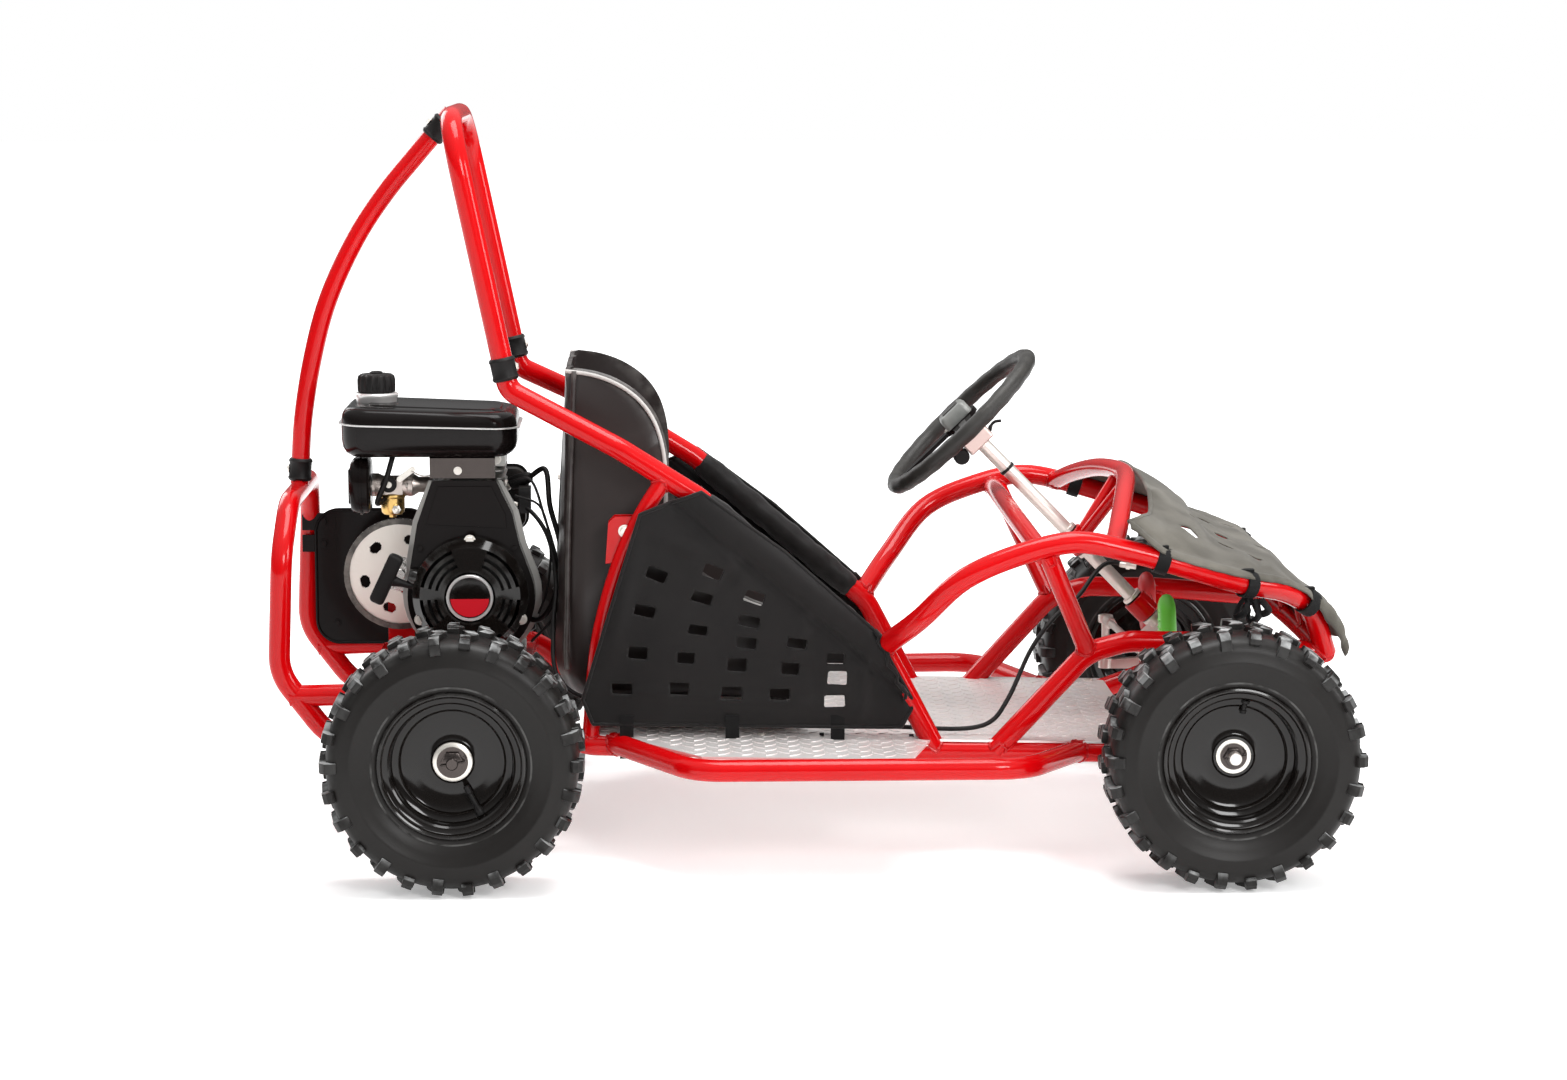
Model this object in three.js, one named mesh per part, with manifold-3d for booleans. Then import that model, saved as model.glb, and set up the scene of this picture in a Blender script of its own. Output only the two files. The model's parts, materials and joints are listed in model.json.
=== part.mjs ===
// An off-road kart for one child: a welded tube frame with a roll hoop, a moulded bucket seat,
// cloth side panels and a cloth nose cover, and a small engine behind the seat that drives the
// rear axle through two chains. The front wheels are steered by a tilted column and tie rods.
// Millimetres. +X is forward, +Y is the driver's left and +Z is up. The ground is Z = 0, the
// kart's middle plane is Y = 0, and X = 0 is half way along its whole length.
import * as THREE from "three";
import { mergeVertices } from "three/addons/utils/BufferGeometryUtils.js";
import Module from "manifold-3d";

const wasm = await Module();
wasm.setup();

// Driving dimensions of the whole kart
const wheelbase = 970;
const frameWidth = 446;
const wheelOffset = 177;
const hoopHeight = 948;
const rearReach = 250;
const tubeDiameter = 28;
const crossTubeDiameter = 25;
const slimTubeDiameter = 16;
const tyreDiameter = 330;
const tyreWidth = 127;
const beadDiameter = 153.6;
const flangeDiameter = 185;
const rimWidth = 101;
const axleDiameter = 25;
const sheetThickness = 3;
const clothThickness = 3;
const gap = 0.3;

// Counts and tolerances of the faceted surfaces
const tubeSides = 8;
const slimSides = 6;
const turnSides = 8;
const wheelSides = 12;
const sprocketSides = 16;
const cornerSteps = 3;
const bendStep = Math.PI / 6;
const archSteps = 11;
const braceSteps = 8;
const crossbarSteps = 4;
const hoodHoopSteps = 8;
const postSteps = 5;
const cableSteps = 24;
const earSteps = 4;
const plateSteps = 6;
const shroudSteps = 10;
const nutSides = 6;
const weldShare = 1e-6;

// Places that follow from the driving dimensions
const tyreRadius = tyreDiameter / 2;
const knobPairs = 6;
const stationsPerKnob = 4;
const treadStations = knobPairs * stationsPerKnob;
const axleHeight = tyreRadius * Math.cos(Math.PI / treadStations);
const rearAxleX = (rearReach - wheelbase - tyreRadius) / 2;
const frontAxleX = rearAxleX + wheelbase;
const halfFrame = frameWidth / 2;
const halfTrack = halfFrame + wheelOffset;
const tubeRadius = tubeDiameter / 2;
const crossTubeRadius = crossTubeDiameter / 2;
const axleRadius = axleDiameter / 2;
const overrun = tubeDiameter;
const sides = { right: -1, left: 1 };

// The radius of a faceted hole that leaves a round body of this radius free to turn
function room(radius, count = turnSides) {
  return radius / Math.cos(Math.PI / count);
}

// Materials
function finish(color, roughness, metalness) {
  return new THREE.MeshStandardMaterial({ color, roughness, metalness });
}
const redPaint = finish(0xd90f17, 0.25, 0.1);
const blackPlastic = finish(0x1b1a1b, 0.45, 0);
const blackPaint = finish(0x101011, 0.2, 0.1);
const tyreRubber = finish(0x1c1d1f, 0.8, 0);
const zinc = finish(0xb9b4ad, 0.35, 0.9);
const castAluminium = finish(0x8e8c88, 0.5, 0.8);
const brightAluminium = finish(0xd8d8d6, 0.3, 0.9);
const brass = finish(0xb98a3c, 0.35, 0.9);
const blackCloth = finish(0x222224, 0.9, 0);
const greyCloth = finish(0x55554f, 0.9, 0);
const greenRubber = finish(0x4bb52f, 0.6, 0);
const redRubber = finish(0xb5161a, 0.6, 0);

// Solids: a geometry becomes a closed body that can be joined and cut, and a geometry again
function solid(geometry) {
  const loose = geometry.index ? geometry.toNonIndexed() : geometry;
  const bare = new THREE.BufferGeometry();
  bare.setAttribute("position", loose.getAttribute("position"));
  const merged = mergeVertices(bare, weldShare * wheelbase);
  return new wasm.Manifold(
    new wasm.Mesh({
      numProp: 3,
      vertProperties: merged.attributes.position.array,
      triVerts: new Uint32Array(merged.index.array),
    }),
  );
}

function geometryOf(body) {
  const mesh = body.getMesh();
  const geometry = new THREE.BufferGeometry();
  const positions = new THREE.BufferAttribute(mesh.vertProperties, mesh.numProp);
  geometry.setAttribute("position", positions);
  geometry.setIndex(new THREE.BufferAttribute(mesh.triVerts, 1));
  geometry.computeVertexNormals();
  return geometry;
}

function joined(bodies) {
  return bodies.reduce((whole, body) => whole.add(body));
}

function cut(body, tools) {
  const rest = tools.reduce((left, tool) => left.subtract(tool), body);
  return rest.decompose().sort((a, b) => b.volume() - a.volume())[0];
}

const kart = new THREE.Group();
function place(name, body, material, parent = kart) {
  const mesh = new THREE.Mesh(geometryOf(body), material);
  mesh.name = name;
  parent.add(mesh);
  return mesh;
}

// Simple shapes, each given by its lowest and highest corner or by its axis
function box(low, high) {
  const size = high.map((value, i) => value - low[i]);
  const middle = high.map((value, i) => (value + low[i]) / 2);
  return solid(new THREE.BoxGeometry(...size).translate(...middle));
}

function rod(from, to, radius, count = turnSides, turn = 0) {
  const start = new THREE.Vector3(...from);
  const along = new THREE.Vector3(...to).sub(start);
  const length = along.length();
  const geometry = new THREE.CylinderGeometry(radius, radius, length, count, 1, false, turn);
  const up = new THREE.Vector3(0, 1, 0);
  geometry.applyQuaternion(new THREE.Quaternion().setFromUnitVectors(up, along.normalize()));
  geometry.translate(...start.addScaledVector(along, length / 2).toArray());
  return solid(geometry);
}

// A hole whose flats lie on this radius, opposite the corners of the rod that turns in it
function hole(from, to, radius, count = turnSides) {
  return rod(from, to, room(radius, count), count, Math.PI / count);
}

// A turned body about a line along Y through x and z, from an outline of [radius, y] points
function turned(outline, x, z, count = turnSides) {
  const points = outline.map(([r, y]) => new THREE.Vector2(r, y));
  if (THREE.ShapeUtils.area(points) < 0) points.reverse();
  if (points.every((point) => point.x > 0)) points.push(points[0].clone());
  return solid(new THREE.LatheGeometry(points, count).translate(x, 0, z));
}

// A plate from an outline of [x, z] points, between two values of y
function plateXZ(outline, yLow, yHigh, holes = []) {
  const shape = new THREE.Shape(outline.map(([x, z]) => new THREE.Vector2(x, z)));
  for (const hole of holes) {
    shape.holes.push(new THREE.Path(hole.map(([x, z]) => new THREE.Vector2(x, z))));
  }
  const geometry = new THREE.ExtrudeGeometry(shape, {
    depth: yHigh - yLow,
    bevelEnabled: false,
  });
  return solid(geometry.rotateX(Math.PI / 2).translate(0, yHigh, 0));
}

// A plate from an outline of [x, y] points, between two values of z
function plateXY(outline, zLow, zHigh, bevel = 0) {
  const shape = new THREE.Shape(outline.map(([x, y]) => new THREE.Vector2(x, y)));
  const geometry = new THREE.ExtrudeGeometry(shape, {
    depth: zHigh - zLow - 2 * bevel,
    bevelEnabled: bevel > 0,
    bevelThickness: bevel,
    bevelSize: bevel,
    bevelOffset: -bevel,
    bevelSegments: 1,
  });
  return solid(geometry.translate(0, 0, zLow + bevel));
}

// A plate from an outline of [y, z] points, between two values of x
function plateYZ(outline, xLow, xHigh) {
  const shape = new THREE.Shape(outline.map(([y, z]) => new THREE.Vector2(y, z)));
  const geometry = new THREE.ExtrudeGeometry(shape, {
    depth: xHigh - xLow,
    bevelEnabled: false,
  });
  const turn = new THREE.Matrix4().set(0, 0, 1, xLow, 1, 0, 0, 0, 0, 1, 0, 0, 0, 0, 0, 1);
  return solid(geometry.applyMatrix4(turn));
}

function arcPoints(x, z, radius, from, to, count) {
  const points = [];
  for (let i = 0; i <= count; i++) {
    const angle = from + ((to - from) * i) / count;
    points.push([x + radius * Math.cos(angle), z + radius * Math.sin(angle)]);
  }
  return points;
}

function circle(x, z, radius, count = turnSides) {
  return arcPoints(x, z, radius, 0, 2 * Math.PI, count).slice(0, count);
}

function roundedRectangle(xLow, xHigh, yLow, yHigh, radius) {
  const quarter = Math.PI / 2;
  const corners = [
    [xHigh - radius, yHigh - radius],
    [xLow + radius, yHigh - radius],
    [xLow + radius, yLow + radius],
    [xHigh - radius, yLow + radius],
  ];
  return corners.flatMap(([x, y], i) =>
    arcPoints(x, y, radius, i * quarter, (i + 1) * quarter, cornerSteps),
  );
}

// Tubes: a route is a list of stations, so that only the bends are divided
class Route extends THREE.Curve {
  constructor(stations) {
    super();
    this.stations = stations;
  }
  station(share) {
    return this.stations[Math.round(share * (this.stations.length - 1))];
  }
  getPoint(share, target = new THREE.Vector3()) {
    return target.copy(this.station(share).point);
  }
  getPointAt(share, target) {
    return this.getPoint(share, target);
  }
  getTangent(share, target = new THREE.Vector3()) {
    return target.copy(this.station(share).tangent);
  }
  getTangentAt(share, target) {
    return this.getTangent(share, target);
  }
}

// A route of straight runs with a round bend at each corner
function bentRoute(corners, bendRadius) {
  const points = corners.map((corner) => new THREE.Vector3(...corner));
  const stations = [];
  const first = points[1].clone().sub(points[0]).normalize();
  stations.push({ point: points[0], tangent: first });
  for (let i = 1; i < points.length - 1; i++) {
    const before = points[i].clone().sub(points[i - 1]);
    const after = points[i + 1].clone().sub(points[i]);
    const straight = Math.min(before.length(), after.length()) / 2;
    before.normalize();
    after.normalize();
    const turn = before.angleTo(after);
    const reach = Math.min(bendRadius * Math.tan(turn / 2), straight);
    const steps = Math.max(1, Math.ceil(turn / bendStep));
    const start = points[i].clone().addScaledVector(before, -reach);
    const end = points[i].clone().addScaledVector(after, reach);
    const bend = new THREE.QuadraticBezierCurve3(start, points[i], end);
    for (let k = 0; k <= steps; k++) {
      const tangent = bend.getTangent(k / steps);
      stations.push({ point: bend.getPoint(k / steps), tangent });
    }
  }
  const last = points.at(-1).clone().sub(points.at(-2)).normalize();
  stations.push({ point: points.at(-1), tangent: last });
  return new Route(stations);
}

// A route on one smooth curve through its points
function smoothRoute(points, count) {
  const vectors = points.map((point) => new THREE.Vector3(...point));
  const curve = new THREE.CatmullRomCurve3(vectors, false, "centripetal");
  const stations = [];
  for (let k = 0; k <= count; k++) {
    const share = k / count;
    stations.push({ point: curve.getPointAt(share), tangent: curve.getTangentAt(share) });
  }
  return new Route(stations);
}

function tube(route, diameter, count = tubeSides) {
  const section = new THREE.Shape();
  section.setFromPoints(
    circle(0, 0, diameter / 2, count).map(([x, y]) => new THREE.Vector2(x, y)),
  );
  return solid(
    new THREE.ExtrudeGeometry(section, {
      steps: route.stations.length - 1,
      bevelEnabled: false,
      extrudePath: route,
    }),
  );
}

// A place in the frame: shares of the wheelbase from the rear axle, of half the frame's width
// and of the hoop's height
function at([alongShare, acrossShare, upShare], side = 1) {
  return [
    rearAxleX + alongShare * wheelbase,
    side * acrossShare * halfFrame,
    upShare * hoopHeight,
  ];
}

function sidePoint([alongShare, upShare]) {
  return [rearAxleX + alongShare * wheelbase, upShare * hoopHeight];
}

// A route that runs over to the other side as its own mirror image
function mirrored(shares) {
  const across = shares.map((share) => at(share, -1));
  const back = shares.map((share) => at(share)).reverse();
  const middle = shares.at(-1)[1] === 0 ? 1 : 0;
  return across.concat(back.slice(middle));
}

// Frame routes
const mainBendRadius = 70;
const rearHoopShares = [
  [-0.0464, 0.874, 0.154],
  [-0.1732, 0.874, 0.154],
  [-0.2433, 0.874, 0.2489],
  [-0.2371, 0.874, 0.41],
  [-0.232, 0.62, 0.475],
];
const floorRailShares = [
  [-0.2289, 0.874, 0.2173],
  [0.0866, 0.915, 0.2236],
  [0.1505, 1, 0.153],
  [0.6598, 1, 0.1414],
  [0.9072, 1, 0.1382],
  [1, 1, 0.173],
];
const sideBarShares = [
  [0.2021, 1, 0.1551],
  [0.3093, 1.695, 0.1487],
  [0.7381, 1.731, 0.1508],
  [0.8247, 1, 0.1403],
];
const seatRailShares = [
  [0.2134, 0.969, 0.557],
  [0.3144, 1, 0.4926],
  [0.5639, 1, 0.2764],
  [0.633, 1, 0.1414],
];
const archShares = [
  [0.5567, 1, 0.2827],
  [0.6031, 1.345, 0.3354],
  [0.6598, 1.547, 0.3987],
  [0.734, 1.57, 0.4325],
  [0.8041, 1.57, 0.4473],
  [0.8763, 1.57, 0.4335],
  [1.0155, 1.502, 0.3903],
  [1.0887, 1.309, 0.3692],
  [1.1258, 1.157, 0.3397],
  [1.1505, 1.067, 0.2764],
];
const lowerTubeShares = [
  [0.7113, 1.009, 0.1414],
  [0.834, 1.036, 0.2785],
  [0.8866, 1.045, 0.2932],
  [0.9897, 1.049, 0.2911],
  [1.1505, 1.067, 0.2764],
];
const strutShares = [
  [0.7649, 1.565, 0.4346],
  [0.834, 1.036, 0.2785],
];
const crossbarShares = [
  [0.7598, 1.556, 0.4304],
  [0.7443, 0.673, 0.4515],
  [0.7381, 0, 0.4599],
];
const hoodHoopShares = [
  [0.8515, 1.561, 0.4367],
  [0.868, 1.211, 0.459],
  [0.8897, 0.673, 0.4832],
  [0.9041, 0.269, 0.4921],
  [0.9093, 0, 0.4937],
];
const rollHoopShares = [
  [0.059, 0.753, 0.6614],
  [-0.0103, 0.753, 1],
];
const braceShares = [
  [-0.2299, 0, 0.5042],
  [-0.2247, 0, 0.5759],
  [-0.2093, 0, 0.6656],
  [-0.1876, 0, 0.7437],
  [-0.1464, 0, 0.8323],
  [-0.1062, 0, 0.8935],
  [-0.066, 0, 0.943],
  [-0.034, 0, 0.981],
];
const bumperUpperShares = [
  [1.1278, 1.148, 0.3354],
  [1.1402, 0, 0.3354],
];
const bumperLowerShares = [
  [1.1505, 1.067, 0.2764],
  [1.1537, 0, 0.2764],
];

function tubeWithClearance(route, diameter) {
  return { body: tube(route, diameter), clear: tube(route, diameter + 2 * gap) };
}

function along(from, direction, distance) {
  return new THREE.Vector3(...from).addScaledVector(direction, distance).toArray();
}

// Sleeves that bolt the roll hoop and its brace to stubs on the frame
const sleeveWall = 2;
const sleeveLength = 26;
const stubLength = 28;
function sleeve(end, direction, diameter) {
  const boreRadius = room(diameter / 2 + gap, tubeSides);
  const outer = rod(
    along(end, direction, -sleeveLength / 2),
    along(end, direction, sleeveLength / 2),
    boreRadius + sleeveWall,
    tubeSides,
  );
  return outer.subtract(rod(end, along(end, direction, sleeveLength), boreRadius, tubeSides));
}

// Axle hangers: plates under the rear rails with the bearings that carry the rear axle
const hangerLength = 90;
const hangerThickness = 8;
const hangerAcross = rearHoopShares[0][1] * halfFrame;
const bearingRadius = 30;
const bearingWidth = 26;
const bearingClearance = 0.4;
const rearHoopFootX = rearAxleX - hangerLength / 2 - gap;

const rearHoopCorners = mirrored(rearHoopShares);
rearHoopCorners[0][0] = rearHoopFootX;
rearHoopCorners.at(-1)[0] = rearHoopFootX;
const rearHoop = tubeWithClearance(bentRoute(rearHoopCorners, mainBendRadius), tubeDiameter);
const kingpinInset = 110;
const kingpinAcross = halfTrack - kingpinInset;
const beamInset = 22.4;
const beamAcross = kingpinAcross - beamInset;
const beamRoute = bentRoute(
  [
    [frontAxleX, -beamAcross, axleHeight],
    [frontAxleX, beamAcross, axleHeight],
  ],
  mainBendRadius,
);
const beam = tubeWithClearance(beamRoute, tubeDiameter);

const rails = {};
for (const [name, side] of Object.entries(sides)) {
  const floorRoute = bentRoute(
    floorRailShares.map((share) => at(share, side)),
    mainBendRadius,
  );
  const floorRail = tubeWithClearance(floorRoute, tubeDiameter);
  const legEnd = at(rollHoopShares[0], side);
  const legTop = new THREE.Vector3(...at(rollHoopShares[1], side));
  const legDirection = new THREE.Vector3(...legEnd).sub(legTop).normalize();
  const seatCorners = [
    along(legEnd, legDirection, 2 * gap),
    along(legEnd, legDirection, stubLength),
    ...seatRailShares.map((share) => at(share, side)),
  ];
  const seatRoute = bentRoute(seatCorners, mainBendRadius);
  const seatRail = tubeWithClearance(seatRoute, tubeDiameter);
  const archRoute = smoothRoute(
    archShares.map((share) => at(share, side)),
    archSteps,
  );
  const arch = tubeWithClearance(archRoute, tubeDiameter);
  const lowerRoute = bentRoute(
    lowerTubeShares.map((share) => at(share, side)),
    mainBendRadius,
  );
  const lower = tubeWithClearance(lowerRoute, tubeDiameter);
  const strutRoute = bentRoute(
    strutShares.map((share) => at(share, side)),
    mainBendRadius,
  );
  const strut = tubeWithClearance(strutRoute, crossTubeDiameter);
  const sideBarRoute = bentRoute(
    sideBarShares.map((share) => at(share, side)),
    mainBendRadius,
  );
  const sideBar = tubeWithClearance(sideBarRoute, tubeDiameter);
  rails[name] = { floorRail, seatRail, seatRoute, arch, lower, strut, sideBar };

  place(`floor_rail_${name}`, cut(floorRail.body, [rearHoop.clear, beam.clear]), redPaint);
  place(`side_bar_${name}`, cut(sideBar.body, [floorRail.clear]), redPaint);
  place(`seat_rail_${name}`, cut(seatRail.body, [floorRail.clear]), redPaint);
  place(`arch_tube_${name}`, cut(arch.body, [seatRail.clear]), redPaint);
  const lowerTube = joined([lower.body, strut.body]);
  place(`lower_tube_${name}`, cut(lowerTube, [floorRail.clear, arch.clear]), redPaint);

  // Axle hanger and bearing
  const hangerTop = floorRailShares[1][2] * hoopHeight;
  const middleY = side * hangerAcross;
  const plate = box(
    [rearAxleX - hangerLength / 2, middleY - hangerThickness / 2, axleHeight - bearingRadius],
    [rearAxleX + hangerLength / 2, middleY + hangerThickness / 2, hangerTop],
  );
  const halfWidth = bearingWidth / 2;
  const from = [rearAxleX, middleY - halfWidth, axleHeight];
  const to = [rearAxleX, middleY + halfWidth, axleHeight];
  const bore = hole(
    [rearAxleX, middleY - bearingWidth, axleHeight],
    [rearAxleX, middleY + bearingWidth, axleHeight],
    axleRadius + bearingClearance,
  );
  const hanger = joined([plate, rod(from, to, bearingRadius)]);
  place(`axle_hanger_${name}`, cut(hanger, [bore, floorRail.clear]), redPaint);
}
const { right, left } = rails;
const bothFloorRails = [right.floorRail.clear, left.floorRail.clear];
const bothSeatRails = [right.seatRail.clear, left.seatRail.clear];
const bothArches = [right.arch.clear, left.arch.clear];
const bothLowerTubes = [right.lower.clear, left.lower.clear];

// Rear hoop with the stub for the roll brace
const braceRoute = smoothRoute(
  braceShares.map((share) => at(share)),
  braceSteps,
);
const braceFoot = at(braceShares[0]);
const braceHead = at(braceShares.at(-1));
const braceFootDirection = braceRoute.stations[0].tangent.clone().negate();
const braceHeadDirection = braceRoute.stations.at(-1).tangent.clone();
const footStub = rod(
  along(braceFoot, braceFootDirection, 2 * gap),
  along(braceFoot, braceFootDirection, stubLength),
  crossTubeRadius,
  tubeSides,
);
place("rear_hoop", joined([rearHoop.body, footStub]), redPaint);

// Roll hoop
const hoopBendRadius = 80;
const hoopCorners = mirrored(rollHoopShares);
const hoopRoute = bentRoute(hoopCorners, hoopBendRadius);
const hoopEnds = [hoopRoute.stations[0], hoopRoute.stations.at(-1)];
const hoopSleeves = hoopEnds.map((station) => {
  const down = station.tangent.clone();
  if (down.z > 0) down.negate();
  return sleeve(station.point.toArray(), down, tubeDiameter);
});
const headStub = rod(
  along(braceHead, braceHeadDirection, 2 * gap),
  along(braceHead, braceHeadDirection, stubLength),
  crossTubeRadius,
  tubeSides,
);
place("roll_hoop", joined([tube(hoopRoute, tubeDiameter), headStub, ...hoopSleeves]), redPaint);

// Roll brace with a sleeve at each end
const braceSleeves = [
  sleeve(braceFoot, braceFootDirection, crossTubeDiameter),
  sleeve(braceHead, braceHeadDirection, crossTubeDiameter),
];
place("roll_brace", joined([tube(braceRoute, crossTubeDiameter), ...braceSleeves]), redPaint);

// Steering column line, from the wheel's middle down to the pitman plate
const columnTopShares = [0.6804, 0, 0.5707];
const columnFootShares = [0.9629, 0, 0.2743];
const columnRadius = 9.5;
const columnTop = new THREE.Vector3(...at(columnTopShares));
const columnFoot = new THREE.Vector3(...at(columnFootShares));
const columnLength = columnTop.distanceTo(columnFoot);
const columnDirection = columnFoot.clone().sub(columnTop).normalize();
const columnUp = new THREE.Vector3(-columnDirection.z, 0, columnDirection.x);
function onColumn(distance, up = 0, across = 0) {
  const point = columnTop.clone().addScaledVector(columnDirection, distance);
  point.addScaledVector(columnUp, up);
  return [point.x, across, point.z];
}

// Crossbar between the arches
const crossbarRoute = smoothRoute(mirrored(crossbarShares), crossbarSteps);
const crossbar = tube(crossbarRoute, crossTubeDiameter);
const bothStruts = [right.strut.clear, left.strut.clear];
place("steering_crossbar", cut(crossbar, [...bothArches, ...bothStruts]), redPaint);

// Hood hoop with the upper bush of the steering column on two braces
const bushRadius = 17;
const bushLength = 30;
const bushClearance = 0.4;
const upperBushShare = 0.583;
const upperBushAt = upperBushShare * columnLength;
const braceSpread = 45;
const braceDip = 2;
const bushBore = hole(
  onColumn(upperBushAt - bushLength),
  onColumn(upperBushAt + bushLength),
  columnRadius + bushClearance,
);
const bushHousing = rod(
  onColumn(upperBushAt - bushLength / 2),
  onColumn(upperBushAt + bushLength / 2),
  bushRadius,
);
const hoodHoopTop = at(hoodHoopShares.at(-1));
const hoodBraces = [-1, 1].map((side) =>
  rod(
    [hoodHoopTop[0] - gap, side * braceSpread, hoodHoopTop[2] - braceDip],
    onColumn(upperBushAt, bushRadius - slimTubeDiameter / 2, side * (columnRadius + slimTubeDiameter / 2)),
    slimTubeDiameter / 2,
    slimSides,
  ),
);
const hoodHoopRoute = smoothRoute(mirrored(hoodHoopShares), hoodHoopSteps);
const hoodHoopTube = cut(tube(hoodHoopRoute, crossTubeDiameter), bothArches);
place(
  "hood_hoop",
  cut(joined([hoodHoopTube, ...hoodBraces, bushHousing]), [bushBore]),
  redPaint,
);

// Front bumper: two cross tubes with two uprights between the ends of the arches
const uprightAcrossShare = 0.33;
const bumperUpperRoute = smoothRoute(mirrored(bumperUpperShares), 2);
const bumperUpper = tube(bumperUpperRoute, crossTubeDiameter);
const bumperLowerRoute = smoothRoute(mirrored(bumperLowerShares), 2);
const bumperLower = tube(bumperLowerRoute, crossTubeDiameter);
const uprights = [-1, 1].map((side) =>
  rod(
    at([bumperUpperShares[1][0], uprightAcrossShare, bumperUpperShares[1][2]], side),
    at([bumperLowerShares[1][0], uprightAcrossShare, bumperLowerShares[1][2]], side),
    slimTubeDiameter / 2,
    slimSides,
  ),
);
const bumper = joined([bumperUpper, bumperLower, ...uprights]);
place("front_bumper", cut(bumper, [...bothArches, ...bothLowerTubes]), redPaint);

// Front beam: the cross tube under the nose, with a yoke and kingpin at each end, uprights to
// the lower tubes, ears for the pedals and the riser of the column's lower bush
const kingpinRadius = 7;
const yokePlate = 6;
const yokeLength = 40;
const knuckleHeight = 52;
const runningClearance = 0.5;
const yokeInner = knuckleHeight / 2 + runningClearance;
const yokeOuter = yokeInner + yokePlate;
const yokeWebInner = 26;
const yokeReach = 18;
const pedalAcross = 100;
const pedalSetback = 45;
const pedalPivotX = frontAxleX - pedalSetback;
const pedalPivotZ = axleHeight + gap;
const pedalPinRadius = 5;
const pedalWidth = 22;
const earThickness = 4;
const earRadius = 11;
const lowerBushShare = 0.907;
const lowerBushAt = lowerBushShare * columnLength;
const riserThickness = 8;
const beamPieces = [beam.body];
for (const side of [-1, 1]) {
  const pin = side * kingpinAcross;
  const inner = side * (kingpinAcross - yokeWebInner);
  const outer = side * (kingpinAcross + yokeReach);
  for (const face of [-1, 1]) {
    const z = [face * yokeInner + axleHeight, face * yokeOuter + axleHeight];
    beamPieces.push(
      box(
        [frontAxleX - yokeLength / 2, Math.min(inner, outer), Math.min(...z)],
        [frontAxleX + yokeLength / 2, Math.max(inner, outer), Math.max(...z)],
      ),
    );
  }
  const web = [inner, side * (kingpinAcross - yokeWebInner - yokePlate)];
  const upright = rod(
    [frontAxleX, side * halfFrame, axleHeight],
    at(lowerTubeShares[3], side),
    crossTubeRadius,
    tubeSides,
  );
  beamPieces.push(
    box(
      [frontAxleX - yokeLength / 2, Math.min(...web), axleHeight - yokeOuter],
      [frontAxleX + yokeLength / 2, Math.max(...web), axleHeight + yokeOuter],
    ),
    rod(
      [frontAxleX, pin, axleHeight - yokeOuter - yokePlate],
      [frontAxleX, pin, axleHeight + yokeOuter + yokePlate],
      kingpinRadius,
    ),
    upright.subtract(side < 0 ? right.floorRail.clear : left.floorRail.clear),
  );
  const pivotMiddle = side * pedalAcross;
  for (const ear of [-1, 1]) {
    const low = pivotMiddle + ear * (pedalWidth / 2 + runningClearance);
    const high = low + ear * earThickness;
    const ends = [Math.min(low, high), Math.max(low, high)];
    beamPieces.push(
      plateXZ(
        [
          ...arcPoints(pedalPivotX, pedalPivotZ, earRadius, Math.PI / 2, 1.5 * Math.PI, earSteps),
          [frontAxleX, pedalPivotZ - earRadius],
          [frontAxleX, pedalPivotZ + earRadius],
        ],
        ...ends,
      ),
    );
  }
  const pinHalf = pedalWidth / 2 + runningClearance + earThickness;
  beamPieces.push(
    rod(
      [pedalPivotX, pivotMiddle - pinHalf, pedalPivotZ],
      [pedalPivotX, pivotMiddle + pinHalf, pedalPivotZ],
      pedalPinRadius,
    ),
  );
}
const lowerBushMiddle = onColumn(lowerBushAt);
const riserTopZ = lowerBushMiddle[2] + 2 * bushRadius;
const riserX = frontAxleX + crossTubeRadius;
const riserNear = onColumn(lowerBushAt + bushLength / 3, columnRadius + bushClearance + sheetThickness);
const riserFar = onColumn(lowerBushAt - bushLength / 3, columnRadius + bushClearance + sheetThickness);
beamPieces.push(
  plateXZ(
    [
      [frontAxleX - gap, axleHeight],
      [riserX, axleHeight],
      [riserX, riserTopZ],
      [riserFar[0] + bushRadius, riserTopZ],
      riserFar.filter((value, i) => i !== 1),
      riserNear.filter((value, i) => i !== 1),
      [frontAxleX - gap, riserNear[2] + bushRadius / 3],
    ],
    -riserThickness / 2,
    riserThickness / 2,
  ),
  rod(
    onColumn(lowerBushAt - bushLength / 3),
    onColumn(lowerBushAt + bushLength / 3),
    bushRadius,
  ),
);
const lowerBushBore = hole(
  onColumn(lowerBushAt - bushLength),
  onColumn(lowerBushAt + bushLength),
  columnRadius + bushClearance,
);
place("front_beam", cut(joined(beamPieces), [lowerBushBore, ...bothLowerTubes]), redPaint);

// Engine cradle: two cross tubes between the rear rails with the engine plate, and the two
// bearing plates of the jackshaft
const cradleRearShare = -0.1134;
const cradleFrontShare = 0.0742;
const cradleShare = 0.2215;
const enginePlateAcross = 95;
const jackshaftXShare = -0.1031;
const jackshaftHeight = 94.5;
const jackshaftRadius = 8;
const jackshaftClearance = 0.4;
const jackshaftPlateInner = 118;
const jackshaftPlateOuter = 160;
const jackshaftPlates = [jackshaftPlateInner, jackshaftPlateOuter];
const jackshaftPlateThickness = 6;
const jackshaftPlateLength = 36;
const jackshaftX = rearAxleX + jackshaftXShare * wheelbase;
const cradleRearX = rearAxleX + cradleRearShare * wheelbase;
const cradleFrontX = rearAxleX + cradleFrontShare * wheelbase;
const cradleZ = cradleShare * hoopHeight;
const cradleTop = cradleZ + crossTubeRadius;
const plateTop = cradleTop + sheetThickness;
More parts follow.
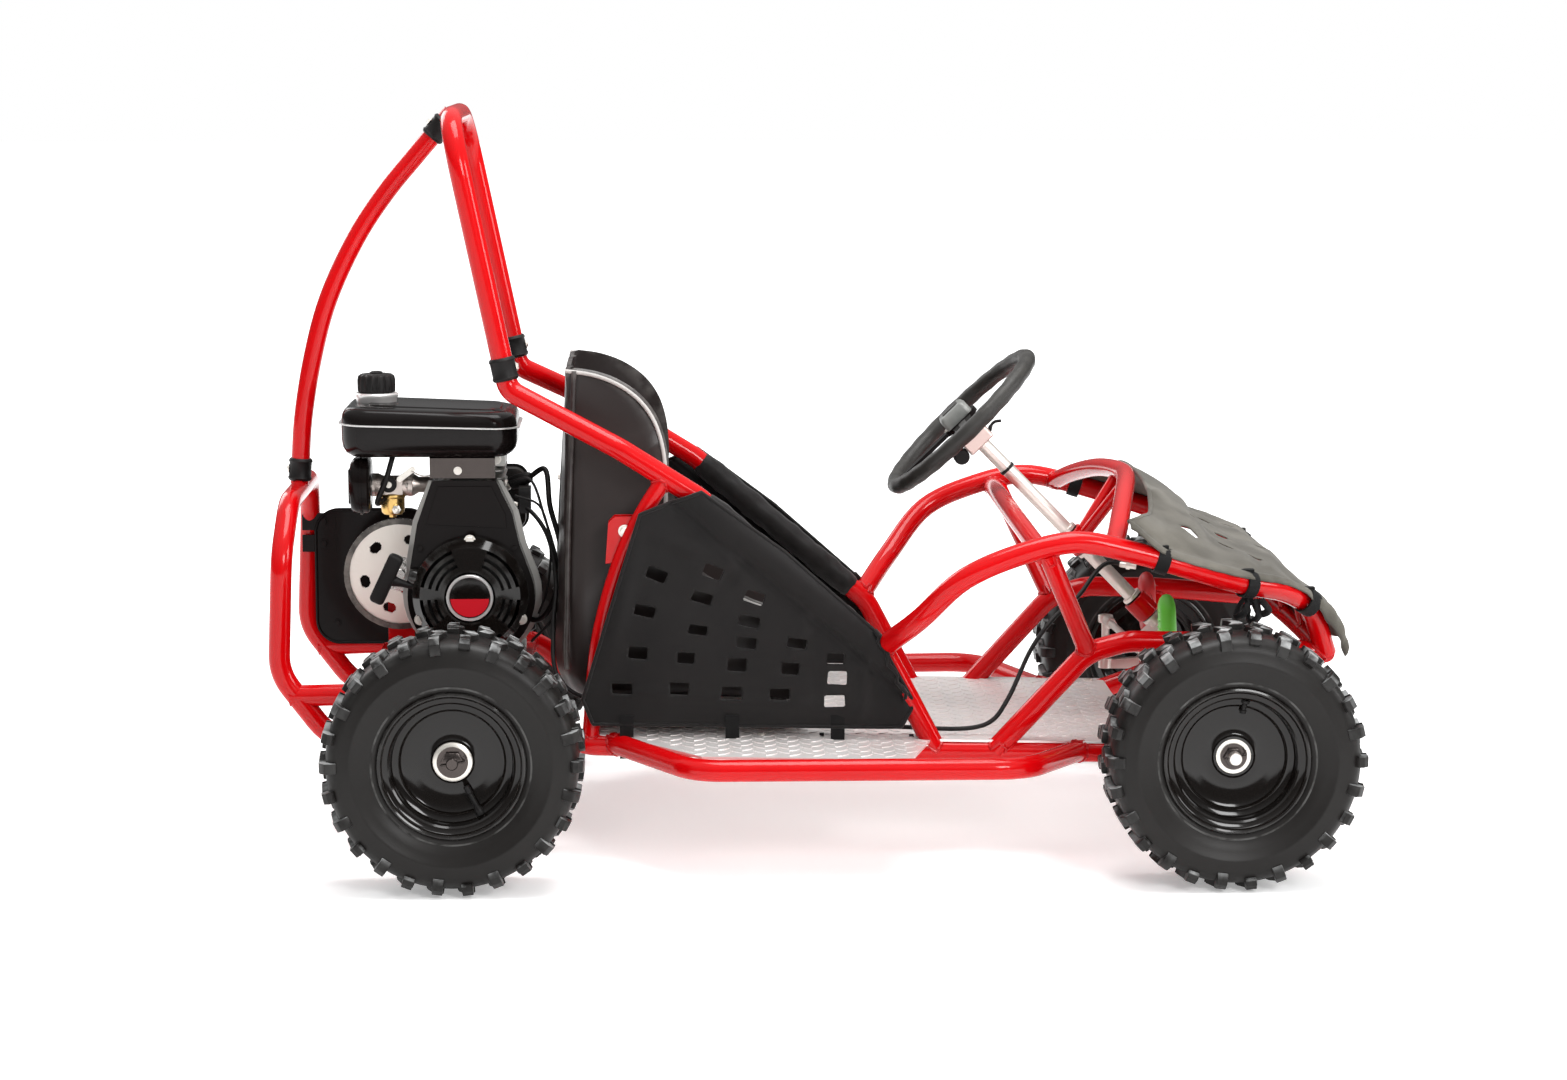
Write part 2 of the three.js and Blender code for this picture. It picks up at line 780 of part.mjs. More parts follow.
const jackshaftZ = plateTop + jackshaftHeight;
const cradleTubes = [cradleRearX, cradleFrontX].map((x) =>
  rod([x, -hangerAcross, cradleZ], [x, hangerAcross, cradleZ], crossTubeRadius, tubeSides),
);
const enginePlate = box(
  [cradleRearX - crossTubeRadius, -enginePlateAcross, cradleTop - sheetThickness],
  [cradleFrontX + crossTubeRadius, enginePlateAcross, plateTop],
);
const jackshaftBore = hole(
  [jackshaftX, 0, jackshaftZ],
  [jackshaftX, halfFrame, jackshaftZ],
  jackshaftRadius + jackshaftClearance,
);
const bearingPlates = jackshaftPlates.map((y) => {
  const half = jackshaftPlateLength / 2;
  return plateXZ(
    [
      [jackshaftX - half, cradleZ],
      [jackshaftX + half, cradleZ],
      ...arcPoints(jackshaftX, jackshaftZ, half, 0, Math.PI, plateSteps),
    ],
    y,
    y + jackshaftPlateThickness,
  );
});
const rearCrossClear = rod(
  [cradleRearX, -halfFrame, cradleZ],
  [cradleRearX, halfFrame, cradleZ],
  crossTubeRadius + gap,
  tubeSides,
);
place(
  "engine_cradle",
  cut(joined([...cradleTubes, enginePlate, ...bearingPlates]), [jackshaftBore, ...bothFloorRails]),
  redPaint,
);

// Seat frame: a post on each side from the seat rail to the floor rail, a cross tube under the
// seat, and the bolt plates that hold the seat
const postDiameter = 22;
const postShares = [
  [0.2701, 1, 0.5148],
  [0.2433, 0.996, 0.4705],
  [0.2144, 0.987, 0.4072],
  [0.1845, 0.987, 0.2975],
  [0.1711, 0.996, 0.1582],
];
const seatCrossShare = 0.1862;
const seatCrossXShare = 0.1744;
const boltPlateLowShare = [0.1969, 0.4008];
const boltPlateHighShare = [0.2402, 0.4652];
const seatSideRoom = 33;
const seatFootShare = 0.7;
const seatHalfWidth = halfFrame - seatSideRoom;
const seatWall = 6;
const postClear = [];
const seatFramePieces = [];
const boltPlateLow = sidePoint(boltPlateLowShare);
const boltPlateHigh = sidePoint(boltPlateHighShare);
for (const side of [-1, 1]) {
  const route = smoothRoute(
    postShares.map((share) => at(share, side)),
    postSteps,
  );
  seatFramePieces.push(tube(route, postDiameter));
  postClear.push(tube(route, postDiameter + 2 * gap));
  const inner = side * (seatHalfWidth + gap);
  const outer = side * postShares[2][1] * halfFrame;
  seatFramePieces.push(
    box(
      [boltPlateLow[0], Math.min(inner, outer), boltPlateLow[1]],
      [boltPlateHigh[0], Math.max(inner, outer), boltPlateHigh[1]],
    ),
  );
}
const seatCrossX = rearAxleX + seatCrossXShare * wheelbase;
const seatCrossZ = seatCrossShare * hoopHeight;
seatFramePieces.push(
  rod(
    [seatCrossX, -halfFrame, seatCrossZ],
    [seatCrossX, halfFrame, seatCrossZ],
    postDiameter / 2,
    tubeSides,
  ),
);
place("seat_frame", cut(joined(seatFramePieces), [...bothSeatRails, ...bothFloorRails]), redPaint);

// Floor pan: one sheet on the floor rails, widened beside the seat to the side bars
const panRearShare = 0.165;
const panFrontShare = 0.912;
const panWingShares = [
  [0.205, 1.04],
  [0.318, 1.635],
  [0.59, 1.64],
  [0.625, 1.04],
];
const railRear = at(floorRailShares[2]);
const railFront = at(floorRailShares[4]);
const panRearX = rearAxleX + panRearShare * wheelbase;
const panFrontX = rearAxleX + panFrontShare * wheelbase;
const panSlope = (railFront[2] - railRear[2]) / (railFront[0] - railRear[0]);
const panLift = tubeRadius + 2 * gap;
function panZ(x) {
  return railRear[2] + panLift + panSlope * (x - railRear[0]);
}
const panSheet = plateXZ(
  [
    [panRearX, panZ(panRearX)],
    [panFrontX, panZ(panFrontX)],
    [panFrontX, panZ(panFrontX) + sheetThickness],
    [panRearX, panZ(panRearX) + sheetThickness],
  ],
  -frameWidth,
  frameWidth,
);
const wing = panWingShares.map(([alongShare, acrossShare]) => [
  rearAxleX + alongShare * wheelbase,
  acrossShare * halfFrame,
]);
const panEdge = wing[0][1];
const panOutline = [
  [panRearX, -panEdge],
  ...wing.map(([x, y]) => [x, -y]),
  [panFrontX, -panEdge],
  [panFrontX, panEdge],
  ...wing.slice().reverse(),
  [panRearX, panEdge],
];
const panBlank = panSheet.intersect(plateXY(panOutline, 0, hoopHeight));
place(
  "floor_pan",
  cut(panBlank, [
    ...postClear,
    ...bothSeatRails,
    ...bothLowerTubes,
    ...bothFloorRails,
    right.sideBar.clear,
    left.sideBar.clear,
    right.arch.clear,
    left.arch.clear,
  ]),
  brightAluminium,
);

// Seat: a moulded bucket whose side wings follow this outline
const seatOutlineShares = [
  [0.1371, 0.6456],
  [0.1866, 0.6371],
  [0.2392, 0.597],
  [0.2639, 0.5464],
  [0.2711, 0.4989],
  [0.2701, 0.4536],
  [0.299, 0.3924],
  [0.3711, 0.3481],
  [0.4433, 0.3165],
  [0.4763, 0.2764],
  [0.4804, 0.2257],
  [0.4536, 0.2065],
  [0.1546, 0.2015],
  [0.132, 0.2268],
  [0.1289, 0.3481],
  [0.1351, 0.5696],
];
const seatCornerRadius = 60;
const seatFootSize = 30;
const seatFootXShare = 0.42;
const seatOutline = seatOutlineShares.map(sidePoint);
const seatBackX = seatOutline[14][0];
const seatFrontX = seatOutline[10][0] + overrun;
const seatTopZ = seatOutline[0][1] + overrun;
const seatBlank = plateXZ(seatOutline, -seatHalfWidth, seatHalfWidth);
const outerPlan = roundedRectangle(
  seatBackX,
  seatFrontX + seatCornerRadius,
  -seatHalfWidth,
  seatHalfWidth,
  seatCornerRadius,
);
const innerPlan = roundedRectangle(
  seatBackX + 1.5 * seatWall,
  seatFrontX + seatCornerRadius,
  -seatHalfWidth + seatWall,
  seatHalfWidth - seatWall,
  seatCornerRadius - seatWall,
);
const innerSideShares = [
  [0.02, 1.1],
  [1.2, 1.1],
  [1.2, 0.04],
  [0.94, 0.045],
  [0.1, 0.02],
  [0.035, 0.09],
  [0.02, 0.4],
];
const seatLength = seatOutline[10][0] - seatBackX;
const seatHeight = seatOutline[0][1] - seatOutline[12][1];
const innerSide = innerSideShares.map(([alongShare, upShare]) => [
  seatBackX + alongShare * seatLength,
  seatOutline[12][1] + upShare * seatHeight,
]);
const seatHollow = plateXZ(innerSide, -seatHalfWidth, seatHalfWidth).intersect(
  plateXY(innerPlan, 0, seatTopZ + overrun),
);
const seatFeet = [-1, 1].map((side) => {
  const x = rearAxleX + seatFootXShare * wheelbase;
  const y = side * seatHalfWidth * seatFootShare;
  return box(
    [x - seatFootSize / 2, y - seatFootSize / 2, panZ(x) + sheetThickness + 2 * gap],
    [x + seatFootSize / 2, y + seatFootSize / 2, seatOutline[11][1] + seatWall / 2],
  );
});
const seatBody = seatBlank.intersect(plateXY(outerPlan, 0, seatTopZ)).subtract(seatHollow);
const seatCrossClear = rod(
  [seatCrossX, -halfFrame, seatCrossZ],
  [seatCrossX, halfFrame, seatCrossZ],
  postDiameter / 2 + gap,
  tubeSides,
);
place("seat_shell", cut(joined([seatBody, ...seatFeet]), [seatCrossClear]), blackPlastic);

// Side panels: cloth sewn round the seat rail as a padded sleeve, with rows of slots
const padDiameter = 42;
const panelShares = [
  [0.3196, 0.5021],
  [0.5629, 0.3059],
  [0.599, 0.2162],
  [0.588, 0.1865],
  [0.1753, 0.1885],
  [0.1619, 0.2184],
  [0.2392, 0.4715],
];
const slotRowShares = [
  [[0.335, 0.395], [0.39, 0.365], 2],
  [[0.262, 0.388], [0.497, 0.272], 5],
  [[0.24, 0.337], [0.445, 0.275], 4],
  [[0.238, 0.284], [0.495, 0.249], 5],
  [[0.29, 0.232], [0.492, 0.216], 4],
];
const slotLength = 22;
const slotHeight = 12;
const padStartShare = 0.32;
const padEndShare = 0.545;
const panelOffset = padDiameter / 2 - clothThickness;
for (const [name, side] of Object.entries(sides)) {
  const seatRoute = rails[name].seatRoute;
  const [padFrom, padTo] = [padStartShare, padEndShare].map((share) => {
    const from = at(seatRailShares[1], side);
    const to = at(seatRailShares[2], side);
    const x = rearAxleX + share * wheelbase;
    const part = (x - from[0]) / (to[0] - from[0]);
    return from.map((value, i) => value + part * (to[i] - value));
  });
  const pad = rod(padFrom, padTo, padDiameter / 2);
  const low = side * (halfFrame + panelOffset);
  const high = low + side * clothThickness;
  const outline = panelShares.map(sidePoint);
  let sheet = plateXZ(outline, Math.min(low, high), Math.max(low, high));
  for (const [from, to, count] of slotRowShares) {
    const start = sidePoint(from);
    const end = sidePoint(to);
    const tilt = Math.atan2(end[1] - start[1], end[0] - start[0]);
    for (let i = 0; i < count; i++) {
      const part = i / (count - 1);
      const slot = new THREE.BoxGeometry(slotLength, frameWidth, slotHeight);
      slot.rotateY(-tilt);
      slot.translate(
        start[0] + part * (end[0] - start[0]),
        low,
        start[1] + part * (end[1] - start[1]),
      );
      sheet = sheet.subtract(solid(slot));
    }
  }
  const clear = tube(seatRoute, tubeDiameter + 4 * gap);
  place(
    `side_panel_${name}`,
    cut(joined([pad, sheet]), [clear, rails[name].arch.clear, rails[name].floorRail.clear]),
    blackCloth,
  );
}

// Nose cover: a crowned cloth from the hood hoop to the bumper, hung on both arches
const hoodRows = 10;
const hoodColumns = 10;
const hoodCrownShares = [
  [0.9247, 0.501],
  [0.9464, 0.4905],
  [0.967, 0.4778],
  [0.9856, 0.461],
  [1.0031, 0.4378],
  [1.0309, 0.423],
  [1.0588, 0.4082],
  [1.0804, 0.403],
  [1.1082, 0.385],
  [1.1371, 0.3565],
  [1.1557, 0.34],
  [1.1588, 0.3133],
  [1.1598, 0.29],
];
const hoodHemShares = [
  [1.1475, 1.16, 0.33],
  [1.166, 1.08, 0.286],
];
const hoodCrownPower = 2.4;
const hoodFoldShare = 0.0035;
const hoodFolds = 3.5;
const hoodSlotShares = [
  [0.28, -0.5],
  [0.46, -0.28],
  [0.66, -0.45],
  [0.34, 0.3],
  [0.52, 0.5],
  [0.7, 0.22],
];
const hoodLift = tubeRadius + gap;
function curveThrough(points) {
  return new THREE.CatmullRomCurve3(
    points.map((point) => new THREE.Vector3(...point)),
    false,
    "centripetal",
  );
}
const crownCurve = curveThrough(
  hoodCrownShares.map(([alongShare, upShare]) => at([alongShare, 0, upShare])),
);
const hoodEdgeShares = [...archShares.slice(5, 8), ...hoodHemShares];
const hoodEdgeCurve = curveThrough(hoodEdgeShares.map((share) => at(share)));
function hoodPoint(rowShare, columnShare) {
  const crown = crownCurve.getPointAt(rowShare);
  const edge = hoodEdgeCurve.getPointAt(rowShare);
  const across = 2 * columnShare - 1;
  const rise = 1 - Math.abs(across) ** hoodCrownPower;
  const fold = hoodFoldShare * hoopHeight * Math.sin(hoodFolds * Math.PI * (across + rowShare));
  const ends = Math.sin(Math.PI * rowShare);
  const x = edge.x + (crown.x - edge.x) * Math.sqrt(rise);
  const low = edge.z + hoodLift;
  const z = low + (crown.z - clothThickness - low) * rise;
  return [x, across * edge.y, z + fold * rise * ends];
}
function sheetGeometry(rows, columns, pointAt, thickness) {
  const positions = [];
  const index = [];
  for (const level of [thickness, 0]) {
    for (let i = 0; i <= rows; i++) {
      for (let k = 0; k <= columns; k++) {
        const [x, y, z] = pointAt(i / rows, k / columns);
        positions.push(x + level, y, z + level);
      }
    }
  }
  const across = columns + 1;
  const layer = (rows + 1) * across;
  const quad = (a, b, c, d) => index.push(a, b, c, a, c, d);
  for (let i = 0; i < rows; i++) {
    for (let k = 0; k < columns; k++) {
      const a = i * across + k;
      quad(a, a + across, a + across + 1, a + 1);
      quad(layer + a, layer + a + 1, layer + a + across + 1, layer + a + across);
    }
    const first = i * across;
    const last = first + columns;
    quad(first, layer + first, layer + first + across, first + across);
    quad(last, last + across, layer + last + across, layer + last);
  }
  for (let k = 0; k < columns; k++) {
    const end = rows * across + k;
    quad(k, k + 1, layer + k + 1, layer + k);
    quad(end, layer + end, layer + end + 1, end + 1);
  }
  const geometry = new THREE.BufferGeometry();
  geometry.setAttribute("position", new THREE.Float32BufferAttribute(positions, 3));
  geometry.setIndex(index);
  return geometry;
}
const hoodSheet = solid(sheetGeometry(hoodRows, hoodColumns, hoodPoint, clothThickness));
const hoodSlots = hoodSlotShares.map(([rowShare, across]) => {
  const [x, y, z] = hoodPoint(rowShare, (across + 1) / 2);
  const half = slotLength / 2;
  return box([x - half, y - slotHeight / 2, z - half], [x + half, y + slotHeight / 2, z + half]);
});
const hoodHoopClear = tube(hoodHoopRoute, crossTubeDiameter + 2 * gap);
const bumperClear = [bumperUpperRoute, bumperLowerRoute].map((route) =>
  tube(route, crossTubeDiameter + 2 * gap),
);
place(
  "hood_cover",
  cut(hoodSheet, [hoodHoopClear, ...bumperClear, ...bothArches, ...hoodSlots]),
  greyCloth,
);

// Engine: crankcase, finned cylinder and head, standing on the engine plate
const crankXShare = 0.0082;
const crankHeight = 92.5;
const crankX = rearAxleX + crankXShare * wheelbase;
const crankZ = plateTop + crankHeight;
const crankcaseLength = 134;
const crankcaseInner = 62;
const crankcaseOuter = 70;
const crankcaseHeight = 146.5;
const crankcaseTop = plateTop + crankcaseHeight;
const cylinderLength = 87;
const cylinderHalfWidth = 55;
const cylinderHeight = 114;
const cylinderTop = crankcaseTop + cylinderHeight;
const finCount = 5;
const finGroove = 7;
const finDepth = 8;
const crankRadius = 9.5;
const crankClearance = 0.4;
const bossRadius = 22;
const bossLength = 4;
const crankcase = box(
  [crankX - crankcaseLength / 2, -crankcaseInner, plateTop + gap],
  [crankX + crankcaseLength / 2, crankcaseOuter, crankcaseTop],
);
const cylinder = box(
  [crankX - cylinderLength / 2, -cylinderHalfWidth, crankcaseTop - finGroove],
  [crankX + cylinderLength / 2, cylinderHalfWidth, cylinderTop],
);
const core = box(
  [
    crankX - cylinderLength / 2 + finDepth,
    -cylinderHalfWidth + finDepth,
    crankcaseTop - finGroove,
  ],
  [
    crankX + cylinderLength / 2 - finDepth,
    cylinderHalfWidth - finDepth,
    cylinderTop,
  ],
);
const finPitch = (cylinderTop - crankcaseTop) / (finCount + 1);
const grooves = Array.from({ length: finCount }, (unused, i) => {
  const z = crankcaseTop + (i + 1) * finPitch;
  return box([crankX - wheelbase, -frameWidth, z - finGroove], [crankX + wheelbase, frameWidth, z]);
});
const crankBoss = rod(
  [crankX, 0, crankZ],
  [crankX, crankcaseOuter + bossLength, crankZ],
  bossRadius,
);
const crankBore = hole(
  [crankX, crankcaseInner - bossRadius, crankZ],
  [crankX, frameWidth, crankZ],
  crankRadius + crankClearance,
);
const fins = cut(cylinder, grooves.map((groove) => groove.subtract(core)));
place("engine_block", cut(joined([crankcase, core, fins, crankBoss]), [crankBore]), castAluminium);

// Shroud over the flywheel on the near side: a pan that is open toward the crankcase
const shroudOuter = 95;
const shroudWall = 4;
const shroudRadius = 84;
const shroudTopHalf = 48;
const shroudDrop = 13;
const shroudTop = cylinderTop - shroudDrop;
const shroudShoulderHalf = 62;
const shroudShoulderDrop = 85;
const shroudShoulderZ = shroudTop - shroudShoulderDrop;
const shroudInner = crankcaseInner + gap;
function shroudOutline(inset) {
  const top = shroudTop - inset;
  const half = shroudTopHalf - inset;
  const radius = shroudRadius - inset;
  const tilt = Math.PI / 6;
  return [
    [crankX + half, top],
    [crankX - half, top],
    [crankX - shroudShoulderHalf + inset, shroudShoulderZ],
    ...arcPoints(crankX, crankZ, radius, Math.PI - tilt, 2 * Math.PI + tilt, shroudSteps),
    [crankX + shroudShoulderHalf - inset, shroudShoulderZ],
  ];
}
const shroudPan = plateXZ(shroudOutline(0), -shroudOuter, -shroudInner);
const shroudHollow = plateXZ(shroudOutline(shroudWall), -shroudOuter + shroudWall, 0);
place("engine_shroud", shroudPan.subtract(shroudHollow), blackPlastic);

// Recoil cover: a domed disc with radial pockets and a plain raised centre
const recoilRadius = 76;
const recoilX = crankX;
const recoilRise = 5;
const recoilZ = crankZ + recoilRise;
const recoilBack = -shroudOuter - gap;
const recoilRim = -112;
const recoilBevel = 12;
const recoilShoulder = -126;
const recoilFace = -130;
const hubRadius = 29;
const hubFace = -133;
const pocketCount = 10;
const pocketInnerShare = 0.5;
const pocketOuterShare = 0.8;
const pocketWidth = 8;
const pocketDepth = 4;
const recoilDome = turned(
  [
    [0, recoilBack],
    [recoilRadius, recoilBack],
    [recoilRadius, recoilRim],
    [recoilRadius - recoilBevel, recoilShoulder],
    [hubRadius, recoilFace],
    [hubRadius, hubFace],
    [0, hubFace],
  ],
  recoilX,
  recoilZ,
  sprocketSides,
);
const pockets = Array.from({ length: pocketCount }, (unused, i) => {
  const slot = new THREE.BoxGeometry(
    (pocketOuterShare - pocketInnerShare) * recoilRadius,
    pocketDepth * 2,
    pocketWidth,
  );
  slot.translate((pocketOuterShare + pocketInnerShare) * recoilRadius * 0.5, recoilFace, 0);
  slot.rotateY((2 * Math.PI * (i + 0.5)) / pocketCount);
  return solid(slot.translate(recoilX, 0, recoilZ));
});
place("recoil_cover", cut(recoilDome, pockets), blackPlastic);

// Starter handle: a round grip across the cord, on its short neck
const gripAcross = (recoilBack + recoilRim) / 2;
const gripRear = 124;
const gripDrop = 7;
const gripFront = 97;
const gripRise = 50;
const gripDiameter = 20;
const neckRadius = 6;
const pullTilt = 0.28;
const gripLow = [recoilX - gripRear, recoilZ - gripDrop];
const gripHigh = [recoilX - gripFront, recoilZ + gripRise];
const gripMiddle = gripLow.map((value, i) => (value + gripHigh[i]) / 2);
const pullDirection = new THREE.Vector3(-Math.cos(pullTilt), 0, Math.sin(pullTilt));
const neckEnd = new THREE.Vector3(gripMiddle[0], gripAcross, gripMiddle[1]);
const neckLength = recoilX - recoilRadius / 2 - gripMiddle[0];
neckEnd.addScaledVector(pullDirection, -neckLength);
const grip = rod(
  [gripLow[0], gripAcross, gripLow[1]],
  [gripHigh[0], gripAcross, gripHigh[1]],
  gripDiameter / 2,
);
const neck = rod([gripMiddle[0], gripAcross, gripMiddle[1]], neckEnd.toArray(), neckRadius, tubeSides);
const recoilClear = turned(
  [
    [0, 0],
    [recoilRadius + gap, 0],
    [recoilRadius + gap, -halfFrame],
    [0, -halfFrame],
  ],
  recoilX,
  recoilZ,
  sprocketSides,
);
place("starter_handle", cut(joined([grip, neck]), [recoilClear]), blackPlastic);

// Fuel tank: two pressed halves with a seam flange, standing on two feet on the cylinder head
const tankRearShare = -0.166;
const tankFrontShare = 0.0722;
const tankRight = -110;
const tankLeft = 60;
const tankRise = 17;
const tankHeight = 74;
const tankSeamRise = 28;
const tankBottom = cylinderTop + tankRise;
const tankTop = tankBottom + tankHeight;
const tankSeam = tankBottom + tankSeamRise;
const tankCorner = 34;
const tankBevel = 10;
const seamReach = 6;
const seamThickness = 5;
const fillerXShare = -0.1216;
const fillerY = -25;
const capRadius = 25;
const capHeight = 25;
const capWall = 3;
const neckHeight = 18;
const capClearance = 0.6;
const footLength = 20;
const footSpread = 28;
const tankRearX = rearAxleX + tankRearShare * wheelbase;
const tankFrontX = rearAxleX + tankFrontShare * wheelbase;
const fillerX = rearAxleX + fillerXShare * wheelbase;
const tankPlan = roundedRectangle(
  tankRearX + seamReach,
  tankFrontX - seamReach,
  tankRight + seamReach,
  tankLeft - seamReach,
  tankCorner,
);
const seamPlan = roundedRectangle(tankRearX, tankFrontX, tankRight, tankLeft, tankCorner);
const fillerNeck = rod(
  [fillerX, fillerY, tankSeam],
  [fillerX, fillerY, tankTop + neckHeight],
  capRadius - capWall - capClearance,
);
const fillerRing = rod(
  [fillerX, fillerY, tankSeam],
  [fillerX, fillerY, tankTop + 2 * sheetThickness],
  capRadius + capWall,
);
const fillerBore = rod(
  [fillerX, fillerY, tankSeam],
  [fillerX, fillerY, tankTop + overrun],
  capRadius - 3 * capWall,
  tubeSides,
);
const tankFeet = [-1, 1].map((end) =>
  box(
    [crankX + end * footSpread - footLength / 2, -footSpread, cylinderTop + gap],
    [crankX + end * footSpread + footLength / 2, footSpread, tankBottom + tankBevel],
  ),
);
const tankBody = joined([
  plateXY(tankPlan, tankBottom, tankTop, tankBevel),
  plateXY(seamPlan, tankSeam, tankSeam + seamThickness),
  fillerRing,
  fillerNeck,
  ...tankFeet,
]);
place("fuel_tank", cut(tankBody, [fillerBore]), blackPaint);

// Fuel cap: a ribbed cup over the filler neck
const capLow = tankTop + 2 * sheetThickness + gap;
const capBody = rod([fillerX, fillerY, capLow], [fillerX, fillerY, capLow + capHeight], capRadius);
const capBore = rod(
  [fillerX, fillerY, capLow - capHeight],
  [fillerX, fillerY, tankTop + neckHeight + 2 * gap],
  capRadius - capWall,
);
place("fuel_cap", cut(capBody, [capBore]), blackPlastic);

// Carburettor with its brass float bowl, between the cylinder and the air filter
const carbAcross = -44;
const carbDrop = 24;
const carbZ = cylinderTop - carbDrop;
const carbBodyRadius = 15;
const bowlXShare = -0.1;
const bowlRadius = 16;
const bowlHeight = 41;
const bowlLow = carbZ - bowlHeight;
const filterRearShare = -0.1557;
const filterFrontShare = -0.1278;
const filterBelow = 34;
const filterAbove = 39;
const filterLow = carbZ - filterBelow;
const filterHigh = carbZ + filterAbove;
const filterHalfWidth = 40;
const filterCentre = -60;
const bowlX = rearAxleX + bowlXShare * wheelbase;
const filterRearX = rearAxleX + filterRearShare * wheelbase;
const filterFrontX = rearAxleX + filterFrontShare * wheelbase;
const carbBody = rod(
  [filterFrontX + gap, carbAcross, carbZ],
  [crankX - cylinderLength / 2 - gap, carbAcross, carbZ],
  carbBodyRadius,
);
const carbBowl = rod([bowlX, carbAcross, bowlLow], [bowlX, carbAcross, carbZ], bowlRadius);
place("carburettor", joined([carbBody, carbBowl]), brass);

// Air filter: an oval can behind the carburettor
const filterCorner = 30;
const filterOutline = roundedRectangle(
  filterCentre - filterHalfWidth,
  filterCentre + filterHalfWidth,
  filterLow,
  filterHigh,
  filterCorner,
);
place("air_filter", plateYZ(filterOutline, filterRearX, filterFrontX), blackPlastic);

// Muffler on the far side of the cylinder
const mufflerInner = 66;
const mufflerOuter = 118;
const mufflerRear = -40;
const mufflerFront = 75;
const mufflerRise = 14;
const mufflerHeight = 84;
const mufflerLow = crankcaseTop + mufflerRise;
const mufflerHigh = mufflerLow + mufflerHeight;
const mufflerCorner = 16;
const exhaustRadius = 12;
const tailPipeShare = 0.7;
const exhaustOffset = 22;
const mufflerBody = plateXZ(
  roundedRectangle(
    rearAxleX + mufflerRear,
    rearAxleX + mufflerFront,
    mufflerLow,
    mufflerHigh,
    mufflerCorner,
  ),
  mufflerInner,
  mufflerOuter,
);
const mufflerMiddle = (mufflerLow + mufflerHigh) / 2;
const exhaustPort = rod(
  [crankX, cylinderHalfWidth + gap, mufflerMiddle],
  [crankX, mufflerInner + gap, mufflerMiddle],
  exhaustRadius,
);
const tailPipe = rod(
  [rearAxleX + mufflerFront - exhaustOffset, mufflerOuter - gap, mufflerLow + exhaustOffset],
  [
    rearAxleX + mufflerFront - exhaustOffset,
    mufflerOuter + exhaustRadius,
    mufflerLow + exhaustOffset,
  ],
  exhaustRadius * tailPipeShare,
  tubeSides,
);
place("muffler", joined([mufflerBody, exhaustPort, tailPipe]), blackPaint);

// Drive: sprockets of one chain pitch, from the clutch to the jackshaft and on to the axle
const chainPitch = 9.525;
const chainHeight = 8;
const chainWidth = 9;
const chainClearance = 0.6;
const wheelSlack = 0.012;
const loopSteps = 13;
const sprocketThickness = 5;
const clutchTeeth = 12;
const jackshaftLargeTeeth = 48;
const jackshaftSmallTeeth = 12;
const axleTeeth = 34;
const primaryChainY = 106;
const axleChainY = 143;
function sprocketRadius(teeth) {
  return chainPitch / (2 * Math.sin(Math.PI / teeth));
}
function sprocket(x, y, z, teeth, count = sprocketSides) {
  const half = sprocketThickness / 2;
  return rod([x, y - half, z], [x, y + half, z], sprocketRadius(teeth), count);
}
function loopOutline(first, second, count) {
  const along = Math.atan2(second.z - first.z, second.x - first.x);
  const distance = Math.hypot(second.x - first.x, second.z - first.z);
  const lean = Math.acos((first.radius - second.radius) / distance);
  return [
    ...arcPoints(first.x, first.z, first.radius, along + lean, along + 2 * Math.PI - lean, count),
    ...arcPoints(second.x, second.z, second.radius, along - lean, along + lean, count),
  ];
}
function chain(first, second, y) {
  const widened = (wheel, extra) => ({ ...wheel, radius: wheel.radius + extra });
  const inner = chainClearance;
  const slack = wheelSlack * Math.max(first.radius, second.radius);
  const outerLoop = loopOutline(
    widened(first, inner + slack + chainHeight),
    widened(second, inner + slack + chainHeight),
    loopSteps,
  );
  const innerLoop = loopOutline(
    widened(first, inner + slack),
    widened(second, inner + slack),
    loopSteps,
  );
  const half = chainWidth / 2;
  return plateXZ(outerLoop, y - half, y + half).subtract(
    plateXZ(innerLoop, y - chainWidth, y + chainWidth),
  );
}
const clutchWheel = { x: crankX, z: crankZ, radius: sprocketRadius(clutchTeeth) };
const jackshaftLarge = {
  x: jackshaftX,
  z: jackshaftZ,
  radius: sprocketRadius(jackshaftLargeTeeth),
};
const jackshaftSmall = {
  x: jackshaftX,
  z: jackshaftZ,
  radius: sprocketRadius(jackshaftSmallTeeth),
};
const axleWheel = { x: rearAxleX, z: axleHeight, radius: sprocketRadius(axleTeeth) };
place("primary_chain", chain(jackshaftLarge, clutchWheel, primaryChainY), zinc);
place("axle_chain", chain(axleWheel, jackshaftSmall, axleChainY), zinc);

// Clutch: drum and sprocket on the crankshaft's end
const clutchRadius = 36;
const clutchInner = 78;
const clutchOuter = 98;
const crankEnd = 114;
const clutchBody = joined([
  rod([crankX, clutchInner, crankZ], [crankX, clutchOuter, crankZ], clutchRadius),
  rod([crankX, crankcaseInner - bossLength, crankZ], [crankX, crankEnd, crankZ], crankRadius),
  sprocket(crankX, primaryChainY, crankZ, clutchTeeth),
]);
place("clutch", clutchBody, zinc);

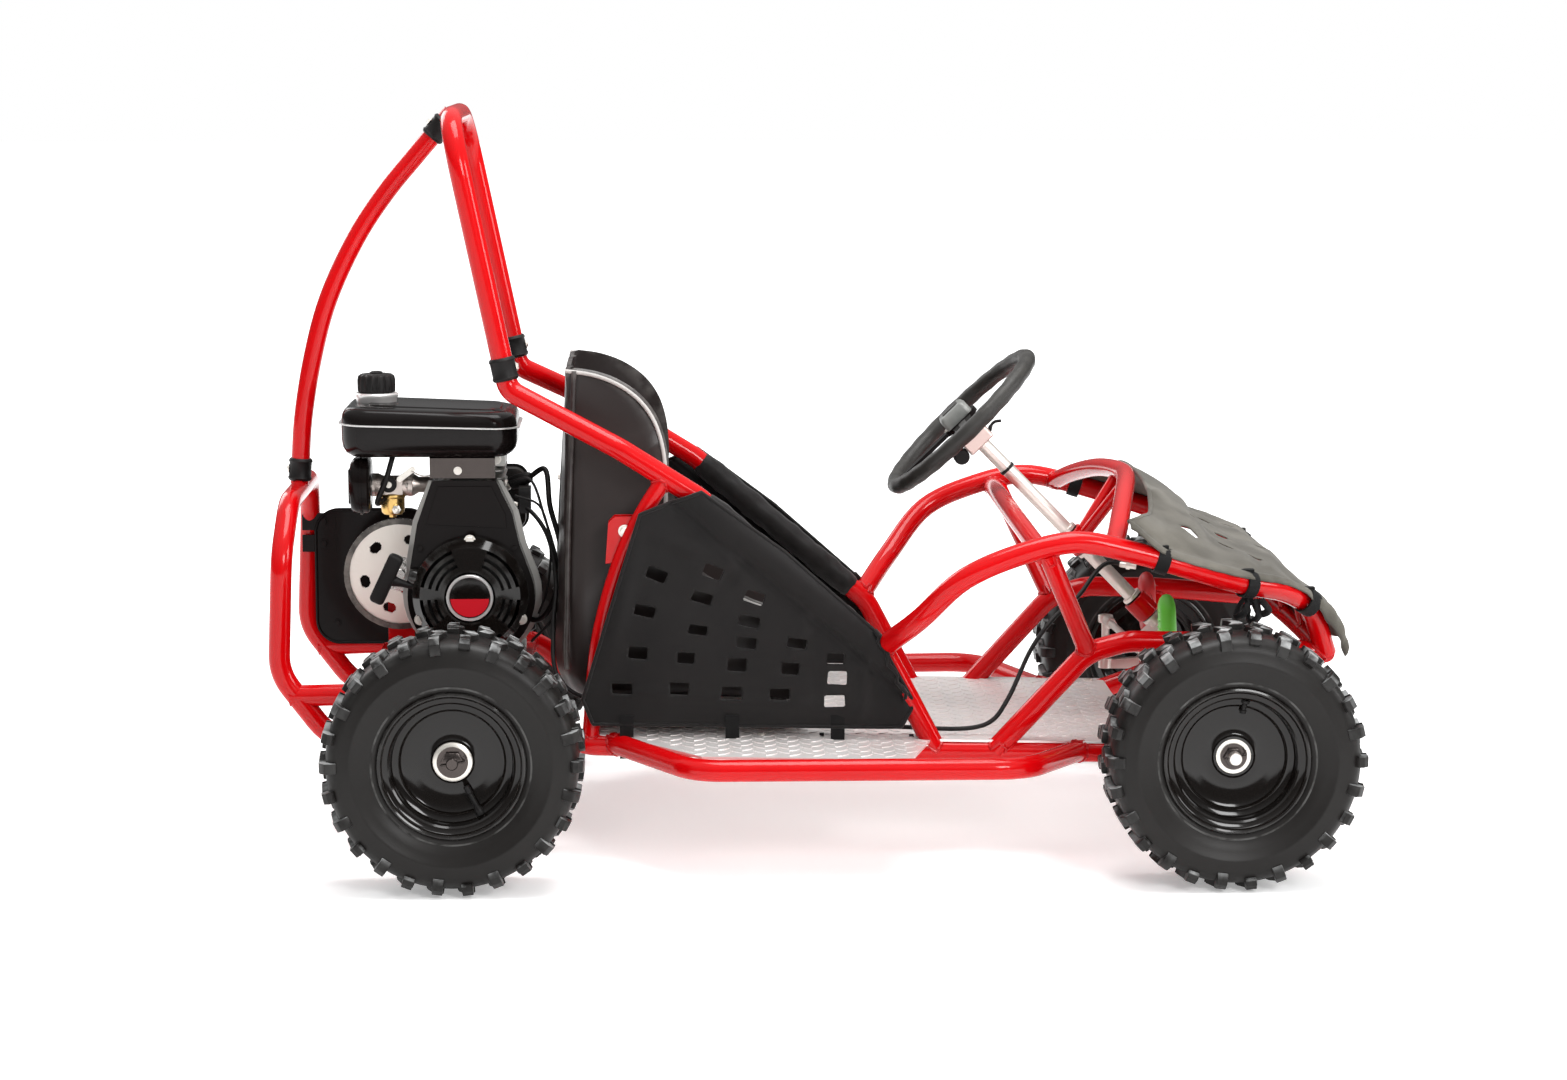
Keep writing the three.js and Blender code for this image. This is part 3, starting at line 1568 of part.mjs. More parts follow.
// Jackshaft with its large and small sprockets
const jackshaftStart = 94;
const jackshaftEnd = 172;
const jackshaftHubRadius = 14;
const hubReachShare = 0.8;
const lighteningHoles = 8;
const lighteningRadius = 7.5;
const lighteningShare = 0.7;
const holes = Array.from({ length: lighteningHoles }, (unused, i) => {
  const angle = (2 * Math.PI * i) / lighteningHoles;
  const x = jackshaftX + lighteningShare * jackshaftLarge.radius * Math.cos(angle);
  const z = jackshaftZ + lighteningShare * jackshaftLarge.radius * Math.sin(angle);
  const from = [x, primaryChainY - chainWidth, z];
  return rod(from, [x, primaryChainY + chainWidth, z], lighteningRadius, slimSides);
});
const largeSprocket = cut(
  sprocket(jackshaftX, primaryChainY, jackshaftZ, jackshaftLargeTeeth),
  holes,
);
const jackshaftBody = joined([
  rod([jackshaftX, jackshaftStart, jackshaftZ], [jackshaftX, jackshaftEnd, jackshaftZ], jackshaftRadius),
  rod(
    [jackshaftX, primaryChainY - chainWidth, jackshaftZ],
    [jackshaftX, primaryChainY + chainWidth * hubReachShare, jackshaftZ],
    jackshaftHubRadius,
  ),
  largeSprocket,
  sprocket(jackshaftX, axleChainY, jackshaftZ, jackshaftSmallTeeth),
]);
place("jackshaft", jackshaftBody, zinc);

// Chain guard: an upright plate outside the chains, bolted to the far leg of the rear hoop
const guardToLeg = 2.4;
const guardThickness = 2.5;
const guardOuter = hangerAcross - tubeRadius - guardToLeg;
const guardInner = guardOuter - guardThickness;
const guardRearShare = -0.2299;
const guardFrontShare = -0.0619;
const guardLowShare = 0.2226;
const guardHighShare = 0.4241;
const guardCorner = 30;
const guardBoltRadius = 7;
const guardBoltShares = [0.372, 0.404];
const guardRear = sidePoint([guardRearShare, guardLowShare]);
const guardFront = sidePoint([guardFrontShare, guardHighShare]);
const legX = rearAxleX + rearHoopShares[3][0] * wheelbase;
const guardOutline = roundedRectangle(
  guardRear[0],
  guardFront[0],
  guardRear[1],
  guardFront[1],
  guardCorner,
);
const guardBolts = guardBoltShares.map((share) =>
  rod(
    [legX, guardInner - sheetThickness, share * hoopHeight],
    [legX, hangerAcross, share * hoopHeight],
    guardBoltRadius,
    tubeSides,
  ),
);
const guardTab = box(
  [legX - crossTubeRadius, guardInner, guardBoltShares[0] * hoopHeight - crossTubeRadius],
  [guardRear[0] + guardCorner, guardOuter, guardBoltShares[1] * hoopHeight + guardBoltRadius],
);
const guard = joined([plateXZ(guardOutline, guardInner, guardOuter), guardTab, ...guardBolts]);
place("chain_guard", cut(guard, [rearHoop.clear, rearCrossClear]), blackPaint);

// Rear axle with a hub, an end nut and a cap at each wheel, and the brake disc
const discY = -118;
const discRadius = 64;
const discThickness = 4;
const hubFlangeRadius = 30;
const hubFlangeInner = 10;
const wheelDiscInner = 12;
const wheelDiscOuter = 18;
const nutRadius = 15;
const nutLength = 12;
const capNutRadius = 25;
const capNutLength = 6;
const axlePieces = [
  rod(
    [rearAxleX, -halfTrack - wheelDiscOuter - nutLength, axleHeight],
    [rearAxleX, halfTrack + wheelDiscOuter + nutLength, axleHeight],
    axleRadius,
  ),
];
for (const side of [-1, 1]) {
  const flange = [hubFlangeInner, wheelDiscInner - gap].map((y) => side * (halfTrack + y));
  const cap = [wheelDiscOuter + gap, wheelDiscOuter + capNutLength];
  const nut = [wheelDiscOuter + gap, wheelDiscOuter + capNutLength + nutLength];
  const [capEnds, nutEnds] = [cap, nut].map((ends) => ends.map((y) => side * (halfTrack + y)));
  axlePieces.push(
    rod(
      [rearAxleX, side * (halfTrack - hubFlangeInner * 3), axleHeight],
      [rearAxleX, flange[1], axleHeight],
      nutRadius + sheetThickness,
    ),
    rod(
      [rearAxleX, flange[0] - side * sheetThickness, axleHeight],
      [rearAxleX, flange[1], axleHeight],
      hubFlangeRadius,
    ),
    rod([rearAxleX, capEnds[0], axleHeight], [rearAxleX, capEnds[1], axleHeight], capNutRadius),
    rod([rearAxleX, nutEnds[0], axleHeight], [rearAxleX, nutEnds[1], axleHeight], nutRadius, nutSides),
  );
}
const brakeDisc = rod(
  [rearAxleX, discY - discThickness / 2, axleHeight],
  [rearAxleX, discY + discThickness / 2, axleHeight],
  discRadius,
  sprocketSides,
);
const discHub = rod(
  [rearAxleX, discY - chainWidth, axleHeight],
  [rearAxleX, discY + chainWidth, axleHeight],
  nutRadius + sheetThickness * 2,
);
place("rear_axle", joined([...axlePieces, brakeDisc, discHub]), zinc);

// Axle sprocket, clamped to the axle by its hub
const axleHubRadius = 22;
const axleSprocketBody = joined([
  sprocket(rearAxleX, axleChainY, axleHeight, axleTeeth),
  rod(
    [rearAxleX, axleChainY - 2 * chainWidth, axleHeight],
    [rearAxleX, axleChainY + chainWidth, axleHeight],
    axleHubRadius,
  ),
]);
const axleBore = hole(
  [rearAxleX, 0, axleHeight],
  [rearAxleX, halfFrame, axleHeight],
  axleRadius + gap,
);
place("axle_sprocket", cut(axleSprocketBody, [axleBore]), zinc);

// Brake caliper over the rear edge of the disc, on a bracket from the cradle's rear tube
const caliperLength = 34;
const bracketReachShare = 1.5;
const caliperHeight = 52;
const caliperHalfWidth = 17;
const discRoom = 2.5;
const caliperOverlap = 18;
const bracketThickness = 5;
const caliperFrontX = rearAxleX - discRadius + caliperOverlap;
const caliperBody = box(
  [caliperFrontX - caliperLength, discY - caliperHalfWidth, axleHeight - caliperHeight / 2],
  [caliperFrontX, discY + caliperHalfWidth, axleHeight + caliperHeight / 2],
);
const discSlot = rod(
  [rearAxleX, discY - discThickness / 2 - discRoom, axleHeight],
  [rearAxleX, discY + discThickness / 2 + discRoom, axleHeight],
  discRadius + discRoom,
  sprocketSides,
);
const caliperBracket = plateXZ(
  [
    [caliperFrontX - caliperLength, axleHeight],
    [caliperFrontX - caliperLength / 2, axleHeight],
    [cradleRearX + crossTubeRadius * bracketReachShare, cradleZ],
    [cradleRearX - crossTubeRadius, cradleZ],
  ],
  discY + caliperHalfWidth - bracketThickness,
  discY + caliperHalfWidth,
);
place(
  "brake_caliper",
  cut(joined([caliperBody, caliperBracket]), [discSlot, rearCrossClear]),
  blackPaint,
);

// Wheels: stepped rims and knobbly tyres
const beadRadius = beadDiameter / 2;
const flangeRadius = flangeDiameter / 2;
const halfRim = rimWidth / 2;
const rimWall = 3;
const dropCentreRadius = 64;
const dropInner = -25;
const dropOuter = 14;
const stepLength = 12;
const hubBoreClearance = 0.4;
const hubSleeveRadius = 20;
const hubSleeveInner = -24;
function rimBody(x, side, boreRadius, sleeve) {
  const back = [
    [boreRadius, wheelDiscInner],
    [dropCentreRadius - rimWall, wheelDiscInner],
  ];
  const sleeveBack = [
    [boreRadius, hubSleeveInner],
    [hubSleeveRadius, hubSleeveInner],
    [hubSleeveRadius, wheelDiscInner],
    [dropCentreRadius - rimWall, wheelDiscInner],
  ];
  const outline = [
    ...(sleeve ? sleeveBack : back),
    [dropCentreRadius - rimWall, dropInner],
    [beadRadius - rimWall, dropInner - stepLength],
    [beadRadius - rimWall, -halfRim],
    [flangeRadius, -halfRim],
    [beadRadius, -halfRim + rimWall],
    [beadRadius, dropInner - stepLength],
    [dropCentreRadius, dropInner],
    [dropCentreRadius, dropOuter],
    [beadRadius, dropOuter + stepLength],
    [beadRadius, halfRim - rimWall],
    [flangeRadius, halfRim],
    [beadRadius - rimWall, halfRim],
    [beadRadius - rimWall, dropOuter + stepLength + rimWall],
    [dropCentreRadius - rimWall, wheelDiscOuter],
    [boreRadius, wheelDiscOuter],
  ];
  const placed = outline.map(([r, y]) => [r, side * (halfTrack + y)]);
  return turned(placed, x, axleHeight, wheelSides);
}

const tyreWall = 8;
const beadClearance = 0.6;
const knobDepth = 7;
const shoulderRadius = 157;
const shoulderHalf = 57;
const sidewallRadius = 121;
const crownHalf = 21;
const beadInner = 33;
function tyreOutline(crownKnob, shoulderKnob) {
  const crown = tyreRadius - (crownKnob ? 0 : knobDepth);
  const shoulder = shoulderRadius - (shoulderKnob ? 0 : knobDepth);
  const reach = shoulderHalf - (shoulderKnob ? 0 : knobDepth / 2);
  const bead = room(beadRadius + beadClearance, treadStations);
  const seat = halfRim - rimWall - beadClearance;
  const half = [
    [bead, beadInner],
    [bead, seat],
    [flangeRadius + beadClearance * 2, seat],
    [sidewallRadius, tyreWidth / 2],
    [shoulder, reach],
    [crown, crownHalf],
  ];
  const other = half.slice().reverse();
  const inside = [shoulderRadius - 2 * tyreWall, 0];
  return [inside, ...half, ...other.map(([r, y]) => [r, -y])];
}
function tyreBody(x, y) {
  const positions = [];
  const index = [];
  const step = (2 * Math.PI) / treadStations;
  let count = 0;
  for (let k = 0; k < treadStations; k++) {
    const phase = k % stationsPerKnob;
    const outline = tyreOutline(phase < 2, phase >= 2);
    count = outline.length;
    const angle = -Math.PI / 2 + (k - 0.5) * step;
    for (const [r, across] of outline) {
      positions.push(x + r * Math.cos(angle), y + across, axleHeight + r * Math.sin(angle));
    }
  }
  for (let k = 0; k < treadStations; k++) {
    const next = (k + 1) % treadStations;
    for (let i = 0; i < count; i++) {
      const a = k * count + i;
      const b = k * count + ((i + 1) % count);
      const c = next * count + ((i + 1) % count);
      const d = next * count + i;
      index.push(a, c, b, a, d, c);
    }
  }
  const geometry = new THREE.BufferGeometry();
  geometry.setAttribute("position", new THREE.Float32BufferAttribute(positions, 3));
  geometry.setIndex(index);
  return solid(geometry);
}
const axleRoom = room(axleRadius + gap, wheelSides);
const spindleRadius = 8;
const spindleRoom = room(spindleRadius + hubBoreClearance, wheelSides);
for (const [name, side] of Object.entries(sides)) {
  place(`rear_rim_${name}`, rimBody(rearAxleX, side, axleRoom, false), blackPaint);
  place(`rear_tyre_${name}`, tyreBody(rearAxleX, side * halfTrack), tyreRubber);
  place(`front_rim_${name}`, rimBody(frontAxleX, side, spindleRoom, true), blackPaint);
  place(`front_tyre_${name}`, tyreBody(frontAxleX, side * halfTrack), tyreRubber);
}

// Steering knuckles: a sleeve round each kingpin, the spindle, and an arm to the rear whose
// post carries the tie rod
const kingpinSleeveRadius = 13;
const kingpinClearance = 0.3;
const armLength = 74;
const armWidth = 16;
const armHeight = 12;
const postRadius = 6;
const tieRodZ = 222;
const tieRodHeight = 12;
const eyeRadius = 11;
const spindleCollarRadius = 14;
const spindleNutLength = 10;
for (const [name, side] of Object.entries(sides)) {
  const y = side * kingpinAcross;
  const hubStart = side * (halfTrack + hubSleeveInner - runningClearance);
  const nutStart = side * (halfTrack + wheelDiscOuter + runningClearance);
  const postX = frontAxleX - armLength;
  const knuckle = joined([
    rod(
      [frontAxleX, y, axleHeight - knuckleHeight / 2],
      [frontAxleX, y, axleHeight + knuckleHeight / 2],
      kingpinSleeveRadius,
    ),
    rod(
      [frontAxleX, y, axleHeight],
      [frontAxleX, nutStart + side * 2 * spindleNutLength, axleHeight],
      spindleRadius,
    ),
    rod([frontAxleX, y, axleHeight], [frontAxleX, hubStart, axleHeight], spindleCollarRadius),
    rod(
      [frontAxleX, nutStart, axleHeight],
      [frontAxleX, nutStart + side * spindleNutLength, axleHeight],
      nutRadius,
      nutSides,
    ),
    box(
      [postX - armWidth / 2, y - armWidth / 2, axleHeight - armHeight / 2],
      [frontAxleX, y + armWidth / 2, axleHeight + armHeight / 2],
    ),
    rod([postX, y, axleHeight], [postX, y, tieRodZ + tieRodHeight], postRadius),
    rod(
      [postX, y, axleHeight],
      [postX, y, tieRodZ - tieRodHeight / 2 - runningClearance],
      armWidth / 2,
    ),
  ]);
  const pinBore = hole(
    [frontAxleX, y, axleHeight - knuckleHeight],
    [frontAxleX, y, axleHeight + knuckleHeight],
    kingpinRadius + kingpinClearance,
  );
  place(`knuckle_${name}`, cut(knuckle, [pinBore]), zinc);
}

// Steering column: the shaft, the flange under the wheel and the pitman plate
const wheelFlangeRadius = 18;
const flangeThickness = 5;
const flangeAt = 6;
const pitmanThickness = 6;
const pitmanLength = 46;
const pitmanHalf = 34;
const pitmanHub = 14;
function columnFrame(distance) {
  const back = columnDirection.clone().negate();
  const left = new THREE.Vector3(0, 1, 0);
  const basis = new THREE.Matrix4().makeBasis(columnUp, left, back);
  return basis.setPosition(...onColumn(distance));
}
const pitmanShape = new THREE.Shape(
  [
    [pitmanHub, -pitmanHub],
    [pitmanHub, pitmanHub],
    [-pitmanLength, pitmanHalf],
    [-pitmanLength - pitmanThickness, pitmanHalf],
    [-pitmanLength - pitmanThickness, -pitmanHalf],
    [-pitmanLength, -pitmanHalf],
  ].map(([x, y]) => new THREE.Vector2(x, y)),
);
const pitman = solid(
  new THREE.ExtrudeGeometry(pitmanShape, { depth: pitmanThickness, bevelEnabled: false }).applyMatrix4(
    columnFrame(columnLength),
  ),
);
const shaftPieces = [
  rod(onColumn(flangeAt), onColumn(columnLength), columnRadius),
  rod(onColumn(flangeAt), onColumn(flangeAt + flangeThickness), wheelFlangeRadius),
  pitman,
];
place("steering_shaft", joined(shaftPieces), zinc);

// Tie rods: an eye round each knuckle's post and a rod in to the pitman plate
const tieRodRadius = 5;
const ballRadius = 7;
const tieRodInner = 26;
const pitmanReachShare = 0.95;
const ballPlace = onColumn(
  columnLength + ballRadius + 2 * gap,
  -pitmanReachShare * pitmanLength,
);
for (const [name, side] of Object.entries(sides)) {
  const postX = frontAxleX - armLength;
  const y = side * kingpinAcross;
  const eye = rod(
    [postX, y, tieRodZ - tieRodHeight / 2],
    [postX, y, tieRodZ + tieRodHeight / 2],
    eyeRadius,
  );
  const eyeBore = hole(
    [postX, y, tieRodZ - tieRodHeight],
    [postX, y, tieRodZ + tieRodHeight],
    postRadius + kingpinClearance,
  );
  const [ballX, , ballZ] = ballPlace;
  const bar = rod(
    [postX, y, tieRodZ],
    [ballX, side * tieRodInner, ballZ],
    tieRodRadius,
    tubeSides,
  );
  const ball = rod(
    [ballX, side * (tieRodInner + eyeRadius), ballZ],
    [ballX, side * (tieRodInner - eyeRadius), ballZ],
    ballRadius,
    tubeSides,
  );
  place(`tie_rod_${name}`, cut(joined([eye, bar, ball]), [eyeBore]), zinc);
}

// Steering wheel: a round rim, two wide spokes and a plain pad
const steeringDiameter = 270;
const gripTube = 26;
const spokeWidth = 38;
const spokeThickness = 6;
const padRadius = 20;
const padThickness = 23;
const padBaseRadius = 27;
const wheelFrame = columnFrame(flangeAt - gap);
const rimMajor = (steeringDiameter - gripTube) / 2;
const steeringRim = solid(
  new THREE.TorusGeometry(rimMajor, gripTube / 2, slimSides, sprocketSides).applyMatrix4(
    columnFrame(flangeAt - gap - spokeThickness / 2),
  ),
);
const spokes = solid(
  new THREE.BoxGeometry(spokeWidth, 2 * rimMajor, spokeThickness)
    .translate(0, 0, spokeThickness / 2)
    .applyMatrix4(wheelFrame),
);
const wheelPad = rod(
  onColumn(flangeAt - gap - spokeThickness),
  onColumn(flangeAt - gap - spokeThickness - padThickness),
  padRadius,
);
const padBase = rod(
  onColumn(flangeAt - gap),
  onColumn(flangeAt - gap - 2 * spokeThickness),
  padBaseRadius,
);
place("steering_wheel", joined([steeringRim, spokes, wheelPad, padBase]), blackPlastic);

// Pedals: a hub on the beam's pin, an arm and an upright pad
const pedalArmWidth = 12;
const pedalArmDepth = 8;
const pedalHubRadius = 9;
const pedalReach = 126;
const pedalLean = 0.1;
const pedalPadWidth = 50;
const pedalPadHeight = 95;
const pedalPadThickness = 8;
const pedalPinClearance = 0.4;
function pedal(side) {
  const frame = new THREE.Matrix4().makeRotationY(pedalLean);
  frame.setPosition(pedalPivotX, side * pedalAcross, pedalPivotZ);
  const hub = new THREE.CylinderGeometry(pedalHubRadius, pedalHubRadius, pedalWidth, turnSides);
  const arm = new THREE.BoxGeometry(pedalArmDepth, pedalArmWidth, pedalReach);
  arm.translate(0, 0, pedalReach / 2);
  const outline = roundedRectangle(
    pedalReach - pedalPadHeight / 2,
    pedalReach + pedalPadHeight / 2,
    -pedalPadWidth / 2,
    pedalPadWidth / 2,
    pedalPadWidth / 4,
  );
  const padShape = new THREE.Shape(outline.map(([z, y]) => new THREE.Vector2(z, y)));
  const pad = new THREE.ExtrudeGeometry(padShape, {
    depth: pedalPadThickness,
    bevelEnabled: false,
  });
  pad.rotateY(-Math.PI / 2);
  pad.translate(-pedalArmDepth / 2 + gap, 0, 0);
  const bore = hole(
    [pedalPivotX, side * pedalAcross - pedalWidth, pedalPivotZ],
    [pedalPivotX, side * pedalAcross + pedalWidth, pedalPivotZ],
    pedalPinRadius + pedalPinClearance,
  );
  const pieces = [hub, arm, pad].map((geometry) => solid(geometry.applyMatrix4(frame)));
  return cut(joined(pieces), [bore]);
}
place("throttle_pedal", pedal(-1), greenRubber);
place("brake_pedal", pedal(1), redRubber);

// Throttle cable: from the pedals back along the right rail and up to the engine
const cableDiameter = 6;
const cableShares = [
  [0.917, -0.23, 0.368],
  [0.882, -0.2, 0.3713],
  [0.835, -0.4, 0.3291],
  [0.802, -0.54, 0.308],
  [0.768, -0.67, 0.27],
  [0.732, -0.83, 0.2046],
  [0.711, -0.88, 0.178],
  [0.685, -0.9, 0.1685],
  [0.55, -0.9, 0.172],
  [0.3, -0.9, 0.181],
  [0.215, -0.895, 0.213],
  [0.16, -0.885, 0.2143],
  [0.128, -0.86, 0.24],
  [0.121, -0.67, 0.3059],
  [0.124, -0.49, 0.3586],
  [0.111, -0.36, 0.4219],
  [0.083, -0.25, 0.455],
  [0.0547, -0.2, 0.462],
];
const cableRoute = smoothRoute(
  cableShares.map((share) => at(share)),
  cableSteps,
);
place("throttle_cable", tube(cableRoute, cableDiameter, slimSides), blackPlastic);

export default kart;
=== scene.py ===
# An off-road kart for one child, dressed over its fixed frame. Metres, +X forward, +Y the
# driver's left, +Z up, with the ground at Z = 0.
import json
from math import acos, atan2, copysign, cos, exp, hypot, pi, radians, sin, sqrt, tan

import bmesh
import bpy
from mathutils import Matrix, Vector
from mathutils.geometry import delaunay_2d_cdt


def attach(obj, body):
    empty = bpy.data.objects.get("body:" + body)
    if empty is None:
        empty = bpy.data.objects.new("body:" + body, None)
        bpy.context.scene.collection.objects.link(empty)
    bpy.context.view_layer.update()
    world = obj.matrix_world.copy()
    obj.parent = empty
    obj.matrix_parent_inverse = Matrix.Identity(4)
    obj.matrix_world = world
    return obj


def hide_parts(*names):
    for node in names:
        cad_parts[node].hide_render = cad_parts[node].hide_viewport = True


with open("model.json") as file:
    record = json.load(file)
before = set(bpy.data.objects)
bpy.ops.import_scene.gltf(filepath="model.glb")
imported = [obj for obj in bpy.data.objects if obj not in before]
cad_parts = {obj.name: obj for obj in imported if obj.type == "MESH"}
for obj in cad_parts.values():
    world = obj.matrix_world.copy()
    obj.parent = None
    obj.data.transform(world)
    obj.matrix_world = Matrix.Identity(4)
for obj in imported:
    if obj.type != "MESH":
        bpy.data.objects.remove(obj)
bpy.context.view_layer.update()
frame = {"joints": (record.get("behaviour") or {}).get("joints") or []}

# Studio: a pale floor that runs into a pale backdrop, soft lamps above and to the front, and a
# camera at the height and distance of the photograph.
def new_object(name, points, faces, finishes=()):
    """An object of a mesh, linked to the scene."""
    mesh = bpy.data.meshes.new(name)
    mesh.from_pydata(points, [], faces)
    for used in finishes:
        mesh.materials.append(used)
    made = bpy.data.objects.new(name, mesh)
    bpy.context.scene.collection.objects.link(made)
    return made


def node(tree, kind, inputs=None, **settings):
    """A node, new or found by its name; each input takes a plain value or another node's output."""
    made = tree.nodes.get(kind) or tree.nodes.new(kind)
    for key, value in settings.items():
        setattr(made, key, value)
    for socket, value in (inputs or {}).items():
        if isinstance(value, bpy.types.NodeSocket):
            tree.links.new(value, made.inputs[socket])
        else:
            made.inputs[socket].default_value = value
    return made


camera_data = bpy.data.cameras.new("camera")
camera_data.lens = 82.82
camera_data.sensor_width = 36
camera_data.clip_end = 60
camera = bpy.data.objects.new("camera", camera_data)
camera.location = (-0.1797, -4.8049, 1.0589)
camera_pitch, camera_yaw = radians(8.048), radians(1.913)
camera.rotation_euler = (pi / 2 - camera_pitch, 0, -camera_yaw)
bpy.context.scene.collection.objects.link(camera)
bpy.context.scene.camera = camera
bpy.context.scene.view_settings.view_transform = "Standard"

white = (1, 1, 1, 1)
world = bpy.data.worlds.new("studio")
bpy.context.scene.world = world
world.use_nodes = True
sky = world.node_tree
sky_axes = node(sky, "ShaderNodeSeparateXYZ", {0: node(sky, "ShaderNodeTexCoord").outputs["Generated"]})
sky_limits = {"From Min": 0, "From Max": 0.9, "To Min": 0.16, "To Max": 1}
sky_rise = node(sky, "ShaderNodeMapRange", {"Value": sky_axes.outputs["Z"], **sky_limits},
    interpolation_type="SMOOTHSTEP")
sky_light = node(sky, "Background", {"Color": white, "Strength": sky_rise.outputs["Result"]})
backdrop = node(sky, "ShaderNodeBackground", {"Color": white, "Strength": 1})
rays = node(sky, "ShaderNodeLightPath")
choose = node(sky, "ShaderNodeMixShader", {"Fac": rays.outputs["Is Camera Ray"],
    1: sky_light.outputs["Background"], 2: backdrop.outputs["Background"]})
node(sky, "World Output", {"Surface": choose.outputs["Shader"]})

floor_size = 30
floor_corners = [(x * floor_size, y * floor_size, 0) for x, y in ((-1, -1), (1, -1), (1, 1), (-1, 1))]
floor_paint = bpy.data.materials.new("studio_floor")
floor_paint.use_nodes = True
paint = floor_paint.node_tree
floor_reach = node(paint, "ShaderNodeVectorMath", {0: node(paint, "ShaderNodeTexCoord").outputs["Object"]},
    operation="LENGTH")
floor_limits = {"From Min": 0.9, "From Max": 3.0, "To Min": 0.32, "To Max": 0.85}
floor_glow = node(paint, "ShaderNodeMapRange", {"Value": floor_reach.outputs["Value"], **floor_limits})
node(paint, "Principled BSDF", {"Base Color": (0.9, 0.9, 0.9, 1), "Roughness": 0.9, "Emission Color": white,
    "Emission Strength": floor_glow.outputs["Result"]})
floor = new_object("studio_floor", floor_corners, [(0, 1, 2, 3)], [floor_paint])
floor.location.z = -0.0015

lamp_table = {"lamp_over": ((0.2, -0.3, 3.6), (0, 0, 0.3), 2.0, 105), "lamp_front": ((1.6, -3.8, 2.2),
    (0, 0, 0.35), 1.2, 78), "lamp_nose": ((4.0, -1.2, 1.9), (0.3, 0, 0.4), 1.4, 60),
    "lamp_back": ((-2.6, 3.4, 2.4), (0, 0, 0.4), 2.0, 52)}
for name, (place, target, size, power) in lamp_table.items():
    lamp_data = bpy.data.lights.new(name, "AREA")
    lamp_data.size = size
    lamp_data.energy = power
    lamp = bpy.data.objects.new(name, lamp_data)
    lamp.location = place
    lamp.rotation_euler = (Vector(target) - Vector(place)).to_track_quat("-Z", "Y").to_euler()
    bpy.context.scene.collection.objects.link(lamp)

# Frame tubes: round steel tube, bent, coped and welded, and powder coated in bright red. Each
# tube follows a few listed places, given as shares of the wheelbase, the half width and
# the hoop's height.
joint_at = {joint["name"]: Vector(joint.get("pos_m") or (0, 0, 0)) for joint in frame["joints"]}
rear_axle = joint_at["rear_axle_spin"]
front_axle = joint_at["front_wheel_right_spin"]
wheelbase = front_axle.x - rear_axle.x
axle_height = rear_axle.z
half_frame = 0.223
hoop_height = 0.948
tube_radius = 0.014
cross_radius = 0.0125
slim_radius = 0.008
tube_sides = 28
sides = {"right": -1, "left": 1}


def xyz(x, y, z):
    return Vector((x, y, z))


def along_x(share):
    return rear_axle.x + share * wheelbase


def at(share, side=1):
    along, across, up = share
    return xyz(along_x(along), side * across * half_frame, up * hoop_height)


def placed(shares, side=1):
    return [at(share, side) for share in shares]


def side_point(along, up):
    return xyz(along_x(along), 0, up * hoop_height)


def mirrored(shares):
    middle = 1 if shares[-1][1] == 0 else 0
    return [at(share, -1) for share in shares] + [at(share) for share in shares[::-1]][middle:]


def bent(corners, bend=0.07, steps=7):
    """Straight runs with a round bend at each corner."""
    points = [Vector(corner) for corner in corners]
    route = [points[0]]
    for before, corner, after in zip(points, points[1:], points[2:]):
        back = before - corner
        onward = after - corner
        turn = pi - back.angle(onward)
        reach = min(bend * tan(turn / 2), back.length / 2, onward.length / 2)
        start = corner + back.normalized() * reach
        end = corner + onward.normalized() * reach
        for step in range(steps + 1):
            share = step / steps
            away = 1 - share
            route.append(away * away * start + 2 * away * share * corner + share * share * end)
    route.append(points[-1])
    return route


def smooth(points, steps=6):
    """One smooth curve through all the points."""
    points = [Vector(point) for point in points]
    padded_points = [2 * points[0] - points[1]] + points + [2 * points[-1] - points[-2]]
    route = []
    for a, b, c, d in zip(padded_points, padded_points[1:], padded_points[2:], padded_points[3:]):
        first, middle, last = [max((q - p).length, 1e-6) ** 0.5 for p, q in ((a, b), (b, c), (c, d))]
        leave = ((b - a) / first - (c - a) / (first + middle) + (c - b) / middle) * middle
        reach = ((c - b) / middle - (d - b) / (middle + last) + (d - c) / last) * middle
        for step in range(steps):
            t = step / steps
            route.append(b + t * leave + t * t * (3 * (c - b) - 2 * leave - reach)
                + t ** 3 * (2 * (b - c) + leave + reach))
    route.append(points[-1])
    return route


def swung(radius, angle, first, second):
    """A step of one radius, turned from the first direction towards the second."""
    return radius * (cos(angle) * first + sin(angle) * second)


def square_to(axis):
    """A direction square to an axis."""
    guide = xyz(0, 0, 1) if abs(axis.z) < 0.9 else xyz(1, 0, 0)
    return axis.cross(guide).normalized()


def ring_faces(here, there, count):
    """Four-sided faces between two rings of points, given by each ring's first number."""
    turns = [(k, (k + 1) % count) for k in range(count)]
    return [(here + k, here + on, there + on, there + k) for k, on in turns]


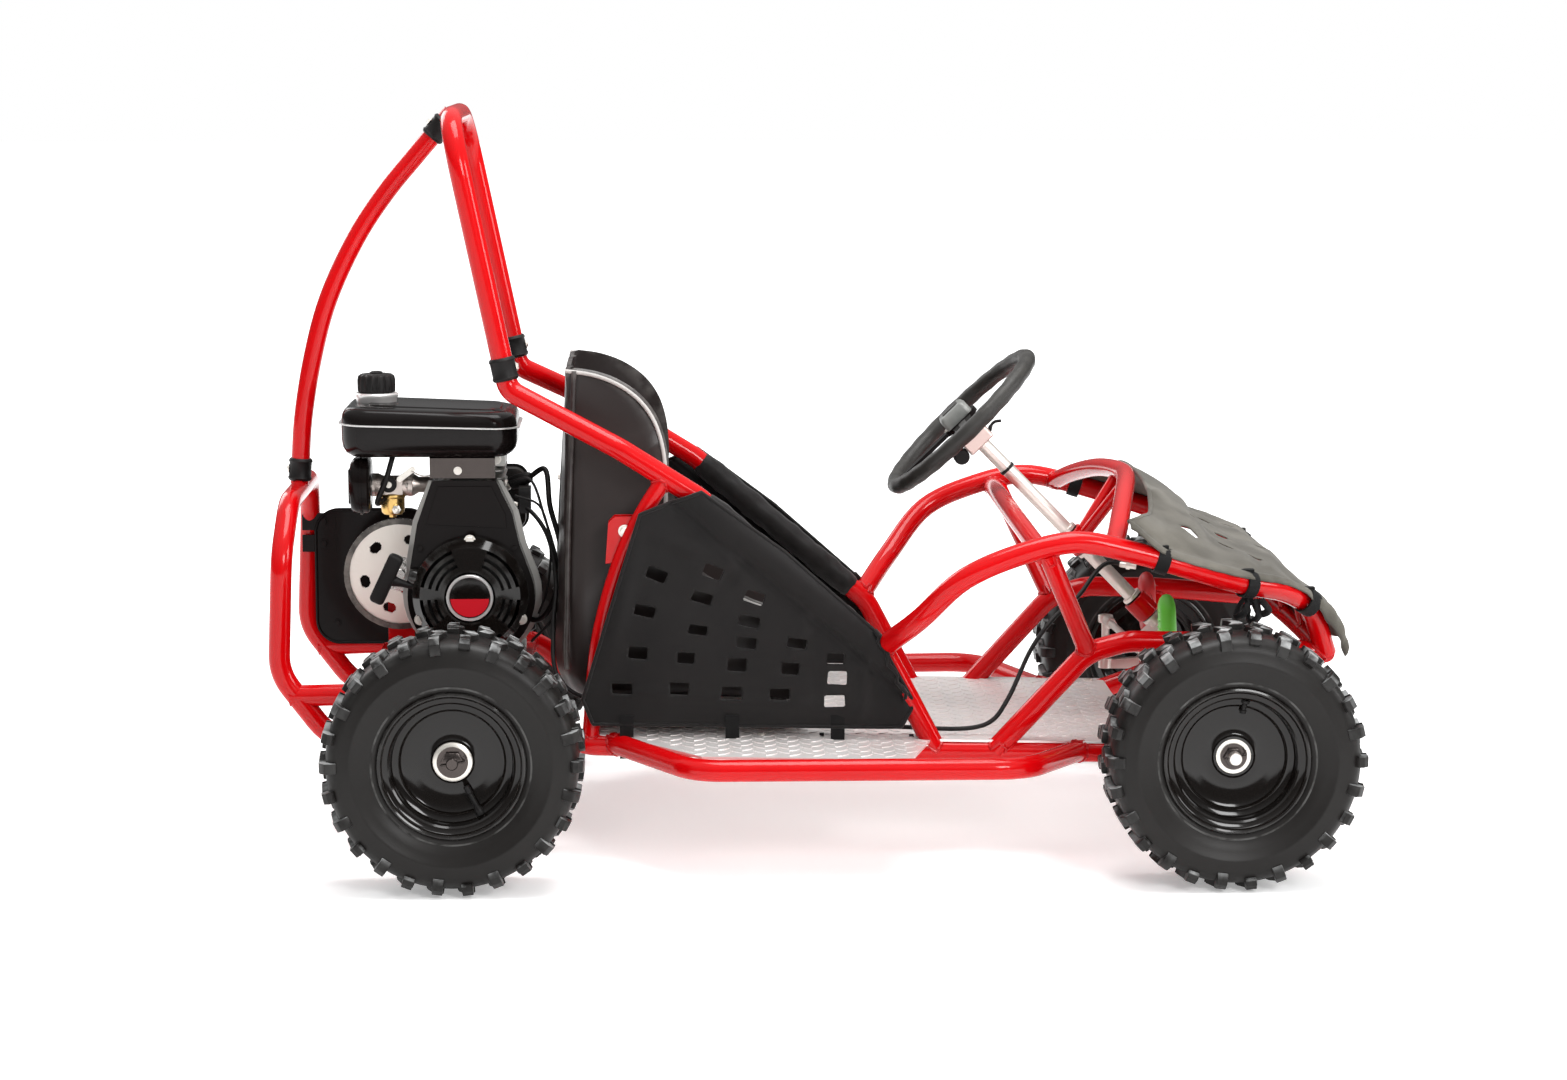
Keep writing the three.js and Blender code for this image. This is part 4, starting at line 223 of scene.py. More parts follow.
class Shape:
    """The points and faces of one piece, gathered from simple forms."""

    def __init__(self):
        self.points = []
        self.faces = []
        self.finish = []

    def add(self, points, faces, finish=0):
        start = len(self.points)
        self.points.extend(tuple(point) for point in points)
        self.faces.extend(tuple(start + i for i in face) for face in faces)
        self.finish.extend([finish] * len(faces))

    def tube(self, route, radius, count=tube_sides, finish=0, closed=False, flat=1):
        """A round bar along a route; radius may be a list, and flat squeezes it across."""
        route = [Vector(point) for point in route]
        last = len(route) - 1
        radii = radius if isinstance(radius, (list, tuple)) else [radius] * len(route)
        points = []
        normal = None
        for i, place in enumerate(route):
            ahead = route[(i + 1) % len(route)] if closed else route[min(i + 1, last)]
            behind = route[i - 1] if closed or i else route[0]
            tangent = (ahead - behind).normalized()
            if normal is None:
                normal = square_to(tangent)
            normal = (normal - tangent * normal.dot(tangent)).normalized()
            across = tangent.cross(normal)
            for k in range(count):
                angle = 2 * pi * k / count
                outward_line = cos(angle) * normal + flat * sin(angle) * across
                points.append(place + radii[i] * outward_line)
        faces = []
        for i in range(len(route) if closed else last):
            faces += ring_faces(i * count, ((i + 1) % len(route)) * count, count)
        if not closed:
            faces.append(tuple(range(count))[::-1])
            faces.append(tuple(last * count + k for k in range(count)))
        self.add(points, faces, finish)

    def turned(self, outline, origin, axis, count=48, finish=0):
        """A turned form about an axis, from [radius, distance] points; it closes on itself."""
        axis = Vector(axis).normalized()
        first = square_to(axis)
        second = axis.cross(first)
        points = []
        rows = []
        for radius, distance in outline:
            middle = Vector(origin) + axis * distance
            if radius <= 1e-6:
                rows.append([len(points)] * count)
                points.append(middle)
                continue
            rows.append(list(range(len(points), len(points) + count)))
            for k in range(count):
                angle = 2 * pi * k / count
                points.append(middle + swung(radius, angle, first, second))
        if outline[0][0] > 1e-6:
            rows.append(rows[0])
        faces = []
        for here, there in zip(rows, rows[1:]):
            for k in range(count):
                on = (k + 1) % count
                corners = [here[k], here[on], there[on], there[k]]
                kept = [c for n, c in enumerate(corners) if c not in corners[:n]]
                if len(kept) > 2:
                    faces.append(tuple(kept))
        self.add(points, faces, finish)

    def rod(self, radius, low, high, origin, axis, count=48, finish=0):
        self.turned([(0, low), (radius, low), (radius, high), (0, high)], origin, axis, count, finish)

    def bush(self, inner, outer, low, high, origin, axis, count=48, finish=0, bevel=0):
        outline = [(inner, low), (outer, low), (outer, high), (inner, high)]
        if bevel:
            outline[1:3] = [(outer - bevel, low), (outer, low + bevel), (outer, high - bevel),
                (outer - bevel, high)]
        self.turned(outline, origin, axis, count, finish)

    def slab(self, outline, origin, across, up, thickness, finish=0):
        """A flat plate from an outline in the plane of across and up, thickened along its normal."""
        across, up = Vector(across), Vector(up)
        normal = across.cross(up).normalized() * thickness
        base = [Vector(origin) + across * u + up * v for u, v in outline]
        count = len(base)
        points = base + [point + normal for point in base]
        faces = [tuple(range(count))[::-1], tuple(range(count, 2 * count))]
        self.add(points, faces + ring_faces(0, count, count), finish)

    def block(self, low, high, finish=0):
        low, high = Vector(low), Vector(high)
        size = high - low
        outline = [(0, 0), (size.x, 0), (size.x, size.y), (0, size.y)]
        self.slab(outline, low, (1, 0, 0), (0, 1, 0), size.z, finish)

    def bolt(self, place, axis, size, finish=0, height=0.7, washer=True):
        """A hexagon head on a washer; size is the radius over its corners."""
        if washer:
            ring = [(0, 0), (size * 1.35, 0), (size * 1.35, size * 0.22), (0, size * 0.22)]
            self.turned(ring, place, axis, 20, finish)
        top = size * height
        head = [(0, 0), (size, 0), (size, top * 0.85), (size * 0.86, top), (0, top)]
        self.turned(head, place, axis, 6, finish)


def outward(mesh, loose=False):
    """Turns every face outward and shades it softly; loose points can be dropped."""
    tidy = bmesh.new()
    tidy.from_mesh(mesh)
    if loose:
        bmesh.ops.delete(tidy, geom=[vert for vert in tidy.verts if not vert.link_faces], context="VERTS")
    bmesh.ops.recalc_face_normals(tidy, faces=tidy.faces)
    tidy.to_mesh(mesh)
    tidy.free()
    mesh.polygons.foreach_set("use_smooth", [True] * len(mesh.polygons))


def modified(made, name, kind, **settings):
    added = made.modifiers.new(name, kind)
    for key, value in settings.items():
        setattr(added, key, value)
    return added


def piece(name, shape, body, finishes, replaced=(), angle=38, bevel=0, segments=2):
    """Makes an object of a shape, with soft shading up to an angle and its edges rounded."""
    made = new_object(name, shape.points, shape.faces, finishes)
    made.data.polygons.foreach_set("material_index", shape.finish)
    outward(made.data)
    made.data.set_sharp_from_angle(angle=radians(angle))
    if bevel:
        modified(made, "rounding", "BEVEL", width=bevel, segments=segments, limit_method="ANGLE",
            angle_limit=radians(40), harden_normals=True)
    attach(made, body)
    if replaced:
        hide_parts(*replaced)
    return made


def group_ends(tree, inputs):
    """A group's named sockets: a colour from four numbers, or a number with its lowest and highest."""
    for name, value in inputs.items():
        kind = "NodeSocketColor" if len(value) == 4 else "NodeSocketFloat"
        made = tree.interface.new_socket(name=name, in_out="INPUT", socket_type=kind)
        if len(value) == 4:
            made.default_value = value
        else:
            made.default_value, made.min_value, made.max_value = value
    for name in ("Color", "Roughness", "Height"):
        kind = "NodeSocketColor" if name == "Color" else "NodeSocketFloat"
        tree.interface.new_socket(name=name, in_out="OUTPUT", socket_type=kind)
    return tree.nodes.new("NodeGroupInput").outputs, tree.nodes.new("NodeGroupOutput")


def sums(tree, operation, *values):
    """A maths node; a product or a difference stays between 0 and 1."""
    clamped = operation in ("MULTIPLY", "SUBTRACT")
    inputs = dict(enumerate(values))
    return node(tree, "ShaderNodeMath", inputs, operation=operation, use_clamp=clamped).outputs[0]


def spread(tree, value, low, high):
    limits = {"Value": value, "From Min": low, "From Max": high}
    return node(tree, "ShaderNodeMapRange", limits).outputs["Result"]


def noise(tree, scale, detail=2):
    place = node(tree, "ShaderNodeTexCoord").outputs["Object"]
    inputs = {"Vector": place, "Scale": scale, "Detail": detail}
    return node(tree, "ShaderNodeTexNoise", inputs).outputs["Fac"]


def blend_colour(tree, amount, first, second):
    return node(tree, "ShaderNodeMix", {0: amount, 6: first, 7: second}, data_type="RGBA").outputs[2]


def worn_and_highlit_surface_group():
    """Tone, fine grain, dust on upward faces and rubbed edges, for every hard surface; on the tyres the
    upward and edge masks also paint a pale highlight.
    """
    tree = bpy.data.node_groups.new("worn_surface", "ShaderNodeTree")
    given, result = group_ends(tree, {"Color": (0.5, 0.5, 0.5, 1), "Dust Color": (0.4, 0.37, 0.32, 1),
        "Edge Color": (0.5, 0.5, 0.5, 1), "Roughness": (0.4, 0, 1), "Tone": (0.1, 0, 1), "Dust": (0.1, 0, 1),
        "Edge": (0.1, 0, 1), "Grain Scale": (400, 0, 5000)})
    shape = node(tree, "ShaderNodeNewGeometry").outputs
    patchy = noise(tree, 45, 5)
    darker = node(tree, "ShaderNodeHueSaturation", {"Value": 0.55, "Color": given["Color"]}).outputs["Color"]
    tone_mask = sums(tree, "MULTIPLY", spread(tree, noise(tree, 9, 3), 0.35, 0.7), given["Tone"])
    toned = blend_colour(tree, tone_mask, given["Color"], darker)
    normal = node(tree, "ShaderNodeSeparateXYZ", {0: shape["Normal"]})
    upward = spread(tree, normal.outputs["Z"], 0.2, 1)
    # Upward faces in patches: settled dust, and on the tyre knobs a painted highlight of the light from
    # above.
    upward_patches = sums(tree, "MULTIPLY", upward, spread(tree, patchy, 0.42, 0.68))
    dust_and_highlight_mask = sums(tree, "MULTIPLY", upward_patches, given["Dust"])
    dusted_and_highlit = blend_colour(tree, dust_and_highlight_mask, toned, given["Dust Color"])
    # Sharp corners: rubbed edges, and on the tyres partly a painted highlight.
    corner = spread(tree, shape["Pointiness"], 0.53, 0.6)
    rubbed_and_highlit = sums(tree, "MULTIPLY", corner, spread(tree, patchy, 0.4, 0.6))
    edge_wear_and_highlight_mask = sums(tree, "MULTIPLY", rubbed_and_highlit, given["Edge"])
    rough = sums(tree, "MULTIPLY_ADD", patchy, 0.04, given["Roughness"])
    rough = sums(tree, "MULTIPLY_ADD", dust_and_highlight_mask, 0.4, rough)
    node(tree, result.name, {"Color": blend_colour(tree, edge_wear_and_highlight_mask, dusted_and_highlit, given["Edge Color"]),
        "Roughness": sums(tree, "SUBTRACT", rough, 0.02), "Height": noise(tree, given["Grain Scale"])})
    return tree


def material(name, group, given, bump, depth, plain):
    """A shader fed by an effect group; what is the same all over is set on the shader itself."""
    made = bpy.data.materials.new(name)
    made.use_nodes = True
    tree = made.node_tree
    effect = node(tree, "ShaderNodeGroup", given, node_tree=group).outputs
    relief = node(tree, "ShaderNodeBump", {"Strength": bump, "Distance": depth, "Height": effect["Height"]})
    node(tree, "Principled BSDF", {"Base Color": effect["Color"], "Roughness": effect["Roughness"],
        "Normal": relief.outputs["Normal"], **plain})
    return made


worn_surface = worn_and_highlit_surface_group()


def finish(name, color, roughness, metallic=0, coat=0, tone=0.15, dust_and_highlight=0.05, edge=0,
        edge_wear_and_highlight_color=(0.5, 0.5, 0.5), dust_and_highlight_color=(0.42, 0.39, 0.34), grain=500, bump=0.05, depth=0.0004,
        specular=0.5):
    """One finish: the worn and highlit surface group feeding a shader of its own; on the tyres its dust and
    edge settings paint a pale highlight.
    """
    given = {"Color": (*color, 1), "Dust Color": (*dust_and_highlight_color, 1), "Edge Color": (*edge_wear_and_highlight_color, 1),
        "Roughness": roughness, "Tone": tone, "Dust": dust_and_highlight, "Edge": edge, "Grain Scale": grain}
    plain = {"Metallic": metallic, "Coat Weight": coat, "Coat Roughness": 0.06,
        "Specular IOR Level": specular}
    return material(name, worn_surface, given, bump, depth, plain)


red_coat = finish("red_powder_coat", (0.52, 0.0008, 0.0022), 0.2, coat=0.3, tone=0.2, dust_and_highlight=0, edge=0.2,
    edge_wear_and_highlight_color=(0.5, 0.01, 0.01), grain=900, bump=0.05, specular=0.12)
weld_red = finish("red_weld", (0.46, 0.001, 0.003), 0.3, coat=0.2, tone=0.3, grain=700, bump=0.25,
    specular=0.25)

rear_hoop_shares = [(-0.0464, 0.874, 0.154), (-0.1732, 0.874, 0.154), (-0.2433, 0.874, 0.2489),
    (-0.2371, 0.874, 0.41), (-0.232, 0.62, 0.475)]
floor_rail_shares = [(-0.2289, 0.874, 0.2173), (0.0866, 0.915, 0.2236), (0.1505, 1, 0.153),
    (0.6598, 1, 0.1414), (0.9072, 1, 0.1382), (1, 1, 0.173)]
side_bar_shares = [(0.2021, 1, 0.1551), (0.3093, 1.695, 0.1487), (0.7381, 1.731, 0.1508), (0.8247, 1, 0.1403)]
seat_rail_shares = [(0.2134, 0.969, 0.557), (0.3144, 1, 0.4926), (0.5639, 1, 0.2764), (0.633, 1, 0.1414)]
arch_shares = [(0.5567, 1, 0.2827), (0.6031, 1.345, 0.3354), (0.6598, 1.547, 0.3987), (0.734, 1.57, 0.4325),
    (0.8041, 1.57, 0.4473), (0.8763, 1.57, 0.4335), (1.0155, 1.502, 0.3903), (1.0887, 1.309, 0.3692),
    (1.1258, 1.157, 0.3397), (1.1505, 1.067, 0.2764)]
lower_tube_shares = [(0.7113, 1.009, 0.1414), (0.834, 1.036, 0.2785), (0.8866, 1.045, 0.2932),
    (0.9897, 1.049, 0.2911), (1.1505, 1.067, 0.2764)]
strut_shares = [(0.7649, 1.565, 0.4346), (0.834, 1.036, 0.2785)]
crossbar_shares = [(0.7598, 1.556, 0.4304), (0.7443, 0.673, 0.4515), (0.7381, 0, 0.4599)]
hood_hoop_shares = [(0.8515, 1.561, 0.4367), (0.868, 1.211, 0.459), (0.8897, 0.673, 0.4832),
    (0.9041, 0.269, 0.4921), (0.9093, 0, 0.4937)]
roll_hoop_shares = [(0.059, 0.753, 0.6614), (-0.0103, 0.753, 1)]
brace_shares = [(-0.2299, 0, 0.5042), (-0.2247, 0, 0.5759), (-0.2093, 0, 0.6656), (-0.1876, 0, 0.7437),
    (-0.1464, 0, 0.8323), (-0.1062, 0, 0.8935), (-0.066, 0, 0.943), (-0.034, 0, 0.981)]
bumper_upper_shares = [(1.1278, 1.148, 0.3354), (1.1402, 0, 0.3354)]
bumper_lower_shares = [(1.1505, 1.067, 0.2764), (1.1537, 0, 0.2764)]
post_shares = [(0.2701, 1, 0.5148), (0.2433, 0.996, 0.4705), (0.2144, 0.987, 0.4072),
    (0.1845, 0.987, 0.2975), (0.1711, 0.996, 0.1582)]
stub_length = 0.028
post_radius = 0.011
cradle_rear_x = along_x(-0.1134)
cradle_front_x = along_x(0.0742)
cradle_z = 0.2215 * hoop_height
hanger_across = 0.874 * half_frame
seat_cross = side_point(0.1744, 0.1862)
beam_reach = 1.2 * half_frame
routes = {}
for side_name, side in sides.items():
    leg_end = at(roll_hoop_shares[0], side)
    leg_down = (leg_end - at(roll_hoop_shares[1], side)).normalized()
    seat_corners = [leg_end, leg_end + leg_down * stub_length]
    seat_corners += placed(seat_rail_shares, side)
    routes["floor_rail_" + side_name] = bent(placed(floor_rail_shares, side))
    routes["side_bar_" + side_name] = bent(placed(side_bar_shares, side))
    routes["seat_rail_" + side_name] = bent(seat_corners)
    routes["arch_tube_" + side_name] = smooth(placed(arch_shares, side))
    routes["lower_tube_" + side_name] = bent(placed(lower_tube_shares, side))
    routes["strut_" + side_name] = placed(strut_shares, side)
    routes["post_" + side_name] = smooth(placed(post_shares, side))
    routes["upright_" + side_name] = [xyz(front_axle.x, side * half_frame, axle_height),
        at(lower_tube_shares[3], side)]
    routes["bumper_upright_" + side_name] = [at((bumper_upper_shares[1][0], 0.33, bumper_upper_shares[1][2]),
        side), at((bumper_lower_shares[1][0], 0.33, bumper_lower_shares[1][2]), side)]
routes["rear_hoop"] = bent(mirrored(rear_hoop_shares))
routes["roll_hoop"] = bent(mirrored(roll_hoop_shares), bend=0.08, steps=12)
routes["roll_brace"] = smooth(placed(brace_shares))
routes["crossbar"] = smooth(mirrored(crossbar_shares))
routes["hood_hoop"] = smooth(mirrored(hood_hoop_shares))
routes["bumper_upper"] = smooth(mirrored(bumper_upper_shares))
routes["bumper_lower"] = smooth(mirrored(bumper_lower_shares))
for name, x in (("cradle_rear", cradle_rear_x), ("cradle_front", cradle_front_x)):
    routes[name] = [xyz(x, end * hanger_across, cradle_z) for end in (-1, 1)]
routes["seat_cross"] = [seat_cross + xyz(0, end * half_frame, 0) for end in (-1, 1)]
routes["front_beam"] = [xyz(front_axle.x, end * beam_reach, axle_height) for end in (-1, 1)]
slim_tubes = ("bumper_upright_right", "bumper_upright_left")
cross_tubes = ("strut_right", "strut_left", "upright_right", "upright_left", "roll_brace", "crossbar",
    "hood_hoop", "bumper_upper", "bumper_lower", "cradle_rear", "cradle_front")
post_tubes = ("post_right", "post_left", "seat_cross")


def radius_of(name):
    if name in slim_tubes:
        return slim_radius
    if name in cross_tubes:
        return cross_radius
    return post_radius if name in post_tubes else tube_radius


def weld(shape, name, end, onto, finish=1):
    """A rippled bead where the tube's end lands on the other tube's round wall."""
    route = routes[name]
    tip = route[end]
    inward = (route[1] - route[0] if end == 0 else route[-2] - route[-1]).normalized()
    other = routes[onto]
    nearest = min(range(len(other) - 1), key=lambda i: ((other[i] + other[i + 1]) / 2 - tip).length)
    origin = other[nearest]
    axis = (other[nearest + 1] - origin).normalized()
    wall = radius_of(onto)
    radius = radius_of(name)
    first = square_to(inward)
    second = inward.cross(first)
    bead = []
    sizes = []
    count = 40
    for k in range(count):
        angle = 2 * pi * k / count
        start = tip + swung(radius, angle, first, second)
        offset = start - origin
        flat_ray = inward - axis * inward.dot(axis)
        flat_start = offset - axis * offset.dot(axis)
        a = flat_ray.dot(flat_ray)
        b = 2 * flat_ray.dot(flat_start)
        c = flat_start.dot(flat_start) - wall * wall
        inside = b * b - 4 * a * c
        reach = (-b + sqrt(inside)) / (2 * a) if inside > 0 and a > 1e-4 else wall
        bead.append(start + inward * min(max(reach, 0), 2.6 * wall))
        sizes.append(0.0021 + 0.0005 * sin(5 * angle * 3))
    shape.tube(bead, sizes, 8, finish, closed=True)


frame_pieces = {"rear_hoop": (["rear_hoop"], [("cradle_rear", 0, "floor_rail_right")]),
    "steering_crossbar": (["crossbar"], [("crossbar", 0, "arch_tube_right"),
    ("crossbar", -1, "arch_tube_left")]),
    "front_bumper": (["bumper_upper", "bumper_lower", "bumper_upright_right", "bumper_upright_left"],
    [("bumper_upper", 0, "arch_tube_right"), ("bumper_upper", -1, "arch_tube_left"),
    ("bumper_upright_right", 0, "bumper_upper"), ("bumper_upright_left", 0, "bumper_upper"),
    ("bumper_upright_right", -1, "bumper_lower"), ("bumper_upright_left", -1, "bumper_lower")])}
for side_name in sides:
    rail, seat = "floor_rail_" + side_name, "seat_rail_" + side_name
    arch, lower, strut = ("arch_tube_" + side_name, "lower_tube_" + side_name, "strut_" + side_name)
    side_bar = "side_bar_" + side_name
    frame_pieces[rail] = ([rail], [])
    frame_pieces[seat] = ([seat], [(seat, -1, rail)])
    frame_pieces[side_bar] = ([side_bar], [(side_bar, 0, rail), (side_bar, -1, rail)])
    frame_pieces[arch] = ([arch], [(arch, 0, seat)])
    frame_pieces[lower] = ([lower, strut], [(lower, 0, rail), (strut, 0, arch), (strut, -1, lower),
        (lower, -1, arch)])
for solid, (tube_names, weld_rows) in frame_pieces.items():
    shape = Shape()
    for tube_name in tube_names:
        shape.tube(routes[tube_name], radius_of(tube_name))
    for row in weld_rows:
        weld(shape, *row)
    if solid == "rear_hoop":
        foot = routes["roll_brace"][0]
        foot_up = (routes["roll_brace"][1] - foot).normalized()
        shape.tube([foot - foot_up * stub_length, foot], cross_radius)
    piece(solid + "_tube", shape, "chassis", [red_coat, weld_red], [solid])

# Roll hoop and brace: the hoop drops over two stubs and the brace joins it to the rear hoop,
# each joint covered by a black sleeve with its bolt.
black_rubber = finish("black_rubber", (0.0055, 0.0045, 0.0045), 0.5, tone=0.3, dust_and_highlight=0.03, edge=0.2,
    edge_wear_and_highlight_color=(0.06, 0.06, 0.06), grain=650, bump=0.25, specular=0.2)
zinc_plate = finish("zinc_plate", (0.78, 0.74, 0.68), 0.34, metallic=0.8, tone=0.2, dust_and_highlight=0, edge=0.2,
    edge_wear_and_highlight_color=(0.8, 0.78, 0.74), grain=300, bump=0.06)
sleeve_length = 0.03
sleeve_radius = tube_radius + 0.0024


def joint_sleeve(name, middle, direction, radius):
    shape = Shape()
    half = sleeve_length / 2
    lip = 0.0012
    outline = [(radius - 0.0036, -half), (radius - lip, -half), (radius, -half + lip),
        (radius + lip, -half + 3 * lip), (radius, -half + 5 * lip), (radius, half - 5 * lip),
        (radius + lip, half - 3 * lip), (radius, half - lip), (radius - lip, half), (radius - 0.0036, half)]
    shape.turned(outline, middle, direction, 40)
    out = Vector(direction).cross(xyz(0, 1, 0)).normalized()
    shape.bolt(Vector(middle) + out * radius, out, 0.0044, 1)
    piece(name, shape, "chassis", [black_rubber, zinc_plate])


hoop_shape = Shape()
hoop_shape.tube(routes["roll_hoop"], tube_radius)
head = routes["roll_brace"][-1]
head_on = (head - routes["roll_brace"][-2]).normalized()
hoop_shape.tube([head, head + head_on * stub_length], cross_radius)
piece("roll_hoop_tube", hoop_shape, "chassis", [red_coat], ["roll_hoop"])
brace_shape = Shape()
brace_shape.tube(routes["roll_brace"], cross_radius)
piece("roll_brace_tube", brace_shape, "chassis", [red_coat], ["roll_brace"])
for side_name, side in sides.items():
    leg_end = at(roll_hoop_shares[0], side)
    leg_down = leg_end - at(roll_hoop_shares[1], side)
    joint_sleeve("hoop_sleeve_" + side_name, leg_end, leg_down, sleeve_radius)
brace_foot = routes["roll_brace"][0]
joint_sleeve("brace_sleeve_low", brace_foot, routes["roll_brace"][1] - brace_foot, cross_radius + 0.0024)
joint_sleeve("brace_sleeve_high", head, head_on, cross_radius + 0.0024)

# Wheels: four knobbly tyres with square lugs over the shoulder, on deep gloss black steel rims
# with a rolled lip, a small bent valve and, at the front, a silver flange on the bearing sleeve.
tyre_radius = axle_height - 0.0002
half_track = abs(front_axle.y)
pitch_count = 26
# Painted highlight: the knobs' upward faces go pale grey, and the tyres' edges go paler, partly as rubbed
# rubber.
tyre_rubber = finish("tyre_rubber", (0.0105, 0.0092, 0.0085), 0.4, tone=0.4, dust_and_highlight=0, edge=0.35,
    edge_wear_and_highlight_color=(0.16, 0.16, 0.155), grain=520, bump=0.2, specular=0.2)
knob_rubber = finish("tyre_knobs", (0.0095, 0.0085, 0.008), 0.38, tone=0.4, dust_and_highlight=1, edge=0.15,
    edge_wear_and_highlight_color=(0.2, 0.2, 0.195), grain=520, bump=0.2, dust_and_highlight_color=(0.44, 0.45, 0.45), specular=0.2)
rim_black = finish("rim_gloss_black", (0.0055, 0.0042, 0.0036), 0.12, coat=0.2, tone=0.2, dust_and_highlight=0, edge=0.25,
    edge_wear_and_highlight_color=(0.12, 0.12, 0.115), grain=900, bump=0.02, specular=0.22)
casing_half = [(0.093, 0.0492), (0.0955, 0.052), (0.0978, 0.0533), (0.0996, 0.0527), (0.101, 0.0538),
    (0.112, 0.0583), (0.122, 0.0607), (0.1236, 0.0617), (0.1256, 0.0619), (0.1272, 0.0611), (0.138, 0.0598),
    (0.1468, 0.0572), (0.1535, 0.05), (0.1562, 0.03)]
lug_long = [(0.148, 0.044), (0.163, 0.0445), (0.1612, 0.0565), (0.1545, 0.0632), (0.144, 0.0626),
    (0.14, 0.0598)]
lug_short = [(0.148, 0.043), (0.1634, 0.0435), (0.162, 0.057), (0.156, 0.0622), (0.15, 0.0618),
    (0.147, 0.058)]
middle_knob = [(0.1515, 0.002), (tyre_radius, 0.0028), (tyre_radius, 0.0202), (0.1515, 0.0212)]
outer_knob = [(0.15, 0.0232), (0.1634, 0.024), (0.163, 0.04), (0.149, 0.041)]


def knob(shape, centre, side, angle, half_angle, section, skew=0):
    """One rubber block round part of the tyre, from its outline across; its top is narrower."""
    low = min(radius for radius, across in section)
    high = max(radius for radius, across in section)
    points = []
    for end in (-1, 1):
        for radius, across in section:
            taper = 1 - 0.16 * (radius - low) / (high - low)
            turn = angle + end * half_angle * taper + skew * across
            spot = xyz(radius * cos(turn), side * across, radius * sin(turn))
            points.append(centre + spot)
    count = len(section)
    faces = [tuple(range(count)), tuple(range(count, 2 * count))[::-1]]
    for k in range(count):
        on = (k + 1) % count
        faces.append((k, count + k, count + on, on))
    shape.add(points, faces, 1)


def tyre(name, centre, body, replaced):
    shape = Shape()
    outline = casing_half + [(0.1568, 0)] + [(r, -y) for r, y in casing_half[::-1]]
    outline += [(0.08, -0.0445), (0.079, -0.04), (0.079, 0.04), (0.08, 0.0445)]
    shape.turned(outline, centre, (0, 1, 0), 96)
    pitch = 2 * pi / pitch_count
    for k in range(pitch_count):
        for side in (-1, 1):
            shift = 0.0 if side < 0 else 0.5
            lug = lug_long if k % 2 else lug_short
            knob(shape, centre, side, (k + shift) * pitch, pitch * 0.2, lug)
            knob(shape, centre, side, (k + shift + 0.5) * pitch, pitch * 0.21, outer_knob, 3.2)
            knob(shape, centre, side, (k + shift) * pitch, pitch * 0.22, middle_knob, -2.4)
    piece(name, shape, body, [tyre_rubber, knob_rubber], [replaced], bevel=0.0013)


rim_outline = [(0.0922, 0.0495), (0.0912, 0.0515), (0.0892, 0.0522), (0.0872, 0.0512), (0.0858, 0.048),
    (0.0838, 0.0463), (0.079, 0.0452), (0.0768, 0.043), (0.076, 0.033), (0.0742, 0.0275), (0.07, 0.0252),
    (0.0668, 0.0248), (0.0645, 0.0225), (0.0636, 0.02), (0.06, 0.0184), (0.054, 0.0178), (0.047, 0.016),
    (0.038, 0.0152), (0.029, 0.0152), (0.0262, 0.0166), (0.025, 0.0184), (0.0215, 0.0184), (0.0215, 0.0124),
    (0.058, 0.012), (0.0606, 0.01), (0.0606, -0.023), (0.072, -0.029), (0.074, -0.043), (0.085, -0.046),
    (0.0885, -0.049), (0.0905, -0.0505), (0.0922, -0.0495), (0.0915, -0.047), (0.077, -0.045),
    (0.0768, -0.03), (0.064, -0.025), (0.064, 0.014), (0.077, 0.026), (0.0782, 0.043), (0.09, 0.047)]


def rim(name, centre, side, body, replaced, sleeve):
    """A pressed rim; the front one has a bearing sleeve, and each has its bent valve."""
    shape = Shape()
    out = xyz(0, side, 0)
    shape.turned(rim_outline, centre, out, 96)
    valve_angle, valve_foot, valve_tip = radians(-62), 0.0745, 0.034
    if sleeve:
        valve_angle, valve_foot, valve_tip = radians(80), 0.0745, 0.056
        bush = [(0.0092, -0.024), (0.02, -0.024), (0.02, 0.015), (0.0092, 0.015)]
        shape.turned(bush, centre, out, 40)
        cone = [(0.02, 0.004), (0.034, 0.0125), (0.02, 0.0125)]
        shape.turned(cone, centre, out, 40)
        flange = [(0.0092, 0.015), (0.0226, 0.015), (0.0226, 0.0176), (0.0216, 0.0186), (0.0092, 0.0186)]
        shape.turned(flange, centre, out, 56, 2)
    inward = xyz(-cos(valve_angle), 0, -sin(valve_angle))
    foot = centre - inward * valve_foot + out * 0.0255
    tip = centre - inward * valve_tip + out * 0.0215
    stem = [foot.lerp(tip, share) for share in (0, 0.06, 0.22, 0.3, 0.72, 0.75, 0.97, 1)]
    shape.tube(stem, [0.0052, 0.0058, 0.0054, 0.0036, 0.0032, 0.0042, 0.004, 0.003], 20, 1)
    piece(name, shape, body, [rim_black, black_rubber, zinc_plate], [replaced], 30)


for side_name, side in sides.items():
    rear_centre = xyz(rear_axle.x, side * half_track, axle_height)
    front_centre = xyz(front_axle.x, side * half_track, axle_height)
    tyre("rear_tyre_treaded_" + side_name, rear_centre, "rear_axle", "rear_tyre_" + side_name)
    front_body = "front_wheel_" + side_name
    tyre("front_tyre_treaded_" + side_name, front_centre, front_body, "front_tyre_" + side_name)
    rim("rear_rim_deep_" + side_name, rear_centre, side, "rear_axle", "rear_rim_" + side_name, False)
    rim("front_rim_deep_" + side_name, front_centre, side, front_body, "front_rim_" + side_name, True)

